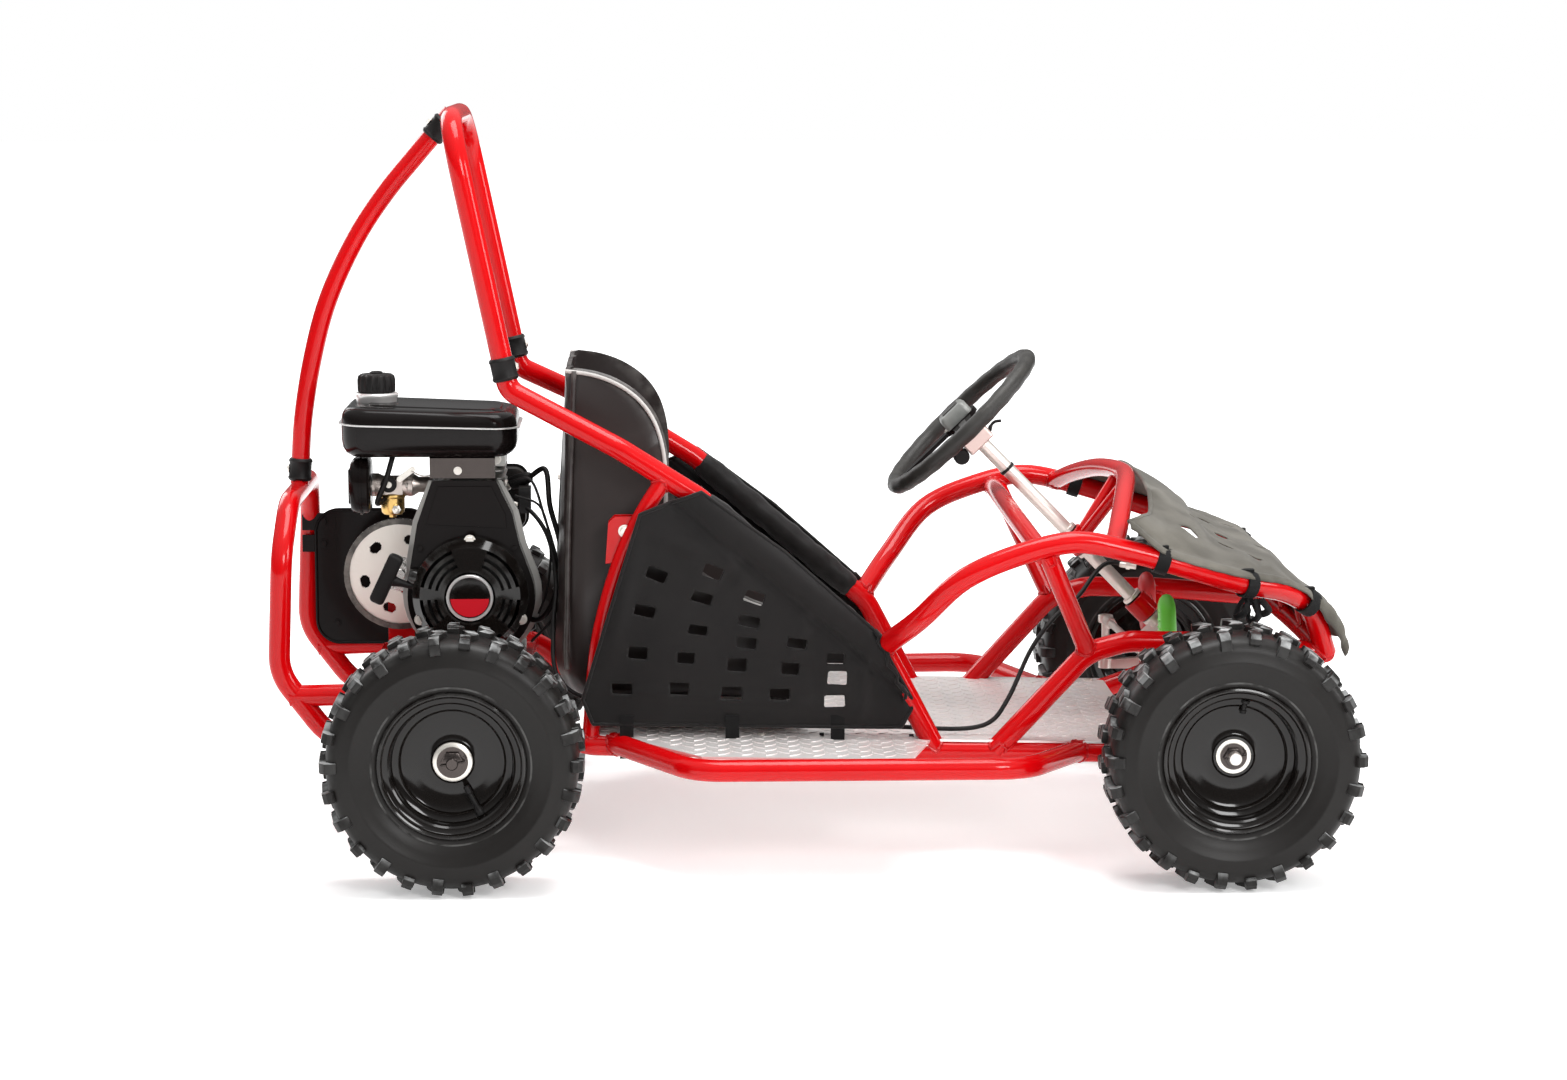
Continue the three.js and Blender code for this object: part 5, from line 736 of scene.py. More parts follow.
# Engine: a small four-stroke behind the seat, with a finned cylinder, a flat shroud and round
# recoil cover on the right, a black tank with a pale seam above, and a brass-bowled carburettor.
cast_grey = finish("cast_aluminium", (0.42, 0.41, 0.39), 0.42, metallic=0.85, tone=0.45, dust_and_highlight=0.2, edge=0.3,
    edge_wear_and_highlight_color=(0.6, 0.59, 0.56), grain=850, bump=0.3)
carb_metal = finish("carburettor_metal", (0.56, 0.49, 0.45), 0.34, metallic=0.9, tone=0.5, dust_and_highlight=0.15,
    edge=0.2, edge_wear_and_highlight_color=(0.7, 0.66, 0.62), grain=420, bump=0.15)
shroud_black = finish("shroud_black", (0.006, 0.0042, 0.004), 0.22, coat=0.03, tone=0.1, dust_and_highlight=0, grain=800,
    bump=0.04, specular=0.07)
tank_black = finish("tank_black", (0.006, 0.0044, 0.0042), 0.2, coat=0.08, tone=0.2, dust_and_highlight=0, grain=700,
    bump=0.03, specular=0.12)
seam_grey = finish("tank_seam", (0.66, 0.65, 0.64), 0.3, metallic=0.5, tone=0.3, grain=500)
badge_red = finish("badge_red", (0.55, 0.01, 0.02), 0.25, coat=0.4, tone=0.15, grain=500)
bare_brass = finish("bare_brass", (0.63, 0.41, 0.14), 0.28, metallic=1, tone=0.45, grain=260, bump=0.1)
crank_x = along_x(0.0082)
crank_z = joint_at["clutch_spin"].z
engine_foot = crank_z - 0.0922
crankcase_top = engine_foot + 0.1462
head_top = crankcase_top + 0.114


def engine_point(x, y, z):
    return xyz(crank_x + x, y, engine_foot + z)


across_x, up_z = xyz(1, 0, 0), xyz(0, 0, 1)


def rounded_loop(low, high, corner, steps=8):
    """A rectangle with round corners, as points of a plane."""
    corner = max(min(corner, (high[0] - low[0]) / 2.02, (high[1] - low[1]) / 2.02), 0.0005)
    loop = []
    for k, (u, v) in enumerate(((high[0], high[1]), (low[0], high[1]), (low[0], low[1]), (high[0], low[1]))):
        centre = (u - copysign(corner, u - (low[0] + high[0]) / 2),
            v - copysign(corner, v - (low[1] + high[1]) / 2))
        for step in range(steps + 1):
            angle = pi / 2 * (k + step / steps)
            loop.append((centre[0] + corner * cos(angle), centre[1] + corner * sin(angle)))
    return loop


def lofted(shape, points, count, finish=0):
    """A closed body from equal rows of points, lowest first."""
    last = len(points) // count - 1
    faces = [tuple(range(count))[::-1], tuple(last * count + k for k in range(count))]
    for here in range(0, last * count, count):
        faces += ring_faces(here, here + count, count)
    shape.add(points, faces, finish)


def stacked(shape, low, high, corner, layers, place, finish=0):
    """A moulded body from rounded rectangles, each drawn in by an inset at its own level."""
    count = 0
    points = []
    for inset, level in layers:
        loop = rounded_loop((low[0] + inset, low[1] + inset), (high[0] - inset, high[1] - inset),
            corner - inset)
        count = len(loop)
        points.extend(place(u, v, level) for u, v in loop)
    lofted(shape, points, count, finish)


def polar_plate(shape, centre, axis, radii, count, front, back, hole=None, finish=0, edge=None):
    """A round plate in rings and sectors; hole says which cells are left out."""
    axis = Vector(axis).normalized()
    rows = len(radii)
    points = []
    for level in (front, back):
        for row, radius in enumerate(radii):
            for k in range(count):
                reach = edge(k, radius) if edge and row == rows - 1 else radius
                angle = 2 * pi * k / count
                spot = swung(reach, angle, across_x, up_z)
                points.append(centre + spot + axis * level(radius))
    layer = rows * count
    kept = {(row, k) for row in range(rows - 1) for k in range(count)
        if not (hole and hole(row, (k + 0.5) * 360 / count))}
    faces = []
    for row, k in kept:
        on = (k + 1) % count
        a, b = row * count + k, row * count + on
        c, d = (row + 1) * count + on, (row + 1) * count + k
        faces.append((a, b, c, d))
        faces.append((layer + d, layer + c, layer + b, layer + a))
        for near, p, q in (((row - 1, k), a, b), ((row, on), b, c), ((row + 1, k), c, d),
                ((row, k - 1 if k else count - 1), d, a)):
            if near not in kept:
                faces.append((q, p, layer + p, layer + q))
    shape.add(points, faces, finish)


def bolt_circle(shape, centre, count, start, radius, y, axis, size):
    for k in range(count):
        turn = 2 * pi * (k + start) / count
        spot = centre + xyz(radius * cos(turn), y, radius * sin(turn))
        shape.bolt(spot, axis, size, 1)


block = Shape()
case_low, case_high = engine_point(-0.067, -0.062, 0), engine_point(0.067, 0.07, 0.1462)
stacked(block, (case_low.x, case_low.y), (case_high.x, case_high.y), 0.022,
    [(0, 0), (0, 0.012), (0.006, 0.014), (0.006, 0.036), (0.002, 0.042), (0.002, 0.118), (0.008, 0.136),
    (0.016, 0.1462)], lambda u, v, level: (u, v, engine_foot + level))
block.turned([(0.04, 0.066), (0.04, 0.0705), (0.022, 0.074), (0.0096, 0.074), (0.0096, 0.066)],
    engine_point(0, 0, 0.0922), (0, 1, 0), 48)
bolt_circle(block, engine_point(0, 0, 0.088), 8, 0.5, 0.052, 0.0685, (0, 1, 0), 0.0048)
for x, y in ((-0.058, -0.052), (0.058, -0.052), (-0.058, 0.06), (0.058, 0.06)):
    block.bolt(engine_point(x, y, 0.012), (0, 0, 1), 0.0065, 1)
block.turned([(0, 0), (0.011, 0), (0.011, 0.01), (0.007, 0.016), (0, 0.016)],
    engine_point(0.064, 0.03, 0.036), (1, 0, 0), 8, 2)
fin_count = 11
fin_pitch = (head_top - crankcase_top) / fin_count
stacked(block, (crank_x - 0.03, -0.04), (crank_x + 0.03, 0.04), 0.012,
    [(0, 0), (0, head_top - crankcase_top - 0.004)], lambda u, v, level: (u, v, crankcase_top + level))
for k in range(fin_count):
    reach = 0.0435 if k > 2 else 0.04
    level = crankcase_top + fin_pitch * (k + 0.35)
    stacked(block, (crank_x - reach, -0.055), (crank_x + reach, 0.055), 0.009,
        [(0.0012, 0), (0, 0.0009), (0, 0.0026), (0.0012, 0.0035)], lambda u, v, rise, level=level: (u, v,
        level + rise))
for x, y in ((-0.028, -0.038), (0.028, -0.038), (-0.028, 0.038), (0.028, 0.038)):
    block.bolt(xyz(crank_x + x, y, head_top - 0.006), (0, 0, 1), 0.006, 1)
plug_place = xyz(crank_x + 0.04, -0.02, head_top - 0.03)
plug_axis = xyz(0.9, -0.25, 0.35).normalized()
block.turned([(0, 0), (0.0085, 0), (0.0085, 0.007), (0.006, 0.009), (0.006, 0.02), (0, 0.02)], plug_place,
    plug_axis, 6, 1)
block.turned([(0, 0.012), (0.0085, 0.012), (0.0095, 0.02), (0.0085, 0.036), (0.006, 0.042), (0, 0.042)],
    plug_place, plug_axis, 28, 2)
backing = [(0.072, 0.16), (0.062, 0.204), (0.04, 0.244), (-0.056, 0.244), (-0.078, 0.19), (-0.088, 0.13)]
for angle in range(-200, 21, 10):
    turn = radians(angle)
    backing.append((0.0925 * cos(turn), 0.0922 + 0.091 * sin(turn)))
backing = [(u, max(v, 0.014)) for u, v in backing]
block.slab(backing, engine_point(0, -0.062, 0), xyz(1, 0, 0), xyz(0, 0, 1), -0.004)
piece("engine_casting", block, "chassis", [cast_grey, zinc_plate, black_rubber],
    ["engine_block"], bevel=0.0008)

shroud = Shape()
shroud_face = -0.095
shroud_depth = 0.0325
sector = [(0.084 * cos(radians(angle)), 0.0922 + 0.084 * sin(radians(angle))) for angle in range(-198, 19, 6)]
shroud_outline = [(0.064, 0.1622), (0.055, 0.203), (0.034, 0.2472), (-0.05, 0.2472), (-0.07, 0.19),
    (-0.08, 0.1322)]
shroud_outline += sector
shroud.slab(shroud_outline, engine_point(0, shroud_face, 0), across_x, up_z, -shroud_depth)
raised = [(0.048, 0.184), (0.046, 0.203), (0.028, 0.24), (-0.042, 0.24), (-0.058, 0.19)]
shroud.slab(raised, engine_point(0, shroud_face - 0.0018, 0), across_x, up_z, -0.003)
for x, z in ((-0.066, 0.158), (0.058, 0.158)):
    shroud.bolt(engine_point(x, shroud_face, z), (0, -1, 0), 0.0044)
piece("engine_shroud_flat", shroud, "chassis", [shroud_black, zinc_plate],
    ["engine_shroud"], bevel=0.0028, segments=3)

recoil_centre = engine_point(0, 0, 0.0972)
recoil = Shape()


def recoil_face(radius):
    if radius > 0.066:
        return 0.126 - (radius - 0.066) * 1.35
    if radius > 0.034:
        return 0.13 - (radius - 0.034) * 0.125
    return 0.1302


def recoil_slots(row, angle):
    if row not in (2, 4, 6):
        return False
    turn = (angle - 90) % 360
    upper = 22 < turn < 78 or 282 < turn < 338
    flank = 94 < turn < 128 or 232 < turn < 266
    lower = 142 < turn < 218 and row == 6
    return upper or flank or lower


recoil_radii = [0.0335, 0.0375, 0.0425, 0.0465, 0.0515, 0.056, 0.0615, 0.066, 0.0715, 0.076]
polar_plate(recoil, recoil_centre, (0, -1, 0), recoil_radii, 120, recoil_face,
    lambda radius: recoil_face(radius) - 0.0028, recoil_slots)
recoil.turned([(0.0734, 0.0953), (0.077, 0.0953), (0.077, 0.104), (0.076, 0.1126), (0.0734, 0.111)],
    recoil_centre, (0, -1, 0), 96)
recoil.turned([(0, 0.108), (0.06, 0.108), (0.071, 0.098), (0, 0.098)], recoil_centre, (0, -1, 0), 60, 4)
recoil.turned([(0.0268, 0.126), (0.0306, 0.126), (0.0306, 0.1322), (0.0298, 0.1332), (0.0276, 0.1332),
    (0.0268, 0.132)], recoil_centre, (0, -1, 0), 64, 1)
recoil.turned([(0, 0.126), (0.0272, 0.126), (0.0272, 0.1316), (0.018, 0.1324), (0, 0.1326)], recoil_centre,
    (0, -1, 0), 64, 0)
half_badge = [(0.0252 * cos(pi * k / 20), -0.0012 - 0.0238 * sin(pi * k / 20)) for k in range(21)]
recoil.slab(half_badge, recoil_centre + xyz(0, -0.1331, 0), across_x, up_z, -0.0016, 2)
for turn in (90, 205, 335):
    reach = xyz(0.0735 * cos(radians(turn)), 0, 0.0735 * sin(radians(turn)))
    recoil.bolt(recoil_centre + reach + xyz(0, -0.113, 0), (0, -1, 0), 0.0056, 3)
guide_place = recoil_centre + xyz(-0.066, -0.1035, 0.022)
recoil.turned([(0.0052, 0), (0.0105, 0), (0.0105, 0.01), (0.0082, 0.016), (0.0052, 0.016)], guide_place,
    (-cos(0.28), 0, sin(0.28)), 24, 0)
piece("recoil_housing", recoil, "chassis", [rim_black, seam_grey, badge_red, zinc_plate, black_rubber],
    ["recoil_cover"], 30)

grip = Shape()
grip_low = recoil_centre + xyz(-0.124, -0.10365, -0.007)
grip_high = recoil_centre + xyz(-0.097, -0.10365, 0.05)
grip_up = (grip_high - grip_low).normalized()
grip_side = grip_up.cross(xyz(0, 1, 0))
stacked(grip, (-0.01, -0.0345), (0.01, 0.0345), 0.006, [(0.005, -0.0095), (0.0016, -0.0088), (0, -0.0064),
    (0, 0.0064), (0.0016, 0.0088), (0.005, 0.0095)], lambda u, v, level: grip_low.lerp(grip_high, 0.5)
    + grip_side * u + grip_up * v + xyz(0, level, 0))
grip_middle = grip_low.lerp(grip_high, 0.5)
pull = xyz(cos(0.28), 0, -sin(0.28))
grip.tube([grip_middle, grip_middle + pull * 0.012, grip_middle + pull * 0.02, grip_middle + pull * 0.04],
    [0.0085, 0.007, 0.0052, 0.0035], 20)
piece("starter_grip", grip, "starter_handle", [black_rubber], ["starter_handle"], 50)

plate_steel = finish("plate_dark_steel", (0.07, 0.058, 0.054), 0.24, metallic=0.8, tone=0.5, dust_and_highlight=0,
    grain=500, bump=0.05)
tank = Shape()
tank_low = xyz(rear_axle.x - 0.161, -0.11, head_top + 0.017)
tank_high = xyz(rear_axle.x + 0.07, 0.06, head_top + 0.091)


def tank_place(u, v, level):
    slope = (u - tank_low.x) / (tank_high.x - tank_low.x)
    sink = (0.005 + 0.009 * slope) * max(0, (level - 0.006) / 0.068)
    return (u, v, tank_low.z + level - sink)


corners = ((tank_low.x, tank_low.y), (tank_high.x, tank_high.y))
stacked(tank, *corners, 0.036, [(0.026, 0), (0.014, 0.0018), (0.006, 0.007), (0.0015, 0.015), (0, 0.026),
    (0, 0.047)], tank_place)
stacked(tank, *corners, 0.036, [(-0.002, 0.0468), (-0.0038, 0.0472), (-0.0038, 0.0488), (-0.002, 0.0492)],
    tank_place, 1)
stacked(tank, *corners, 0.036, [(0, 0.049), (0.0004, 0.056), (0.0016, 0.062), (0.0042, 0.0672),
    (0.009, 0.0712), (0.017, 0.0732), (0.03, 0.074)], tank_place)
stacked(tank, (tank_low.x + 0.034, -0.082), (tank_high.x - 0.02, 0.034), 0.02,
    [(0, 0.0725), (0.0015, 0.0752), (0.004, 0.076)], tank_place)
for x in (-0.035, 0.032):
    tank.block(engine_point(x - 0.012, -0.045, 0.2605), engine_point(x + 0.012, 0.035, 0.279), 2)
    tank.bolt(engine_point(x, -0.045, 0.27), (0, -1, 0), 0.0055, 3)
tank.block(engine_point(-0.053, -0.09, 0.25), engine_point(0.033, -0.087, 0.279), 4)
tank.block(engine_point(-0.053, -0.09, 0.2765), engine_point(0.033, -0.05, 0.279), 4)
tank.bolt(engine_point(-0.016, -0.09, 0.26), (0, -1, 0), 0.004, 3)
filler = xyz(along_x(-0.1216), -0.025, tank_high.z)
tank.turned([(0.02, -0.01), (0.0262, -0.01), (0.027, -0.001), (0.029, 0.0015), (0.029, 0.0044),
    (0.027, 0.0062), (0.02, 0.0062)], filler, (0, 0, 1), 56, 1)
piece("fuel_tank_moulded", tank, "chassis", [tank_black, seam_grey, cast_grey, zinc_plate, plate_steel],
    ["fuel_tank"], 40)

cap = Shape()
cap_rows = [(0.0225, 0.0064), (0.025, 0.008), (0.0252, 0.023), (0.024, 0.0285), (0.0205, 0.031),
    (0.012, 0.0316)]
cap_count = 144
cap_points = []
for radius, level in cap_rows:
    for k in range(cap_count):
        turn = 2 * pi * k / cap_count
        wave = 0.0016 * abs(sin(9 * turn)) ** 0.6 if radius > 0.02 else 0
        cap_points.append(filler + xyz((radius - wave) * cos(turn), (radius - wave) * sin(turn), level))
lofted(cap, cap_points, cap_count)
cap.turned([(0, 0), (0.0085, 0), (0.0085, 0.0022), (0.006, 0.0034), (0, 0.0034)], filler + xyz(0, 0, 0.0312),
    (0, 0, 1), 32)
piece("fuel_cap_lobed", cap, "fuel_cap", [black_rubber], ["fuel_cap"], 50)

carb = Shape()
carb_z = head_top - 0.024
carb_line = xyz(0, -0.044, carb_z)
bowl_x = along_x(-0.1)
carb.turned([(0, -0.566), (0.0155, -0.566), (0.0155, -0.558), (0.0125, -0.552), (0.0125, -0.528),
    (0.015, -0.522), (0.015, -0.512), (0.0105, -0.505), (0.0105, -0.478), (0, -0.478)], carb_line, (1, 0, 0),
    36)
for x, width in ((-0.5655, 0.004), (-0.518, 0.006), (-0.483, 0.005)):
    loop = rounded_loop((-0.023, -0.014), (0.023, 0.014), 0.012)
    carb.slab(loop, xyz(x, -0.044, carb_z), (0, 1, 0), (0, 0, 1), width)
    for end in (-1, 1):
        carb.bolt(xyz(x, -0.044 + end * 0.0175, carb_z), (-1, 0, 0), 0.0038, 1, 0.8)
bowl = xyz(bowl_x, -0.044, carb_z - 0.041)
carb.turned([(0, 0.002), (0.0125, 0.002), (0.015, 0.005), (0.0158, 0.01), (0.0158, 0.024), (0.0172, 0.0255),
    (0.0172, 0.0285), (0.013, 0.03), (0, 0.03)], bowl, (0, 0, 1), 44, 2)
carb.bolt(bowl + xyz(0, 0, 0.0025), (0, 0, -1), 0.0055, 2, 0.9)
carb.turned([(0, 0), (0.0062, 0), (0.0062, 0.004), (0.003, 0.005), (0.003, 0.009), (0, 0.009)],
    bowl + xyz(0.006, -0.015, 0.01), (0, -1, 0), 6, 1)
carb.block(xyz(bowl_x - 0.013, -0.057, carb_z - 0.012), xyz(bowl_x + 0.014, -0.031, carb_z + 0.008))
carb.rod(0.0105, 0, 0.003, xyz(bowl_x - 0.004, -0.0585, carb_z + 0.002), (0, -1, 0), 28, 3)
carb.rod(0.0042, 0, 0.003, xyz(bowl_x - 0.004, -0.0612, carb_z + 0.002), (0, -1, 0), 20, 1)
lever = rounded_loop((-0.003, -0.004), (0.026, 0.004), 0.004)
carb.slab(lever, xyz(bowl_x + 0.01, -0.0605, carb_z + 0.009), xyz(0.8, 0, 0.6), xyz(-0.6, 0, 0.8), 0.0018, 1)
carb.tube(smooth([(bowl_x + 0.026, -0.062, carb_z + 0.02), (bowl_x + 0.042, -0.066, carb_z + 0.014),
    (bowl_x + 0.062, -0.066, carb_z + 0.016), (bowl_x + 0.08, -0.062, carb_z + 0.006)]), 0.0011, 8, 1)
hose = smooth([(bowl_x - 0.006, -0.05, carb_z - 0.016), (bowl_x - 0.018, -0.078, carb_z - 0.02),
    (bowl_x - 0.006, -0.088, carb_z + 0.01), (bowl_x + 0.004, -0.076, tank_low.z + 0.004)], 10)
carb.tube(hose, 0.0036, 16, 3)
piece("carburettor_set", carb, "chassis", [carb_metal, zinc_plate, bare_brass, black_rubber],
    ["carburettor"], 38, bevel=0.0004)

filter_box = Shape()
filter_low = xyz(along_x(-0.1557), -0.1, carb_z - 0.034)
filter_high = xyz(along_x(-0.1278), -0.02, carb_z + 0.039)
stacked(filter_box, (filter_low.y, filter_low.z), (filter_high.y, filter_high.z), 0.03,
    [(0.013, 0), (0.006, 0.0012), (0.002, 0.004), (0, 0.009), (0, 0.0135), (-0.0022, 0.014),
    (-0.0022, 0.0168), (0, 0.0172), (0, 0.024), (0.004, 0.027)], lambda u, v, level: (filter_low.x + level,
    u, v))
filter_middle = xyz(filter_low.x, -0.06, (filter_low.z + filter_high.z) / 2)
filter_box.turned([(0, -0.003), (0.006, -0.003), (0.01, 0.001), (0, 0.001)], filter_middle, (1, 0, 0), 24, 0)
for k in range(5):
    y = filter_low.y + 0.016 + k * 0.012
    filter_box.block((filter_low.x - 0.0012, y - 0.002, filter_low.z + 0.014),
        (filter_low.x + 0.002, y + 0.002, filter_high.z - 0.014))
piece("air_filter_box", filter_box, "chassis", [shroud_black], ["air_filter"], 40)

silencer = Shape()
silencer_low = xyz(rear_axle.x - 0.04, 0.066, crankcase_top + 0.014)
silencer_high = xyz(rear_axle.x + 0.075, 0.118, crankcase_top + 0.098)
stacked(silencer, (silencer_low.x, silencer_low.z), (silencer_high.x, silencer_high.z), 0.016,
    [(0.006, 0), (0.001, 0.003), (0, 0.008), (0, 0.022), (-0.0035, 0.0225), (-0.0035, 0.0255), (0, 0.026),
    (0, 0.044), (0.001, 0.049), (0.006, 0.052)], lambda u, v, level: (u, silencer_low.y + level, v))
port = xyz(crank_x, 0.0553, (silencer_low.z + silencer_high.z) / 2)
silencer.tube([port, port + xyz(0, 0.013, 0)], 0.012, 28)
silencer.slab(rounded_loop((-0.024, -0.014), (0.024, 0.014), 0.01), port, (1, 0, 0), (0, 0, 1), -0.004, 1)
tail = xyz(silencer_high.x - 0.022, 0.1175, silencer_low.z + 0.022)
silencer.bush(0.0066, 0.0084, 0, 0.012, tail, (0, 1, 0), 28, 1)
for row in range(4):
    for column in range(6):
        if row == 0 and column > 3:
            continue
        slot_low = xyz(silencer_low.x + 0.012 + column * 0.016, silencer_high.y - 0.0002, silencer_low.z
            + 0.014 + row * 0.016)
        silencer.block(slot_low, slot_low + xyz(0.01, 0.0016, 0.005), 0)
silencer.bolt(xyz(silencer_low.x + 0.01, silencer_high.y, silencer_high.z - 0.01), (0, 1, 0), 0.0055, 1)
silencer.bolt(xyz(silencer_high.x - 0.01, silencer_high.y, silencer_high.z - 0.01), (0, 1, 0), 0.0055, 1)
exhaust_black = finish("exhaust_black", (0.009, 0.0075, 0.0068), 0.45, tone=0.5, dust_and_highlight=0.05, edge=0.4,
    edge_wear_and_highlight_color=(0.12, 0.09, 0.07), grain=700, bump=0.25, specular=0.2)
piece("exhaust_box", silencer, "chassis", [exhaust_black, zinc_plate], ["muffler"], 38)

leads = Shape()
plug_end = plug_place + plug_axis * 0.04
lead_start = [plug_end, plug_end + xyz(0.02, -0.012, 0.012)]
lead_places = [(0.104, -0.07, 0.118), (0.118, -0.08, 0.06), (0.108, -0.08, -0.006), (0.088, -0.07, -0.034),
    (0.06, -0.058, -0.03)]
long_wire = [(0.05, -0.072, 0.15), (0.078, -0.088, 0.156), (0.098, -0.092, 0.104), (0.113, -0.092, 0.05),
    (0.117, -0.09, 0.008), (0.106, -0.088, -0.03), (0.078, -0.08, -0.062)]
short_wire = [(0.058, -0.07, 0.132), (0.09, -0.08, 0.12), (0.104, -0.086, 0.07), (0.1, -0.088, 0.01),
    (0.088, -0.084, -0.024)]
for start, places, radius, count in ((lead_start, lead_places, 0.0036, 14), ([], long_wire, 0.0019, 10),
        ([], short_wire, 0.0016, 10)):
    run = [(crank_x + x, y, crank_z + z) for x, y, z in places]
    leads.tube(smooth(start + run, 10), radius, count)
leads.block(engine_point(0.0625, -0.058, 0.199), engine_point(0.078, -0.03, 0.233))
piece("spark_lead_and_wires", leads, "chassis", [black_rubber], (), 60)

# Drive: a clutch on the crank, a chain to the big sprocket of the jackshaft, a second chain down
# to the sprocket on the rear axle, a black guard outside them, and a disc brake.
chain_steel = finish("chain_steel", (0.09, 0.085, 0.08), 0.34, metallic=0.9, tone=0.5, dust_and_highlight=0.1, edge=0.4,
    edge_wear_and_highlight_color=(0.3, 0.28, 0.25), grain=600, bump=0.1)
disc_steel = finish("disc_steel", (0.5, 0.49, 0.47), 0.24, metallic=1, tone=0.4, dust_and_highlight=0.05, grain=1400,
    bump=0.2)
chain_pitch = 0.009525
crank_centre = xyz(crank_x, 0, crank_z)
jack_centre = joint_at["jackshaft_spin"].copy()
jack_centre.y = 0
axle_centre = xyz(rear_axle.x, 0, axle_height)
primary_y = 0.106
final_y = 0.143


def pitch_radius(teeth):
    return chain_pitch / (2 * sin(pi / teeth))


def sprocket(shape, centre, y, teeth, thickness, hub, openings=None, finish=0):
    """A toothed wheel; openings lists [inner share, outer share, count, width in degrees]."""
    radius = pitch_radius(teeth)
    root = radius - 0.003
    rings = [hub]
    rows = []
    for low, high, count, width in openings or ():
        for step in range(9):
            wide = width * sqrt(1 - ((step - 3.5) / 4.3) ** 2) if step < 8 else 0
            rows.append((len(rings), count, width, wide))
            rings.append((low + (high - low) * step / 8) * radius)
    rings += [root, radius]

    def tooth(k, outer):
        return (root, outer, radius + 0.004, outer)[k % 4]

    def hole(row, angle):
        for at_row, count, width, wide in rows:
            if row == at_row and abs((angle % (360 / count)) - width / 2 - 2) < wide / 2:
                return True
        return False

    middle = centre + xyz(0, y - thickness / 2, 0)
    polar_plate(shape, middle, (0, 1, 0), rings, teeth * 4, lambda r: thickness, lambda r: 0, hole, finish,
        tooth)


def lengths_along(route):
    lengths = [0]
    for start, end in zip(route, route[1:]):
        lengths.append(lengths[-1] + (end - start).length)
    return lengths


def resampled(route, count):
    """The same route, in steps of one length."""
    lengths = lengths_along(route)
    samples = []
    at_segment = 0
    for k in range(count + 1):
        wanted = lengths[-1] * k / count
        while at_segment < len(route) - 2 and lengths[at_segment + 1] < wanted:
            at_segment += 1
        share = (wanted - lengths[at_segment]) / max(lengths[at_segment + 1] - lengths[at_segment], 1e-9)
        samples.append(route[at_segment].lerp(route[at_segment + 1], min(share, 1)))
    return samples


def chain(name, first, first_teeth, second, second_teeth, y, replaced):
    """A roller chain, link by link, round two sprockets."""
    span = second - first
    distance = span.length
    along = span / distance
    across = xyz(-along.z, 0, along.x)
    first_radius, second_radius = pitch_radius(first_teeth), pitch_radius(second_teeth)
    lean = acos((first_radius - second_radius) / distance)
    loop = []
    for k in range(41):
        angle = lean - 2 * lean * k / 40
        loop.append(second + swung(second_radius, angle, along, across))
    for k in range(61):
        angle = -lean - (2 * pi - 2 * lean) * k / 60
        loop.append(first + swung(first_radius, angle, along, across))
    loop.append(loop[0])
    count = 2 * round(lengths_along(loop)[-1] / chain_pitch / 2)
    pins = resampled(loop, count)[:-1]
    shape = Shape()
    for k, pin in enumerate(pins):
        onward = pins[(k + 1) % count]
        middle = pin + xyz(0, y, 0)
        shape.rod(0.0017, -0.0055, 0.0055, middle, (0, 1, 0), 8)
        shape.rod(0.003, -0.0028, 0.0028, middle, (0, 1, 0), 12)
        run = (onward - pin).normalized()
        rise = xyz(-run.z, 0, run.x)
        reach = (onward - pin).length
        plate = []
        for end, start_angle in ((0, pi / 2), (reach, -pi / 2)):
            for step in range(7):
                angle = start_angle + pi * step / 6
                plate.append((end + 0.0038 * cos(angle), 0.0038 * sin(angle)))
        for side in (-1, 1):
            face = side * (0.004 if k % 2 else 0.0051) - 0.0005
            shape.slab(plate, middle + xyz(0, face, 0), run, rise, -0.001)
    piece(name, shape, "chassis", [chain_steel], [replaced], 30)


chain("primary_chain_links", jack_centre, 48, crank_centre, 12, primary_y, "primary_chain")
chain("axle_chain_links", axle_centre, 34, jack_centre, 12, final_y, "axle_chain")

shape = Shape()
shape.turned([(0.009, 0.078), (0.034, 0.078), (0.036, 0.08), (0.036, 0.0975), (0.0345, 0.0985),
    (0.03, 0.0985), (0.028, 0.0965), (0.018, 0.0965), (0.016, 0.0985), (0.01, 0.0985)], crank_centre,
    (0, 1, 0), 64)
shape.turned([(0, 0.058), (0.0095, 0.058), (0.0095, 0.1105), (0.006, 0.1125), (0, 0.114)], crank_centre,
    (0, 1, 0), 32, 1)
shape.bolt(crank_centre + xyz(0, 0.1085, 0), (0, 1, 0), 0.0085, 1, 0.55)
sprocket(shape, crank_centre, primary_y, 12, 0.005, 0.0098)
bolt_circle(shape, crank_centre, 6, 0, 0.023, 0.0962, (0, 1, 0), 0.003)
piece("clutch_drum", shape, "clutch", [disc_steel, zinc_plate], ["clutch"], 32)

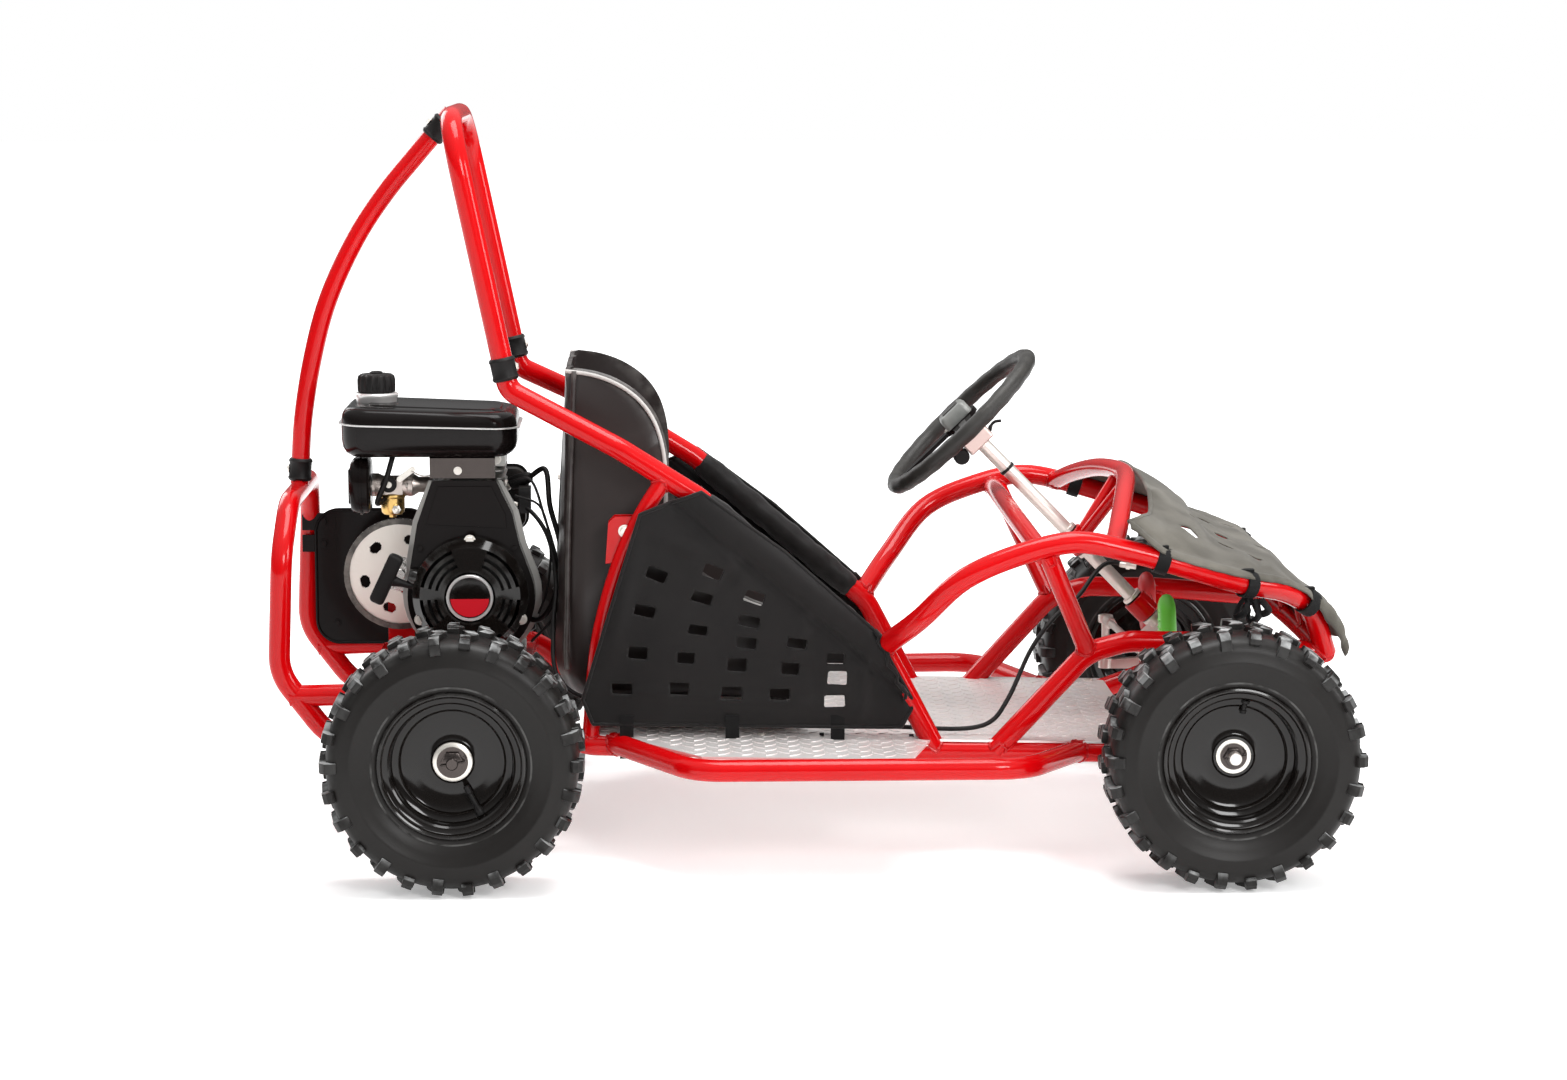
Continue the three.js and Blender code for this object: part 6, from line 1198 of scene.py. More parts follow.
shape = Shape()
shape.turned([(0, 0.094), (0.007, 0.094), (0.008, 0.095), (0.008, 0.171), (0.007, 0.172), (0, 0.172)],
    jack_centre, (0, 1, 0), 32, 1)
sprocket(shape, jack_centre, primary_y, 48, 0.0045, 0.012, [(0.3, 0.38, 4, 22), (0.58, 0.76, 6, 21)])
shape.turned([(0.0078, 0.0972), (0.014, 0.0972), (0.0155, 0.0985), (0.0155, 0.1035), (0.024, 0.1037),
    (0.024, 0.1085), (0.0155, 0.1087), (0.014, 0.113), (0.0078, 0.113)], jack_centre, (0, 1, 0), 48, 1)
bolt_circle(shape, jack_centre, 4, 0.6, 0.0195, 0.1037, (0, -1, 0), 0.0042)
sprocket(shape, jack_centre, final_y, 12, 0.005, 0.0078)
shape.bush(0.0078, 0.012, 0.13, 0.156, jack_centre, (0, 1, 0), 32, 1)
piece("jackshaft_sprockets", shape, "jackshaft", [zinc_plate, disc_steel], ["jackshaft"], 32)

guard = Shape()
guard_low = xyz(along_x(-0.2299), 0, 0.2226 * hoop_height)
guard_high = xyz(along_x(-0.0619), 0, 0.4241 * hoop_height)
guard_outer = hanger_across - tube_radius - 0.0024
guard_outline = rounded_loop((guard_low.x, guard_low.z), (guard_high.x, guard_high.z), 0.034, 12)
guard.slab(guard_outline, xyz(0, guard_outer, 0), across_x, up_z, 0.0022)
rim_line = [xyz(u, guard_outer - 0.0025, v)
    for u, v in rounded_loop((guard_low.x + 0.002, guard_low.z + 0.002),
    (guard_high.x - 0.002, guard_high.z - 0.002), 0.032, 12)]
guard.tube(rim_line, 0.0022, 10, 0, closed=True)
leg_x = along_x(-0.2371)
for share in (0.372, 0.404):
    height = share * hoop_height
    guard.block((leg_x - 0.01, guard_outer - 0.0024, height - 0.012), (guard_low.x + 0.03, guard_outer,
        height + 0.012))
    guard.bolt(xyz(leg_x + 0.02, guard_outer - 0.0024, height), (0, -1, 0), 0.0052)
for x, z in ((0.03, 0.03), (0.132, 0.03)):
    guard.bolt(xyz(guard_low.x + x, guard_outer - 0.0022, guard_low.z + z), (0, -1, 0), 0.0042)
piece("chain_guard_plate", guard, "chassis", [shroud_black, zinc_plate], ["chain_guard"], 38,
    0.0005)


def castle_nut(shape, centre, side, size, height, finish=0):
    """A hexagon nut with slots, over a threaded end with a split pin."""
    axis = xyz(0, side, 0)
    shape.rod(size * 1.3, 0, 0.0022, centre, axis, 40, finish)
    body = [(0, 0.002), (size, 0.002), (size, height * 0.62), (size * 0.9, height * 0.68), (0, height * 0.68)]
    shape.turned(body, centre, axis, 6, finish)
    for k in range(6):
        turn = pi * (k + 0.5) / 3
        spot = xyz(cos(turn), 0, sin(turn))
        along = xyz(-sin(turn), 0, cos(turn))
        reach = size * 0.74
        tooth = [(-size * 0.2, 0), (size * 0.2, 0), (size * 0.2, size * 0.26), (-size * 0.2, size * 0.26)]
        origin = centre + spot * (reach - size * 0.13) + axis * height * 0.66
        shape.slab(tooth, origin, along, spot, -side * height * 0.34, finish)
    shape.turned([(0, 0), (size * 0.5, 0), (size * 0.5, height * 1.18), (size * 0.42, height * 1.28),
        (0, height * 1.28)], centre, axis, 32, finish)
    pin = centre + axis * height * 0.84
    shape.tube([pin - xyz(size, 0, size * 0.15), pin + xyz(size, 0, size * 0.15)], 0.0013, 10, finish)
    bend_end = pin + xyz(size, 0, size * 0.15)
    shape.tube([bend_end, bend_end + xyz(0.002, 0, 0.002), bend_end + xyz(0, side * 0.002, 0.008)], 0.0011,
        8, finish)


shape = Shape()
axle_wall = 0.0125
shape.turned([(0, -0.43), (0.011, -0.43), (axle_wall, -0.4285), (axle_wall, 0.4285), (0.011, 0.43),
    (0, 0.43)], axle_centre, (0, 1, 0), 40)
for side in sides.values():
    out = xyz(0, side, 0)
    shape.turned([(0.012, 0.352), (0.019, 0.352), (0.021, 0.356), (0.021, 0.402), (0.029, 0.4065),
        (0.03, 0.4085), (0.03, 0.4116), (0.012, 0.4116)], axle_centre, out, 48, 1)
    shape.turned([(0.012, 0.4186), (0.0245, 0.4186), (0.025, 0.4195), (0.0245, 0.4215), (0.0205, 0.4238),
        (0.012, 0.424)], axle_centre, out, 56)
    castle_nut(shape, axle_centre + out * 0.4236, side, 0.015, 0.012, 1)
    for face in (-1, 1):
        collar = axle_centre + out * (0.195 + face * 0.026)
        shape.bush(0.012, 0.02, -0.005, 0.005, collar, out, 36, 1, bevel=0.001)
disc_radii = [0.018, 0.027, 0.032, 0.0385, 0.043, 0.047, 0.0515, 0.056, 0.064]


def disc_holes(row, angle):
    return (row == 1 and angle % 60 < 34) or (row == 3 and angle % 30 < 9) or (row == 5
        and (angle + 10) % 30 < 9)


polar_plate(shape, axle_centre + xyz(0, -0.118, 0), (0, 1, 0), disc_radii, 120, lambda r: 0.0018,
    lambda r: -0.0018, disc_holes, 2)
shape.bush(0.012, 0.021, -0.127, -0.109, axle_centre, (0, 1, 0), 40, 1, bevel=0.001)
piece("rear_axle_and_disc", shape, "rear_axle", [zinc_plate, plate_steel, disc_steel], ["rear_axle"],
    32)

shape = Shape()
sprocket(shape, axle_centre, final_y, 34, 0.0048, 0.022, [(0.6, 0.8, 6, 30)], 0)
shape.turned([(0.0127, 0.125), (0.021, 0.125), (0.022, 0.126), (0.022, 0.1385), (0.029, 0.1395),
    (0.029, 0.1412), (0.029, 0.146), (0.022, 0.1465), (0.022, 0.151), (0.021, 0.152), (0.0127, 0.152)],
    axle_centre, (0, 1, 0), 48, 1)
bolt_circle(shape, axle_centre, 6, 0.5, 0.0255, 0.1395, (0, -1, 0), 0.0036)
piece("axle_sprocket_toothed", shape, "rear_axle", [zinc_plate, disc_steel], ["axle_sprocket"], 32)

caliper = Shape()
caliper_front = rear_axle.x - 0.064 + 0.018
for side in (-1, 1):
    face = -0.118 + side * 0.0105
    stacked(caliper, (caliper_front - 0.034, axle_height - 0.026),
        (caliper_front - 0.001, axle_height + 0.026), 0.011, [(0.0015, -0.0062), (0, -0.0045), (0, 0.0045),
        (0.0015, 0.0062)], lambda u, v, level, face=face: (u, face + level, v))
    pad_out = -0.118 + side * 0.003
    caliper.block((caliper_front - 0.026, pad_out - 0.0012, axle_height - 0.018),
        (caliper_front - 0.003, pad_out + 0.0012, axle_height + 0.018), 1)
caliper.block((caliper_front - 0.034, -0.132, axle_height - 0.02), (caliper_front - 0.022, -0.104,
    axle_height + 0.02))
caliper.turned([(0, 0), (0.013, 0), (0.013, 0.002), (0.0105, 0.0036), (0, 0.0036)],
    xyz(caliper_front - 0.015, -0.1338, axle_height), (0, -1, 0), 32, 2)
for z in (-0.019, 0.019):
    caliper.bolt(xyz(caliper_front - 0.027, -0.1345, axle_height + z), (0, -1, 0), 0.0042, 2, 0.5)
bracket = [(caliper_front - 0.034, axle_height), (caliper_front - 0.012, axle_height + 0.012),
    (cradle_rear_x + 0.021, cradle_z - 0.004), (cradle_rear_x + 0.01, cradle_z + 0.01),
    (cradle_rear_x - 0.004, cradle_z - 0.014)]
caliper.slab([(u - caliper_front, v) for u, v in bracket], xyz(caliper_front, -0.1062, 0), across_x, up_z,
    -0.0045, 3)
piece("brake_caliper_cast", caliper, "chassis", [cast_grey, black_rubber, zinc_plate, red_coat],
    ["brake_caliper"], 38, 0.0006)

# Under the engine: the cradle's cross tubes and plate, the jackshaft's two bearing plates, and
# the hangers with the bearings that carry the rear axle.


def polar(radius, angle):
    return (radius * cos(angle), radius * sin(angle))


cradle = Shape()
for tube_name in ("cradle_rear", "cradle_front"):
    cradle.tube([xyz(p.x, p.y * 0.994, p.z) for p in routes[tube_name]], cross_radius)
    for end, rail in ((0, "right"), (-1, "left")):
        weld(cradle, tube_name, end, ("rear_hoop" if tube_name == "cradle_rear" else "floor_rail_" + rail))
plate_top = engine_foot - 0.0003
cradle.block((cradle_rear_x - 0.0125, -0.095, plate_top - 0.003), (cradle_front_x + 0.0125, 0.095, plate_top))
for end in (-1, 1):
    for x in (cradle_rear_x, cradle_front_x):
        cradle.tube([xyz(x - 0.012, end * 0.0952, plate_top - 0.0012),
            xyz(x + 0.012, end * 0.0952, plate_top - 0.0012)], 0.002, 8, 1)
for face in (0.118, 0.16):
    outline = [(-0.018, plate_top - 0.018 - jack_centre.z), (0.018, plate_top - 0.018 - jack_centre.z)]
    outline += [polar(0.018, pi * k / 16) for k in range(17)]
    cradle.slab(outline, jack_centre + xyz(0, face, 0), across_x, up_z, -0.006)
    cradle.turned([(0.0084, 0), (0.0135, 0), (0.015, 0.001), (0.015, 0.0022), (0.0084, 0.0022)],
        jack_centre + xyz(0, face + 0.0055, 0), (0, 1, 0), 36, 2)
    cradle.turned([(0.0084, 0), (0.0135, 0), (0.015, 0.001), (0.015, 0.0022), (0.0084, 0.0022)],
        jack_centre + xyz(0, face + 0.0005, 0), (0, -1, 0), 36, 2)
piece("engine_cradle_welded", cradle, "chassis", [red_coat, weld_red, zinc_plate],
    ["engine_cradle"], 38, 0.0008)

for side_name, side in sides.items():
    hanger = Shape()
    hanger_low = axle_height - 0.012
    hanger_top = 0.2173 * hoop_height - 0.006
    outline = [(-0.0445, hanger_top), (-0.0445, hanger_top - 0.018), (-0.03, hanger_low),
        (-0.02, hanger_low - 0.012), (0.02, hanger_low - 0.012), (0.03, hanger_low),
        (0.0445, hanger_top - 0.018), (0.0445, hanger_top)]
    hanger.slab(outline, xyz(rear_axle.x, side * hanger_across + 0.004, 0), across_x, up_z, 0.008)
    hanger.bush(0.0129, 0.03, -0.013, 0.013, xyz(rear_axle.x, side * hanger_across, axle_height), (0, 1, 0),
        56, bevel=0.0015)
    for face in (-1, 1):
        hanger.turned([(0.015, 0), (0.025, 0), (0.025, 0.0008), (0.015, 0.0012)],
            xyz(rear_axle.x, side * hanger_across + face * 0.0128, axle_height), (0, face, 0), 48, 1)
    for end in (-1, 1):
        hanger.tube([xyz(rear_axle.x - 0.04, side * hanger_across + end * 0.005, hanger_top - 0.003),
            xyz(rear_axle.x + 0.04, side * hanger_across + end * 0.005, hanger_top - 0.003)], 0.0024, 8, 2)
    piece("axle_hanger_welded_" + side_name, hanger, "chassis", [red_coat, zinc_plate, weld_red],
        ["axle_hanger_" + side_name], 38, 0.0008)

# Floor and seat: a sheet with raised lozenges under the driver, and a deep moulded bucket on a
# red post frame, bolted through two plates beside the driver's shoulders.
tread_sheet = finish("tread_sheet", (0.9, 0.85, 0.83), 0.36, metallic=0.55, tone=0.22, dust_and_highlight=0.06, edge=0.4,
    edge_wear_and_highlight_color=(0.85, 0.85, 0.85), grain=300, bump=0.1)
seat_plastic = finish("seat_plastic", (0.022, 0.016, 0.015), 0.36, tone=0.35, dust_and_highlight=0.04, edge=0.5,
    edge_wear_and_highlight_color=(0.16, 0.15, 0.14), grain=1300, bump=0.25, specular=0.4)
# The seat rim's pale grey is a painted highlight along the rolled edge of each wing.
seat_rim_highlight = finish("seat_cut_edge", (0.46, 0.44, 0.42), 0.45, tone=0.5, dust_and_highlight=0, grain=500, bump=0.1)
pan_slope = -0.0191
pan_top = 0.1596


def pan_height(x):
    return pan_top + (x - (along_x(0.1505))) * pan_slope


pan_shares = [(0.165, 1), (0.205, 1.04), (0.318, 1.635), (0.59, 1.64), (0.625, 1.04), (0.912, 1.04)]
pan_edge = [(along_x(along), across * half_frame) for along, across in pan_shares]
pan_outline = [(x, -y) for x, y in pan_edge] + [(x, y) for x, y in pan_edge[::-1]]
slope_x = xyz(1, 0, pan_slope)
pan = Shape()
pan.slab(pan_outline, xyz(0, 0, pan_height(0) - 0.003), slope_x, xyz(0, 1, 0), 0.003)


def inside_pan(x, y):
    reach = None
    for (x0, y0), (x1, y1) in zip(pan_edge, pan_edge[1:]):
        if x0 <= x <= x1:
            reach = y0 + (y1 - y0) * (x - x0) / (x1 - x0)
    return reach is not None and abs(y) < reach - 0.012


row = 0
x = pan_edge[0][0] + 0.012
while x < pan_edge[-1][0] - 0.01:
    y = -0.36 + (row % 2) * 0.015
    turn = radians(45 if row % 2 else -45)
    while y < 0.37:
        if inside_pan(x, y):
            lozenge = [(-0.0105, 0), (0, -0.0026), (0.0105, 0), (0, 0.0026)]
            ridge = xyz(cos(turn), sin(turn), pan_slope * cos(turn))
            cross = xyz(-sin(turn), cos(turn), -pan_slope * sin(turn))
            pan.slab(lozenge, xyz(x, y, pan_height(x) - 0.0002), ridge, cross, 0.0011)
        y += 0.03
    x += 0.015
    row += 1
for share in (0.2, 0.4, 0.62, 0.89):
    for side in sides.values():
        spot_x = along_x(share)
        pan.bolt(xyz(spot_x, side * 0.96 * half_frame, pan_height(spot_x)), (0, 0, 1), 0.0048, 1, 0.5)
piece("floor_sheet", pan, "chassis", [tread_sheet, zinc_plate], ["floor_pan"], 30)

frame_shape = Shape()
for side_name in sides:
    frame_shape.tube(routes["post_" + side_name], post_radius)
    weld(frame_shape, "post_" + side_name, 0, "seat_rail_" + side_name)
    weld(frame_shape, "post_" + side_name, -1, "floor_rail_" + side_name)
frame_shape.tube(routes["seat_cross"], post_radius)
for side_name, side in sides.items():
    low, high = side_point(0.1969, 0.4008), side_point(0.2402, 0.4652)
    outer = [(low.x - 0.004, low.z), (high.x - 0.01, low.z + 0.004), (high.x + 0.006, high.z - 0.004),
        (high.x - 0.01, high.z), (low.x + 0.008, high.z), (low.x, high.z - 0.008)]
    frame_shape.slab(outer, xyz(0, side * 0.213, 0), across_x, up_z, 0.004)
    frame_shape.slab(outer, xyz(0, side * 0.1945 + 0.001, 0), across_x, up_z, 0.004)
    spine = xyz((low.x + high.x) / 2, side * 0.202, (low.z + high.z) / 2)
    frame_shape.tube([spine + xyz(0, side * -0.0112, 0), spine + xyz(0, side * 0.012, 0)], 0.0085, 20)
    frame_shape.bolt(spine + xyz(0, side * 0.0152, 0.012), (0, side, 0), 0.0062, 2)
    frame_shape.bolt(spine + xyz(0, side * 0.0152, -0.022), (0, side, 0), 0.005, 2)
piece("seat_frame_posts", frame_shape, "chassis", [red_coat, weld_red, zinc_plate],
    ["seat_frame"], 38, 0.0006)

seat_profile = [(0.139, 0.656), (0.178, 0.65), (0.211, 0.637), (0.24, 0.615), (0.259, 0.587), (0.27, 0.55),
    (0.2735, 0.51), (0.2745, 0.46), (0.3, 0.396), (0.3711, 0.3481), (0.4433, 0.3165), (0.4763, 0.2764),
    (0.4804, 0.2257), (0.4536, 0.2065)]
seat_back = [(0.4536, 0.2065), (0.36, 0.204), (0.25, 0.2025), (0.1546, 0.2015), (0.132, 0.2268),
    (0.1289, 0.3481), (0.1351, 0.5696), (0.139, 0.656)]
seat_half = half_frame - 0.033
seat_wall = 0.006
rim_route = smooth([side_point(*share) for share in seat_profile], 6)
back_route = smooth([side_point(*share) for share in seat_back], 10)[::-1]
along_count = 80
across_count = 56
rim_points = resampled(rim_route, along_count)
back_points = resampled(back_route, along_count)
seat_shape = Shape()


def seat_reach(height):
    """Half the seat's width, less near the top of the back."""
    return seat_half * (1 - 0.24 * min(max((height - 0.43) / 0.19, 0), 1) ** 1.3)


seat_creases = (((0.151, 0.523), (0.2596, 0.5847)), ((0.193, 0.46), (0.25, 0.506)))


def seat_surface(row, across, inset):
    """A point of the shell: a wall on each side rises from the back or base to the wing's edge."""
    edge = rim_points[row]
    base = back_points[row]
    depth = edge - base
    share = abs(across)
    side_reach = seat_reach(edge.z) - inset
    if share < 0.62:
        flat = share / 0.62
        y = flat * side_reach * 0.8
        lift = 0.035 * flat ** 3
    elif share < 0.8:
        turn = (share - 0.62) / 0.18
        y = side_reach * (0.8 + 0.2 * sin(turn * pi / 2))
        lift = 0.035 + 0.14 * (1 - cos(turn * pi / 2))
    else:
        y = side_reach
        lift = 0.175 + 0.825 * (share - 0.8) / 0.2
    height = row / along_count
    groove = 0.0045 * exp(-((abs(y) - 0.075) / 0.008) ** 2) if share < 0.62 else 0.0
    hollow = 0.01 * sin(pi * height) * (1 - min(share / 0.62, 1) ** 2)
    inward = depth.normalized() if depth.length > 1e-6 else xyz(1, 0, 0)
    spot = base + depth * lift + inward * (inset + groove - hollow)
    if share > 0.7:
        for (a0, u0), (a1, u1) in seat_creases:
            start, end = side_point(a0, u0), side_point(a1, u1)
            run = (end - start).normalized()
            above = (spot - start).dot(xyz(-run.z, 0, run.x))
            y -= 0.0022 / (1 + exp(-above / 0.003))
    return xyz(spot.x, copysign(y, across) if across else 0, spot.z)


inner_grid, outer_grid = [], []
for row in range(along_count + 1):
    for column in range(across_count + 1):
        across = 2 * column / across_count - 1
        inner_grid.append(seat_surface(row, across, seat_wall))
        outer_grid.append(seat_surface(row, across, 0))
grid_faces = []
width = across_count + 1
for row in range(along_count):
    for column in range(across_count):
        a = row * width + column
        grid_faces.append((a, a + 1, a + width + 1, a + width))
shift = len(inner_grid)
shell_faces = grid_faces + [tuple(shift + i for i in face[::-1]) for face in grid_faces]
border = list(range(width))
border += [row * width + across_count for row in range(1, along_count + 1)]
border += [along_count * width + column for column in range(across_count - 1, -1, -1)]
border += [row * width for row in range(along_count - 1, 0, -1)]
for k, here in enumerate(border):
    there = border[(k + 1) % len(border)]
    shell_faces.append((there, here, shift + here, shift + there))
seat_shape.add(inner_grid + outer_grid, shell_faces)
edge_line = [spot + xyz(0, seat_reach(spot.z) - 0.001, 0) for spot in rim_points]
# The rim tube on each wing takes the pale painted highlight finish.
for side in (-1, 1):
    seat_shape.tube([xyz(p.x, side * p.y, p.z) for p in edge_line], 0.0026, 12, 2)
    bead = [point + xyz(0.012, side * (seat_reach(rim_points[row].z) - 0.0002), 0)
        for row, point in enumerate(back_points) if point.z > 0.235]
    seat_shape.tube(bead, 0.0038, 10, 0)
for share in (0.515, 0.6):
    for side in (-1, 1):
        row = min(range(along_count + 1), key=lambda i: abs(back_points[i].z - share * hoop_height))
        spot = back_points[row] + xyz(-0.001, side * (seat_reach(rim_points[row].z) - 0.004), 0)
        seat_shape.bolt(spot, (-1, 0, 0), 0.0034, 1, 0.9)
for side in (-1, 1):
    foot_x = along_x(0.42)
    foot_top = 0.206 * hoop_height
    seat_shape.block((foot_x - 0.015, side * 0.133 - 0.015, pan_height(foot_x) + 0.0004),
        (foot_x + 0.015, side * 0.133 + 0.015, foot_top), 0)
piece("seat_bucket", seat_shape, "chassis", [seat_plastic, zinc_plate, seat_rim_highlight],
    ["seat_shell"], 50)

# Front beam and steering: a cross beam with a kingpin at each end, knuckles with their spindles
# and arms, tie rods to the foot of the column, and the wheel with its boxy pad.
rod_zinc = finish("rod_zinc", (0.78, 0.72, 0.67), 0.34, metallic=0.7, tone=0.1, dust_and_highlight=0, edge=0.3,
    edge_wear_and_highlight_color=(0.85, 0.82, 0.78), grain=240, bump=0.03)
block_zinc = finish("block_zinc", (0.7, 0.55, 0.51), 0.36, metallic=0.8, tone=0.3, dust_and_highlight=0, edge=0.4,
    edge_wear_and_highlight_color=(0.9, 0.84, 0.8), grain=400, bump=0.08)
grip_foam = finish("grip_foam", (0.02, 0.0185, 0.0165), 0.42, tone=0.35, dust_and_highlight=0.06, edge=0.2,
    edge_wear_and_highlight_color=(0.05, 0.05, 0.05), grain=1800, bump=0.4, depth=0.0006, specular=0.35)
green_rubber = finish("green_rubber", (0.13, 0.66, 0.05), 0.42, tone=0.25, dust_and_highlight=0.1, edge=0.2,
    edge_wear_and_highlight_color=(0.3, 0.8, 0.2), grain=700, bump=0.2)
red_rubber = finish("red_rubber", (0.55, 0.012, 0.015), 0.42, tone=0.25, dust_and_highlight=0.1, edge=0.2,
    edge_wear_and_highlight_color=(0.7, 0.2, 0.2), grain=700, bump=0.2)
column_joint = next(joint for joint in frame["joints"] if joint["name"] == "steering")
column_top = joint_at["steering"]
down_column = Vector(column_joint["axis"]).normalized()
up_column = xyz(-down_column.z, 0, down_column.x)
column_length = 0.3925
kingpin_across = abs(joint_at["knuckle_right_steer"].y)


def on_column(reach, rise=0, y=0):
    return column_top + down_column * reach + up_column * rise + xyz(0, y, 0)


beam = Shape()
beam.tube(routes["front_beam"], tube_radius)
for side_name, side in sides.items():
    beam.tube(routes["upright_" + side_name], cross_radius)
    weld(beam, "upright_" + side_name, 0, "front_beam")
    weld(beam, "upright_" + side_name, -1, "lower_tube_" + side_name)
    for face in (-1, 1):
        level = axle_height + face * 0.0295
        yoke = rounded_loop((-0.02, kingpin_across - 0.026), (0.02, kingpin_across + 0.018), 0.017)
        yoke = [(u, side * v) for u, v in yoke]
        beam.slab(yoke, xyz(front_axle.x, 0, level - side * 0.003), across_x, xyz(0, 1, 0), 0.006)
    web_low = xyz(front_axle.x - 0.019, side * (kingpin_across - 0.026), axle_height - 0.03)
    beam.block(xyz(web_low.x, min(web_low.y, web_low.y - side * 0.006), web_low.z),
        xyz(web_low.x + 0.038, max(web_low.y, web_low.y - side * 0.006), web_low.z + 0.06))
    pin = xyz(front_axle.x, side * kingpin_across, axle_height)
    beam.rod(0.007, -0.0375, 0.0345, pin, up_z, 28, 2)
    beam.bolt(pin + xyz(0, 0, 0.0325), up_z, 0.0105, 2, 0.6)
    beam.bolt(pin - xyz(0, 0, 0.0325), -up_z, 0.01, 2, 0.5)
    pedal_middle = joint_at["throttle_press" if side < 0 else "brake_press"]
    for ear in (-1, 1):
        ear_y = pedal_middle.y + ear * 0.0134
        ear_outline = [polar(0.011, radians(a)) for a in range(90, 271, 15)]
        ear_outline += [(0.0345, -0.011), (0.0345, 0.011)]
        beam.slab(ear_outline, pedal_middle + xyz(0, ear_y - pedal_middle.y + 0.002, 0), across_x, up_z,
            0.004)
    beam.rod(0.0048, -0.0165, 0.0165, pedal_middle, (0, 1, 0), 24, 2)
    beam.bolt(pedal_middle + xyz(0, side * 0.0156, 0), (0, side, 0), 0.007, 2)
bush_at = 0.907 * column_length
beam.bush(0.0102, 0.017, -0.015, 0.015, on_column(bush_at), down_column, 44, bevel=0.001)
beam.bush(0.0098, 0.013, -0.0165, 0.0165, on_column(bush_at), down_column, 36, 3)
near = on_column(bush_at + 0.01, 0.0125)
far = on_column(bush_at - 0.01, 0.0125)
riser = [(near.x + 0.004, near.z - 0.006), (far.x + 0.01, far.z + 0.002),
    (front_axle.x + 0.01, axle_height + 0.01), (front_axle.x - 0.01, axle_height + 0.01)]
beam.slab(riser, xyz(0, 0.004, 0), across_x, up_z, 0.008)
piece("front_beam_welded", beam, "chassis", [red_coat, weld_red, zinc_plate, black_rubber],
    ["front_beam"], 38, 0.0006)

hood_frame = Shape()
hood_frame.tube(routes["hood_hoop"], cross_radius)
weld(hood_frame, "hood_hoop", 0, "arch_tube_right")
weld(hood_frame, "hood_hoop", -1, "arch_tube_left")
upper_bush = on_column(0.583 * column_length)
hood_frame.bush(0.0102, 0.017, -0.015, 0.015, upper_bush, down_column, 44, bevel=0.001)
hood_frame.bush(0.0098, 0.013, -0.0165, 0.0165, upper_bush, down_column, 36, 2)
hoop_top = at(hood_hoop_shares[-1])
for side in sides.values():
    start = hoop_top + xyz(0, side * 0.045, -0.002)
    end = upper_bush + up_column * 0.006 + xyz(0, side * 0.011, 0)
    hood_frame.tube([start, end], slim_radius, 20)
piece("hood_hoop_tube", hood_frame, "chassis", [red_coat, weld_red, black_rubber],
    ["hood_hoop"], 38)

for side_name, side in sides.items():
    knuckle = Shape()
    pin = xyz(front_axle.x, side * kingpin_across, axle_height)
    knuckle.bush(0.0075, 0.013, -0.0255, 0.0255, pin, up_z, 40, bevel=0.001)
    out = xyz(0, side, 0)
    knuckle.turned([(0, 0.01), (0.013, 0.01), (0.014, 0.016), (0.014, 0.084), (0.013, 0.0855),
        (0.008, 0.0855), (0.008, 0.148), (0.0072, 0.149), (0, 0.149)], pin, out, 36)
    castle_nut(knuckle, pin + out * 0.1288, side, 0.0128, 0.01, 1)
    arm = [(-0.074, -0.011), (-0.071, -0.0135), (-0.01, -0.0135), (-0.01, 0.0125), (-0.03, 0.002),
        (-0.074, -0.001)]
    knuckle.slab(arm, pin + xyz(0, 0.006, 0), across_x, up_z, 0.012)
    arm_end = xyz(joint_at["tie_rod_" + side_name + "_swing"].x, side * kingpin_across, axle_height - 0.013)
    knuckle.turned([(0, 0), (0.01, 0), (0.01, 0.014), (0.0058, 0.016), (0.0058, 0.07), (0.005, 0.0708),
        (0, 0.0708)], arm_end, up_z, 30)
    knuckle.bolt(arm_end + xyz(0, 0, 0.0655), up_z, 0.0085, 0, 0.5, False)
    piece("knuckle_forged_" + side_name, knuckle, "knuckle_" + side_name, [rod_zinc, plate_steel],
        ["knuckle_" + side_name], 38, 0.0005)

    link = Shape()
    eye = joint_at["tie_rod_" + side_name + "_swing"].copy()
    inner = on_column(column_length + 0.0076, -0.0437, side * 0.026)
    run = inner - eye
    link.turned([(0.0062, -0.0055), (0.01, -0.0055), (0.011, -0.004), (0.011, 0.004), (0.01, 0.0055),
        (0.0062, 0.0055)], eye, up_z, 32)
    link.tube([eye.lerp(inner, s) for s in (0.045, 0.05, 0.16, 0.165, 0.84, 0.845, 0.95, 0.955)],
        [0.0068, 0.0072, 0.0072, 0.005, 0.005, 0.0072, 0.0072, 0.006], 24)
    for s in (0.175, 0.825):
        link.bolt(eye.lerp(inner, s) - run.normalized() * 0.003, run, 0.0082, 0, 0.75, False)
    ball = [(0.0069 * sin(pi * k / 12), -0.0069 * cos(pi * k / 12)) for k in range(13)]
    link.turned(ball, inner, up_z, 24)
    piece("tie_rod_turned_" + side_name, link, "tie_rod_" + side_name, [rod_zinc],
        ["tie_rod_" + side_name], 38)

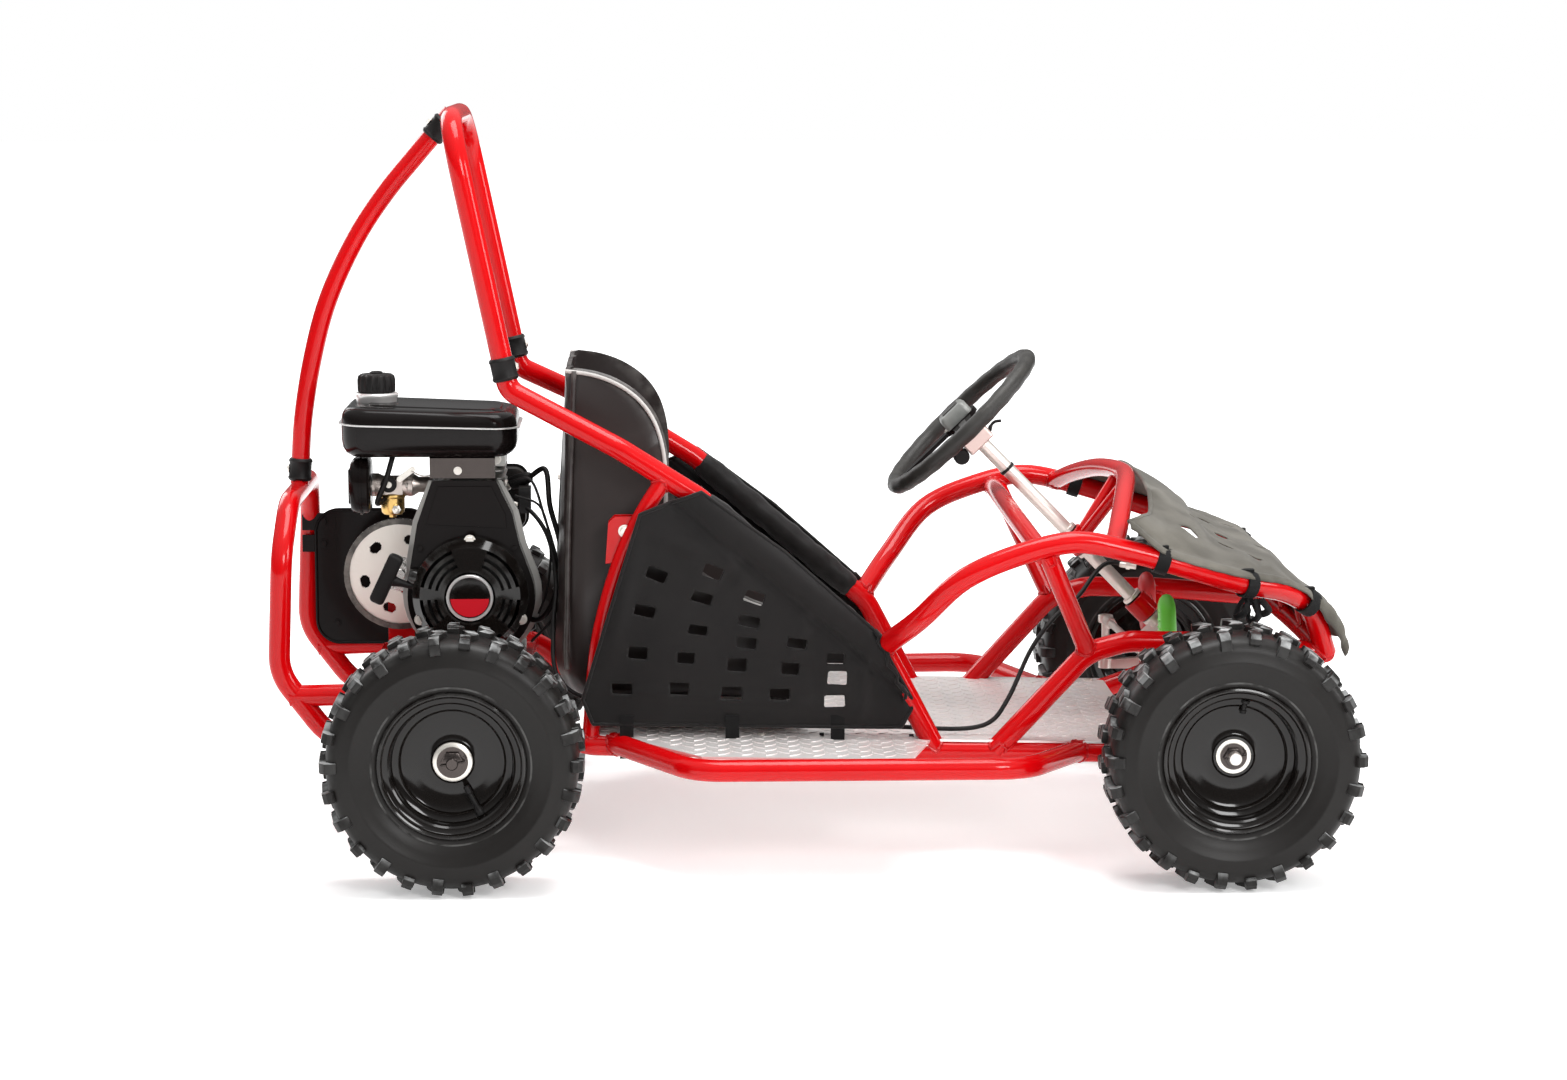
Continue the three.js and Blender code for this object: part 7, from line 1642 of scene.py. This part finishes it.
column = Shape()
column.turned([(0, 0.0025), (0.0095, 0.0025), (0.0095, column_length - 0.001), (0.0085, column_length),
    (0, column_length)], column_top, down_column, 36)
column.turned([(0, 0.006), (0.018, 0.006), (0.018, 0.0105), (0.017, 0.011), (0, 0.011)], column_top,
    down_column, 44)
column.turned([(0, 0.011), (0.0135, 0.011), (0.015, 0.0135), (0.015, 0.034), (0.0135, 0.0365), (0, 0.0365)],
    column_top, down_column, 6, 0)
stacked(column, (-0.015, -0.0215), (0.015, 0.019), 0.004, [(0.0015, 0.0085), (0, 0.01), (0, 0.044),
    (0.0015, 0.0455)], lambda u, v, level: on_column(level, v, u), 1)
knob_place = on_column(0.037, -0.0325)
column.turned([(0, -0.012), (0.009, -0.012), (0.0108, -0.009), (0.0108, 0.009), (0.009, 0.012), (0, 0.012)],
    knob_place, (0, 1, 0), 24, 2)
column.tube([on_column(0.035, -0.019), knob_place], 0.0036, 12, 2)
tie_tail = [on_column(0.039, 0.018), on_column(0.035, 0.025), on_column(0.035, 0.032), on_column(0.04, 0.039)]
column.tube(smooth(tie_tail), [0.003] * 6 + [0.0022] * 13, 8, 2)
for share in (0.583, 0.907):
    for end in (-1, 1):
        reach = share * column_length + end * 0.0195
        column.bush(0.0092, 0.0135, -0.0025, 0.0025, on_column(reach), down_column, 32)
pitman = [(-0.034, 0.01), (-0.03, 0.014), (0.03, 0.014), (0.034, 0.01), (0.034, -0.04), (0.028, -0.046),
    (-0.028, -0.046), (-0.034, -0.04)]
column.slab(pitman, on_column(column_length - 0.006), xyz(0, 1, 0), up_column, 0.006)
for side in (-1, 1):
    spot = on_column(column_length - 0.006, -0.0375, side * 0.026)
    column.bolt(spot, -down_column, 0.0058, 0)
piece("steering_column_zinc", column, "steering_column", [rod_zinc, block_zinc, black_rubber],
    ["steering_shaft"], 38, 0.0005)

wheel = Shape()
wheel_middle = on_column(0.0027)
rim_circle = []
for k in range(96):
    turn = 2 * pi * k / 96
    rim_circle.append(wheel_middle + swung(0.122, turn, xyz(0, 1, 0), up_column))
wheel.tube(rim_circle, [0.0112 + 0.0004 * cos(24 * 2 * pi * k / 96) for k in range(96)], 28, 0, closed=True)
for side in (-1, 1):
    spoke = [(side * 0.018, -0.017), (side * 0.06, -0.013), (side * 0.114, -0.019), (side * 0.114, 0.019),
        (side * 0.06, 0.013), (side * 0.018, 0.017)]
    wheel.slab(spoke, wheel_middle - down_column * 0.003, xyz(0, 1, 0), up_column, 0.006, 1)
    slot_loop = rounded_loop((0.034, -0.0055), (0.088, 0.0055), 0.005)
    wheel.slab([(side * u, v) for u, v in slot_loop], wheel_middle - down_column * 0.004, xyz(0, 1, 0),
        up_column, 0.0014, 0)
lower_spoke = [(-0.012, -0.018), (0.012, -0.018), (0.01, -0.112), (-0.01, -0.112)]
wheel.slab(lower_spoke, wheel_middle - down_column * 0.003, xyz(0, 1, 0), up_column, 0.005, 1)
stacked(wheel, (-0.0235, -0.0215), (0.0235, 0.0215), 0.008, [(0, -0.004), (0, -0.016), (0.002, -0.0205),
    (0.006, -0.023)], lambda u, v, level: wheel_middle + xyz(0, u, 0) + up_column * v + down_column * level,
    2)
stacked(wheel, (-0.015, -0.0135), (0.015, 0.0135), 0.005, [(0, -0.0225), (0.001, -0.0244), (0.0025, -0.025)],
    lambda u, v, level: wheel_middle + xyz(0, u, 0) + up_column * v + down_column * level, 0)
wheel.rod(0.027, -0.004, 0.003, wheel_middle, down_column, 48, 1)
for k in range(3):
    turn = 2 * pi * k / 3 + 0.5
    spot = wheel_middle - down_column * 0.0038 + swung(0.0215, turn, xyz(0, 1, 0), up_column)
    wheel.bolt(spot, -down_column, 0.0036, 3)
hub_grey = finish("hub_pad_grey", (0.16, 0.165, 0.155), 0.42, tone=0.35, dust_and_highlight=0.1, edge=0.5,
    edge_wear_and_highlight_color=(0.5, 0.5, 0.48), grain=900, bump=0.15)
piece("steering_wheel_foam", wheel, "steering_column", [grip_foam, shroud_black, hub_grey, zinc_plate],
    ["steering_wheel"], 38, 0.0006)


def foot_pedal(name, body, rubber, pivot):
    """A round rubber pad with ribs on a bent rod that swings on its pin; body and node share a name."""
    shape = Shape()
    shape.turned([(0.0054, -0.011), (0.0082, -0.011), (0.009, -0.01), (0.009, 0.01), (0.0082, 0.011),
        (0.0054, 0.011)], pivot, (0, 1, 0), 32, 1)
    lean = 0.05
    rise = xyz(-sin(lean), 0, cos(lean))
    forward = xyz(cos(lean), 0, sin(lean))
    pad_middle = pivot + rise * 0.109 + forward * 0.011
    arm = [pivot + rise * 0.006, pivot + rise * 0.045, pad_middle - rise * 0.03, pad_middle]
    shape.tube(arm, 0.0036, 16, 1)
    stacked(shape, (-0.024, -0.045), (0.024, 0.045), 0.0235, [(0.017, 0.0105), (0.01, 0.0098),
        (0.0045, 0.008), (0.001, 0.0045), (0, 0), (0.0012, -0.0048), (0.005, -0.0085), (0.0105, -0.0108),
        (0.0175, -0.0118)], lambda u, v, level: pad_middle + xyz(0, u, 0) + rise * v + forward * level)
    for k in range(5):
        v = -0.022 + k * 0.011
        reach = 0.012 - 0.002 * abs(k - 2)
        rib = [pad_middle + xyz(0, y, 0) + rise * v - forward * 0.0112 for y in (-reach, 0, reach)]
        shape.tube(rib, 0.0013, 10)
    piece(name, shape, body, [rubber, red_coat], [body], 38, 0.0004)


throttle_pin, brake_pin = joint_at["throttle_press"], joint_at["brake_press"]
foot_pedal("throttle_pedal_pad", "throttle_pedal", green_rubber, throttle_pin)
foot_pedal("brake_pedal_pad", "brake_pedal", red_rubber, brake_pin)

# Side panels: black woven cloth laced flat beside the seat, with rows of uneven cut slots, a
# folded flap at the front, and a padded sleeve that closes round the red rail above.
def woven_cloth_group():
    """Two crossing thread directions, fuzz and faded patches, for every cloth."""
    tree = bpy.data.node_groups.new("woven_cloth", "ShaderNodeTree")
    given, result = group_ends(tree, {"Color": (0.1, 0.1, 0.1, 1), "Faded Color": (0.2, 0.2, 0.2, 1),
        "Thread Scale": (900, 1, 5000), "Fade": (0.3, 0, 1), "Roughness": (0.8, 0, 1)})
    place = node(tree, "ShaderNodeTexCoord").outputs["Object"]
    threads = []
    for turn in (0, 1.5708):
        mapping = node(tree, "ShaderNodeMapping", {"Vector": place, "Rotation": (0.5, turn, 0.35)})
        wave = {"Vector": mapping.outputs["Vector"], "Distortion": 1.2, "Detail": 1,
            "Scale": given["Thread Scale"]}
        threads.append(node(tree, "ShaderNodeTexWave", wave).outputs["Fac"])
    crossed = sums(tree, "MULTIPLY", *threads)
    amount = sums(tree, "MULTIPLY", spread(tree, noise(tree, 14, 6), 0.42, 0.66), given["Fade"])
    faded = blend_colour(tree, amount, given["Color"], given["Faded Color"])
    depth = {"Value": crossed, "To Min": 0.72, "To Max": 1.12}
    dark = node(tree, "ShaderNodeMapRange", depth).outputs["Result"]
    shaded = node(tree, "ShaderNodeVectorMath", operation="SCALE")
    node(tree, shaded.name, {0: faded, "Scale": dark})
    node(tree, result.name, {"Color": shaded.outputs["Vector"], "Roughness": sums(tree, "MULTIPLY_ADD",
        amount, 0.15, given["Roughness"]), "Height": sums(tree, "MULTIPLY_ADD", noise(tree, 260), 0.35,
        crossed)})
    return tree


woven_cloth = woven_cloth_group()


def cloth(name, color, faded, scale=900, fade=0.35, roughness=0.78, sheen=0.25, bump=0.35):
    given = {"Color": (*color, 1), "Faded Color": (*faded, 1), "Thread Scale": scale, "Fade": fade,
        "Roughness": roughness}
    plain = {"Sheen Weight": sheen, "Specular IOR Level": 0.16}
    return material(name, woven_cloth, given, bump, 0.0006, plain)


black_cloth = cloth("black_cloth", (0.005, 0.0038, 0.0037), (0.011, 0.0092, 0.0088), 620, 0.5, 0.4, 0.12)
strap_web = cloth("strap_webbing", (0.004, 0.0038, 0.004), (0.012, 0.012, 0.012), 1500, 0.3, 0.6, 0.03)
panel_shares = [(0.3196, 0.5021), (0.43, 0.419), (0.548, 0.312), (0.599, 0.216), (0.599, 0.203),
    (0.585, 0.178), (0.1753, 0.185), (0.1619, 0.2184), (0.2392, 0.4715)]
slot_shares = [(0.3347, 0.3924), (0.3894, 0.3573), (0.2605, 0.3891), (0.3204, 0.3577), (0.3823, 0.3243),
    (0.4461, 0.2946), (0.2443, 0.3398), (0.315, 0.3137), (0.3787, 0.295), (0.4976, 0.2722), (0.2352, 0.2829),
    (0.2989, 0.2752), (0.3662, 0.2656), (0.4372, 0.2596), (0.4995, 0.2463), (0.2899, 0.2329),
    (0.3591, 0.2269), (0.423, 0.2247), (0.496, 0.215), (0.214, 0.233)]
panel_face = 0.2415
pad_radius = 0.0205
roll_radius = pad_radius + 0.0045


def inside(point, outline):
    x, y = point
    crossings = 0
    for (x0, y0), (x1, y1) in zip(outline, outline[1:] + outline[:1]):
        if (y0 > y) != (y1 > y) and x < x0 + (x1 - x0) * (y - y0) / (y1 - y0):
            crossings += 1
    return crossings % 2 == 1


def cut_sheet(outline, openings, spacing):
    """Triangles over a flat outline, with the openings left out."""
    points, edges = [], []
    for ring in [outline] + openings:
        start = len(points)
        dense = []
        for (x0, y0), (x1, y1) in zip(ring, ring[1:] + ring[:1]):
            steps = max(1, round(hypot(x1 - x0, y1 - y0) / spacing))
            dense += [(x0 + (x1 - x0) * k / steps, y0 + (y1 - y0) * k / steps) for k in range(steps)]
        points += dense
        edges += [(start + k, start + (k + 1) % len(dense)) for k in range(len(dense))]
    xs, ys = [p[0] for p in outline], [p[1] for p in outline]
    rows = int((max(ys) - min(ys)) / (spacing * 0.87)) + 1
    columns = int((max(xs) - min(xs)) / spacing) + 1
    for row in range(rows):
        for column in range(columns):
            spot = (min(xs) + (column + 0.5 * (row % 2)) * spacing, min(ys) + row * spacing * 0.87)
            if inside(spot, outline) and not any(inside(spot, ring) for ring in openings):
                points.append(spot)
    found = delaunay_2d_cdt([Vector(point) for point in points], edges, [], 0, 1e-6)
    verts, faces = found[0], found[2]
    kept = []
    for face in faces:
        middle = [sum(verts[i][axis] for i in face) / len(face) for axis in (0, 1)]
        if inside(middle, outline) and not any(inside(middle, ring) for ring in openings):
            kept.append(tuple(face))
    return [(v.x, v.y) for v in verts], kept


def sheet_piece(name, points, faces, finish_used, thickness, replaced):
    made = new_object(name, [tuple(point) for point in points], faces, [finish_used])
    outward(made.data, True)
    modified(made, "thickness", "SOLIDIFY", thickness=thickness, offset=0)
    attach(made, "chassis")
    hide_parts(*replaced)
    return made


def uneven(seed):
    """A steady value from -1 to 1 for each seed, so that no two slots match."""
    return sin(seed * 12.9898 + 4.1) * 0.7 + sin(seed * 3.17) * 0.3


panel_outline = [(p.x, p.z) for p in (side_point(*share) for share in panel_shares)]
panel_slots = []
slot_corners = ((-1, -0.8), (-0.9, -1), (0.85, -1), (1, -0.8), (1, 0.8), (0.9, 1), (-0.85, 1), (-1, 0.8))
for seed, (along, up) in enumerate(slot_shares):
    middle = side_point(along, up)
    slope = -2.1 * (up - 0.23) + 0.07 * uneven(seed)
    half_long, half_high = 0.0122 + 0.0012 * uneven(seed + 20), 0.0074 + 0.001 * uneven(seed + 40)
    ring = []
    for n, (u, v) in enumerate(slot_corners):
        pull = 1 + 0.06 * uneven(seed * 8 + n)
        x, z = half_long * u * pull, half_high * v * pull
        spot = (middle.x + x * cos(slope) - z * sin(slope), middle.z + x * sin(slope) + z * cos(slope))
        ring.append(spot)
    panel_slots.append(ring)
panel_creases = [((0.33, 0.47), (0.4, 0.33), 0.004, 0.012), ((0.4, 0.425), (0.3, 0.33), -0.003, 0.01),
    ((0.47, 0.37), (0.43, 0.25), 0.0038, 0.01), ((0.54, 0.31), (0.48, 0.22), -0.003, 0.009),
    ((0.56, 0.3), (0.59, 0.2), 0.0042, 0.008), ((0.24, 0.46), (0.19, 0.25), 0.003, 0.012),
    ((0.3, 0.3), (0.56, 0.23), -0.0026, 0.014), ((0.2, 0.23), (0.56, 0.2), 0.003, 0.01),
    ((0.26, 0.44), (0.37, 0.4), 0.0026, 0.009), ((0.545, 0.3), (0.528, 0.18), 0.0046, 0.007),
    ((0.47, 0.27), (0.47, 0.2), -0.0024, 0.01)]


def panel_fold(x, z):
    along, up = (x - rear_axle.x) / wheelbase, z / hoop_height
    fold = 0.0012 * sin(17 * along + 31 * up) + 0.0008 * sin(43 * along - 19 * up + 1.3)
    for (a0, u0), (a1, u1), depth, width in panel_creases:
        start, end, spot = side_point(a0, u0), side_point(a1, u1), xyz(x, 0, z)
        run = end - start
        share = min(max((spot - start).dot(run) / run.length_squared, 0), 1)
        away = (spot - start - run * share).length
        fold += depth * sin(pi * min(share * 0.9 + 0.1, 1)) * exp(-(away / width) ** 2)
    return fold


rail_high, rail_low = side_point(*seat_rail_shares[1][::2]), side_point(*seat_rail_shares[2][::2])
rail_run = (rail_low - rail_high).normalized()
rail_up = xyz(-rail_run.z, 0, rail_run.x)


def panel_reach(x, z):
    """How far out the cloth stands: round over the padded sleeve, tucked in beneath it."""
    above = (xyz(x, 0, z) - rail_high).dot(rail_up) / roll_radius
    flat = panel_face + panel_fold(x, z) - 0.005 * exp(-((above + 1) / 0.22) ** 2)
    flat -= 0.003 * exp(-((above + 1.4) / 0.8) ** 2)
    if above < -0.75:
        return flat
    rolled = half_frame + roll_radius * sqrt(max(1 - above * above, 0.06)) + 0.3 * panel_fold(x, z)
    mixed = min((above + 0.75) / 0.12, 1)
    return flat * (1 - mixed) + rolled * mixed


panel_points, panel_faces = cut_sheet(panel_outline, panel_slots, 0.0048)


def padded_sleeve(name, route, radius):
    """A foam sleeve: blown up a little as cloth, bored for its rail, then creased."""
    lengths = lengths_along(route)
    total = lengths[-1]
    radii = []
    for length in lengths:
        near_end = min(length, total - length)
        radii.append(radius * 0.86 * (0.8 + 0.2 * min(1, near_end / 0.012)))
    body = Shape()
    body.tube(route, radii, 24)
    made = new_object(name, body.points, body.faces, [black_cloth])
    modified(made, "skin", "REMESH", mode="VOXEL", voxel_size=0.0045, use_smooth_shade=True)

    def settle():
        shaped = bpy.data.meshes.new_from_object(made.evaluated_get(bpy.context.evaluated_depsgraph_get()))
        made.modifiers.clear()
        made.data = shaped

    settle()
    rest = [vert.co.copy() for vert in made.data.vertices]
    puff = made.modifiers.new("puff", "CLOTH")
    puff.settings.use_pressure = True
    puff.settings.uniform_pressure_force = 4
    puff.settings.effector_weights.gravity = 0
    puff.settings.quality = 6
    puff.point_cache.frame_start = 1
    puff.point_cache.frame_end = 20
    for step in range(1, 21):
        bpy.context.scene.frame_set(step)
    settle()
    bpy.context.scene.frame_set(1)
    most = 0.0035
    for vert, before in zip(made.data.vertices, rest):
        move = vert.co - before
        if move.length > most:
            vert.co = before + move.normalized() * most
    bore_shape = Shape()
    ends = [here + (here - near).normalized() * 0.05 for here, near in ((route[0], route[1]),
        (route[-1], route[-2]))]
    bore_shape.tube([ends[0]] + route + [ends[1]], tube_radius + 0.0004, 28)
    bore = new_object(name + "_bore", bore_shape.points, bore_shape.faces)
    modified(made, "bore", "BOOLEAN", object=bore, operation="DIFFERENCE")
    modified(made, "finer", "SUBSURF", levels=1, render_levels=1)
    made.modifiers.move(1, 0)
    settle()
    bpy.data.objects.remove(bore)
    for vert in made.data.vertices:
        nearest, along, spot = 1e9, 0.0, None
        for k, (start, end) in enumerate(zip(route, route[1:])):
            run = end - start
            share = min(max((vert.co - start).dot(run) / run.length_squared, 0), 1)
            point = start + run * share
            if (vert.co - point).length < nearest:
                nearest, along, spot = (vert.co - point).length, lengths[k] + run.length * share, point
        if nearest < tube_radius + 0.002:
            continue
        out = (vert.co - spot).normalized()
        turn = atan2(out.y, out.z)
        ripple = sin(along * 210 + 2.2 * sin(turn + along * 30)) * 0.5
        ripple += sin(along * 95 - 1.7 * cos(turn * 2)) * 0.7
        seam = -0.0016 * exp(-((turn - 2.6) / 0.22) ** 2)
        vert.co += out * (0.0009 * ripple + seam)
    made.data.polygons.foreach_set("use_smooth", [True] * len(made.data.polygons))
    made.data.set_sharp_from_angle(angle=radians(60))
    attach(made, "chassis")
    return made


for side_name, side in sides.items():
    rail_route = routes["seat_rail_" + side_name]
    pad_low, pad_high = along_x(0.32), along_x(0.545)
    pad_route = [point for point in resampled(rail_route, 160) if pad_low <= point.x <= pad_high
        and point.z > 0.27]
    sleeve = padded_sleeve("rail_sleeve_" + side_name, pad_route, pad_radius)
    mapped = [xyz(x, side * panel_reach(x, z), z) for x, z in panel_points]
    panel = sheet_piece("cloth_panel_" + side_name, mapped, panel_faces, black_cloth, 0.0018,
        ["side_panel_" + side_name])
    trim = Shape()
    hem = [xyz(x, 0, z) for x, z in panel_outline]
    dense = []
    for start, end in zip(hem, hem[1:] + hem[:1]):
        for k in range(14):
            spot = start.lerp(end, k / 14)
            dense.append(xyz(spot.x, side * panel_reach(spot.x, spot.z), spot.z))
    trim.tube(dense, 0.0026, 10, 0, closed=True)
    flap_top, flap_low = side_point(0.556, 0.313), side_point(0.599, 0.218)
    flap = []
    for k in range(13):
        spot = flap_top.lerp(flap_low, k / 12)
        bulge = 0.0035 * sin(pi * k / 12) + 0.0012 * sin(2.3 * k)
        flap.append(xyz(spot.x - 0.007 + 0.003 * sin(1.9 * k), side * (panel_face + 0.0045 + bulge), spot.z))
    trim.tube(flap, [0.005 + 0.0012 * sin(1.4 * k) for k in range(13)], 14, 0, flat=0.55)
    for at_share in (0.22, 0.36, 0.5):
        base = side_point(at_share, 0.19)
        trim.slab([(-0.009, -0.05), (0.009, -0.05), (0.009, 0.006), (-0.009, 0.006)],
            xyz(base.x, side * panel_face + 0.002 * side + 0.0008, base.z), across_x, up_z, 0.0016, 1)
    piece("cloth_panel_trim_" + side_name, trim, "chassis", [black_cloth, strap_web], (), 50)

# Nose cover: one grey-green sheet stretched between the near and far arches, from the hoop over
# the column down to the bumper, wrapped round the arches and held by black webbing straps.
hood_cloth = cloth("hood_cloth", (0.088, 0.08, 0.064), (0.185, 0.172, 0.146), 480, 0.75, 0.56, 0.12, 0.4)
crown_shares = [(0.9247, 0.501), (0.9464, 0.4905), (0.967, 0.4778), (0.9856, 0.461), (1.0031, 0.4378),
    (1.0309, 0.423), (1.0588, 0.4082), (1.0804, 0.403), (1.1082, 0.385), (1.1371, 0.3565), (1.1557, 0.34),
    (1.1588, 0.3133), (1.1598, 0.29)]
hem_shares = [(1.1475, 1.16, 0.33), (1.166, 1.08, 0.286)]
crown_line = resampled(smooth([side_point(*share) for share in crown_shares], 8), 200)
hood_edge_line = resampled(smooth([at(share) for share in arch_shares[5:8] + hem_shares], 8), 200)
wrap_share = 0.085
hood_rise_power = 2.4
hood_bumps = [((0.1, 0.95), (0.3, 0.3), 0.006, 0.045), ((0.1, -0.95), (0.34, -0.25), 0.006, 0.045),
    ((0.45, 0.97), (0.38, 0.35), -0.0055, 0.04), ((0.42, -0.97), (0.5, -0.35), 0.0065, 0.045),
    ((0.7, -0.98), (0.56, -0.45), -0.0055, 0.04), ((0.72, 0.98), (0.6, 0.4), 0.006, 0.045),
    ((0.88, -0.98), (0.74, -0.3), 0.005, 0.035), ((0.9, 0.98), (0.78, 0.25), -0.004, 0.035),
    ((0.02, 0.5), (0.3, 0.1), -0.0045, 0.04), ((0.02, -0.5), (0.26, -0.05), 0.005, 0.035),
    ((0.62, -0.2), (0.86, 0.15), 0.0045, 0.045), ((0.55, -0.85), (0.68, 0.05), 0.0035, 0.03)]


def line_point(line, share):
    place = min(max(share, 0), 1) * (len(line) - 1)
    low = min(int(place), len(line) - 2)
    return line[low].lerp(line[low + 1], place - low)


def hood_point(row, across):
    side = -1 if across < 0 else 1
    reach = min(abs(across), 1)
    edge, crown = line_point(hood_edge_line, row), line_point(crown_line, row)
    rise = 1 - reach ** hood_rise_power
    low = edge.z + tube_radius + 0.0008
    fold = 0.0033 * sin(3.5 * pi * (across + row)) * rise * sin(pi * row)
    fold += 0.0014 * sin(11 * across + 17 * row + 2 * sin(6 * row)) * sin(pi * min(row * 1.1, 1)) * rise
    for (r0, a0), (r1, a1), depth, width in hood_bumps:
        dr, da = r1 - r0, a1 - a0
        share = min(max(((row - r0) * dr + (across - a0) * da) / (dr * dr + da * da), 0), 1)
        away = hypot(row - r0 - dr * share, (across - a0 - da * share) * 0.6)
        fold += depth * (1 - share * 0.7) * exp(-(away / width) ** 2) * min(1, rise * 4)
    z = low + (crown.z - 0.003 - low) * rise + fold
    x = edge.x + (crown.x - edge.x) * sqrt(max(rise, 0))
    lifted = exp(-(row / 0.075) ** 2 - ((1 - reach) / 0.16) ** 2) if side < 0 else 0.0
    if abs(across) <= 1:
        return xyz(x - 0.006 * lifted, side * reach * edge.y, z + 0.024 * lifted)
    ahead, behind = line_point(hood_edge_line, row + 0.02), line_point(hood_edge_line, row - 0.02)
    run = (ahead - behind).normalized()
    out = xyz(-run.y, run.x, 0).normalized()
    out = -out if out.y < 0 else out
    wrapped = min(max((row - 0.7) / 0.12, 0), 1)
    turn = (abs(across) - 1) / wrap_share * radians(62 + 78 * wrapped)
    spot = edge + (tube_radius + 0.0024) * (cos(turn) * up_z + sin(turn) * out)
    spot += out * 0.0012 * sin(90 * row) + xyz(-0.006, 0, 0.024) * lifted
    return xyz(spot.x, side * spot.y, spot.z)


hood_slots = [(0.23, -0.5), (0.17, -0.8), (0.37, -0.62), (0.5, -0.66), (0.39, -0.36), (0.6, -0.2),
    (0.25, 0.46), (0.4, 0.66), (0.55, 0.4), (0.68, 0.64), (0.38, 0.1)]
hood_length, hood_half = 0.28, 0.36
hood_outline = [(0, -hood_half * (1 + wrap_share)), (hood_length, -hood_half * (1 + wrap_share)),
    (hood_length, hood_half * (1 + wrap_share)), (0, hood_half * (1 + wrap_share))]
hood_rings = []
for k, (row, across) in enumerate(hood_slots):
    half_long, half_high = 0.011 + 0.002 * uneven(k), 0.01 + 0.0014 * uneven(k + 9)
    slope = 0.5 * uneven(k + 3)
    ring = []
    for u, v in ((-1, 0), (-0.7, -0.9), (0.6, -1), (1, 0), (0.7, 1), (-0.6, 0.9)):
        x, y = half_long * u, half_high * v
        ring.append((row * hood_length + y * cos(slope) - x * sin(slope), across * hood_half + x * cos(slope)
            + y * sin(slope)))
    hood_rings.append(ring)
flat_points, hood_faces = cut_sheet(hood_outline, hood_rings, 0.0058)
hood_mapped = [hood_point(x / hood_length, y / hood_half) for x, y in flat_points]
hood = sheet_piece("nose_cloth", hood_mapped, hood_faces, hood_cloth, 0.0018, ["hood_cover"])
straps = Shape()
strap_rows = {-1: (0.109, 0.443, 0.749), 1: (0.019, 0.17, 0.443, 0.749)}
for side in sides.values():
    for row in strap_rows[side]:
        middle, ahead = line_point(hood_edge_line, row), line_point(hood_edge_line, row + 0.02)
        middle = xyz(middle.x, side * middle.y, middle.z)
        run = xyz(ahead.x, side * ahead.y, ahead.z) - middle
        band = [(0.015, -0.0085), (0.0172, -0.0082), (0.0176, 0), (0.0172, 0.0082), (0.015, 0.0085)]
        straps.turned(band, middle, run, 36)
        straps.block(middle + xyz(-0.008, -0.006, 0.0158), middle + xyz(0.008, 0.006, 0.0196))
for aside, sag in ((-0.014, 0.028), (0.004, 0.034), (0.017, 0.024)):
    tail_top = line_point(hood_edge_line, 0.443)
    tail_top = xyz(tail_top.x, -tail_top.y, tail_top.z - 0.014)
    loop = [tail_top, tail_top + xyz(aside * 0.6, 0.006, -sag * 0.5), tail_top + xyz(aside, 0, -sag),
        tail_top + xyz(aside + 0.01, -0.004, -sag * 0.8), tail_top + xyz(aside * 0.5 + 0.01, 0.004, -0.006)]
    straps.tube(smooth(loop), 0.0058, 10, 0, False, 0.5)
hem_line = [hood_point(1, -1 + 2 * k / 60) + xyz(0.0012, 0, 0.001) for k in range(61)]
straps.tube(hem_line, 0.003, 10, 1)
front_line = [hood_point(0, -1 + 2 * k / 60) for k in range(61)]
straps.tube(front_line, 0.0028, 10, 1)
piece("nose_straps_and_hem", straps, "chassis", [strap_web, hood_cloth], (), 50)

# Throttle cable: a black sheathed cable from the pedal, down the near rail and up behind the
# seat to the carburettor, tied to the tubes with narrow black ties.
cable_shares = [(0.917, -0.23, 0.368), (0.882, -0.2, 0.3713), (0.835, -0.4, 0.3291), (0.802, -0.54, 0.308),
    (0.768, -0.67, 0.27), (0.732, -0.83, 0.2046), (0.711, -0.88, 0.178), (0.685, -0.9, 0.1685),
    (0.55, -0.9, 0.172), (0.3, -0.9, 0.181), (0.215, -0.895, 0.213), (0.16, -0.885, 0.2143),
    (0.128, -0.86, 0.24), (0.121, -0.67, 0.3059), (0.124, -0.49, 0.3586), (0.111, -0.36, 0.4219),
    (0.083, -0.25, 0.455), (0.0547, -0.2, 0.462)]
cable_line = smooth(placed(cable_shares), 10)
wire = Shape()
wire.tube(cable_line, 0.003, 16)
for end, onward in ((cable_line[0], cable_line[1]), (cable_line[-1], cable_line[-2])):
    run = onward - end
    wire.turned([(0, -0.004), (0.004, -0.004), (0.004, 0.016), (0.0032, 0.018), (0, 0.018)], end, run, 20, 1)
    wire.bolt(end + run.normalized() * 0.004, run, 0.0058, 1, 0.9, False)
piece("throttle_cable_sheath", wire, "chassis", [black_rubber, zinc_plate],
    ["throttle_cable"], 38)
ties = Shape()
for along in (0.6, 0.48, 0.36):
    spot = xyz(along_x(along), -half_frame, 0.1414 * hoop_height + (0.6598 - along) / 0.5 * 0.011)
    ties.bush(0.0144, 0.0156, -0.0024, 0.0024, spot, (1, 0, -0.02), 28)
    ties.block(spot + xyz(-0.003, 0.004, 0.015), spot + xyz(0.003, 0.01, 0.019))
tail = on_column(0.235 * column_length)
ties.bush(0.0097, 0.011, -0.002, 0.002, tail, down_column, 28)
piece("cable_ties", ties, "chassis", [black_rubber], (), 50)
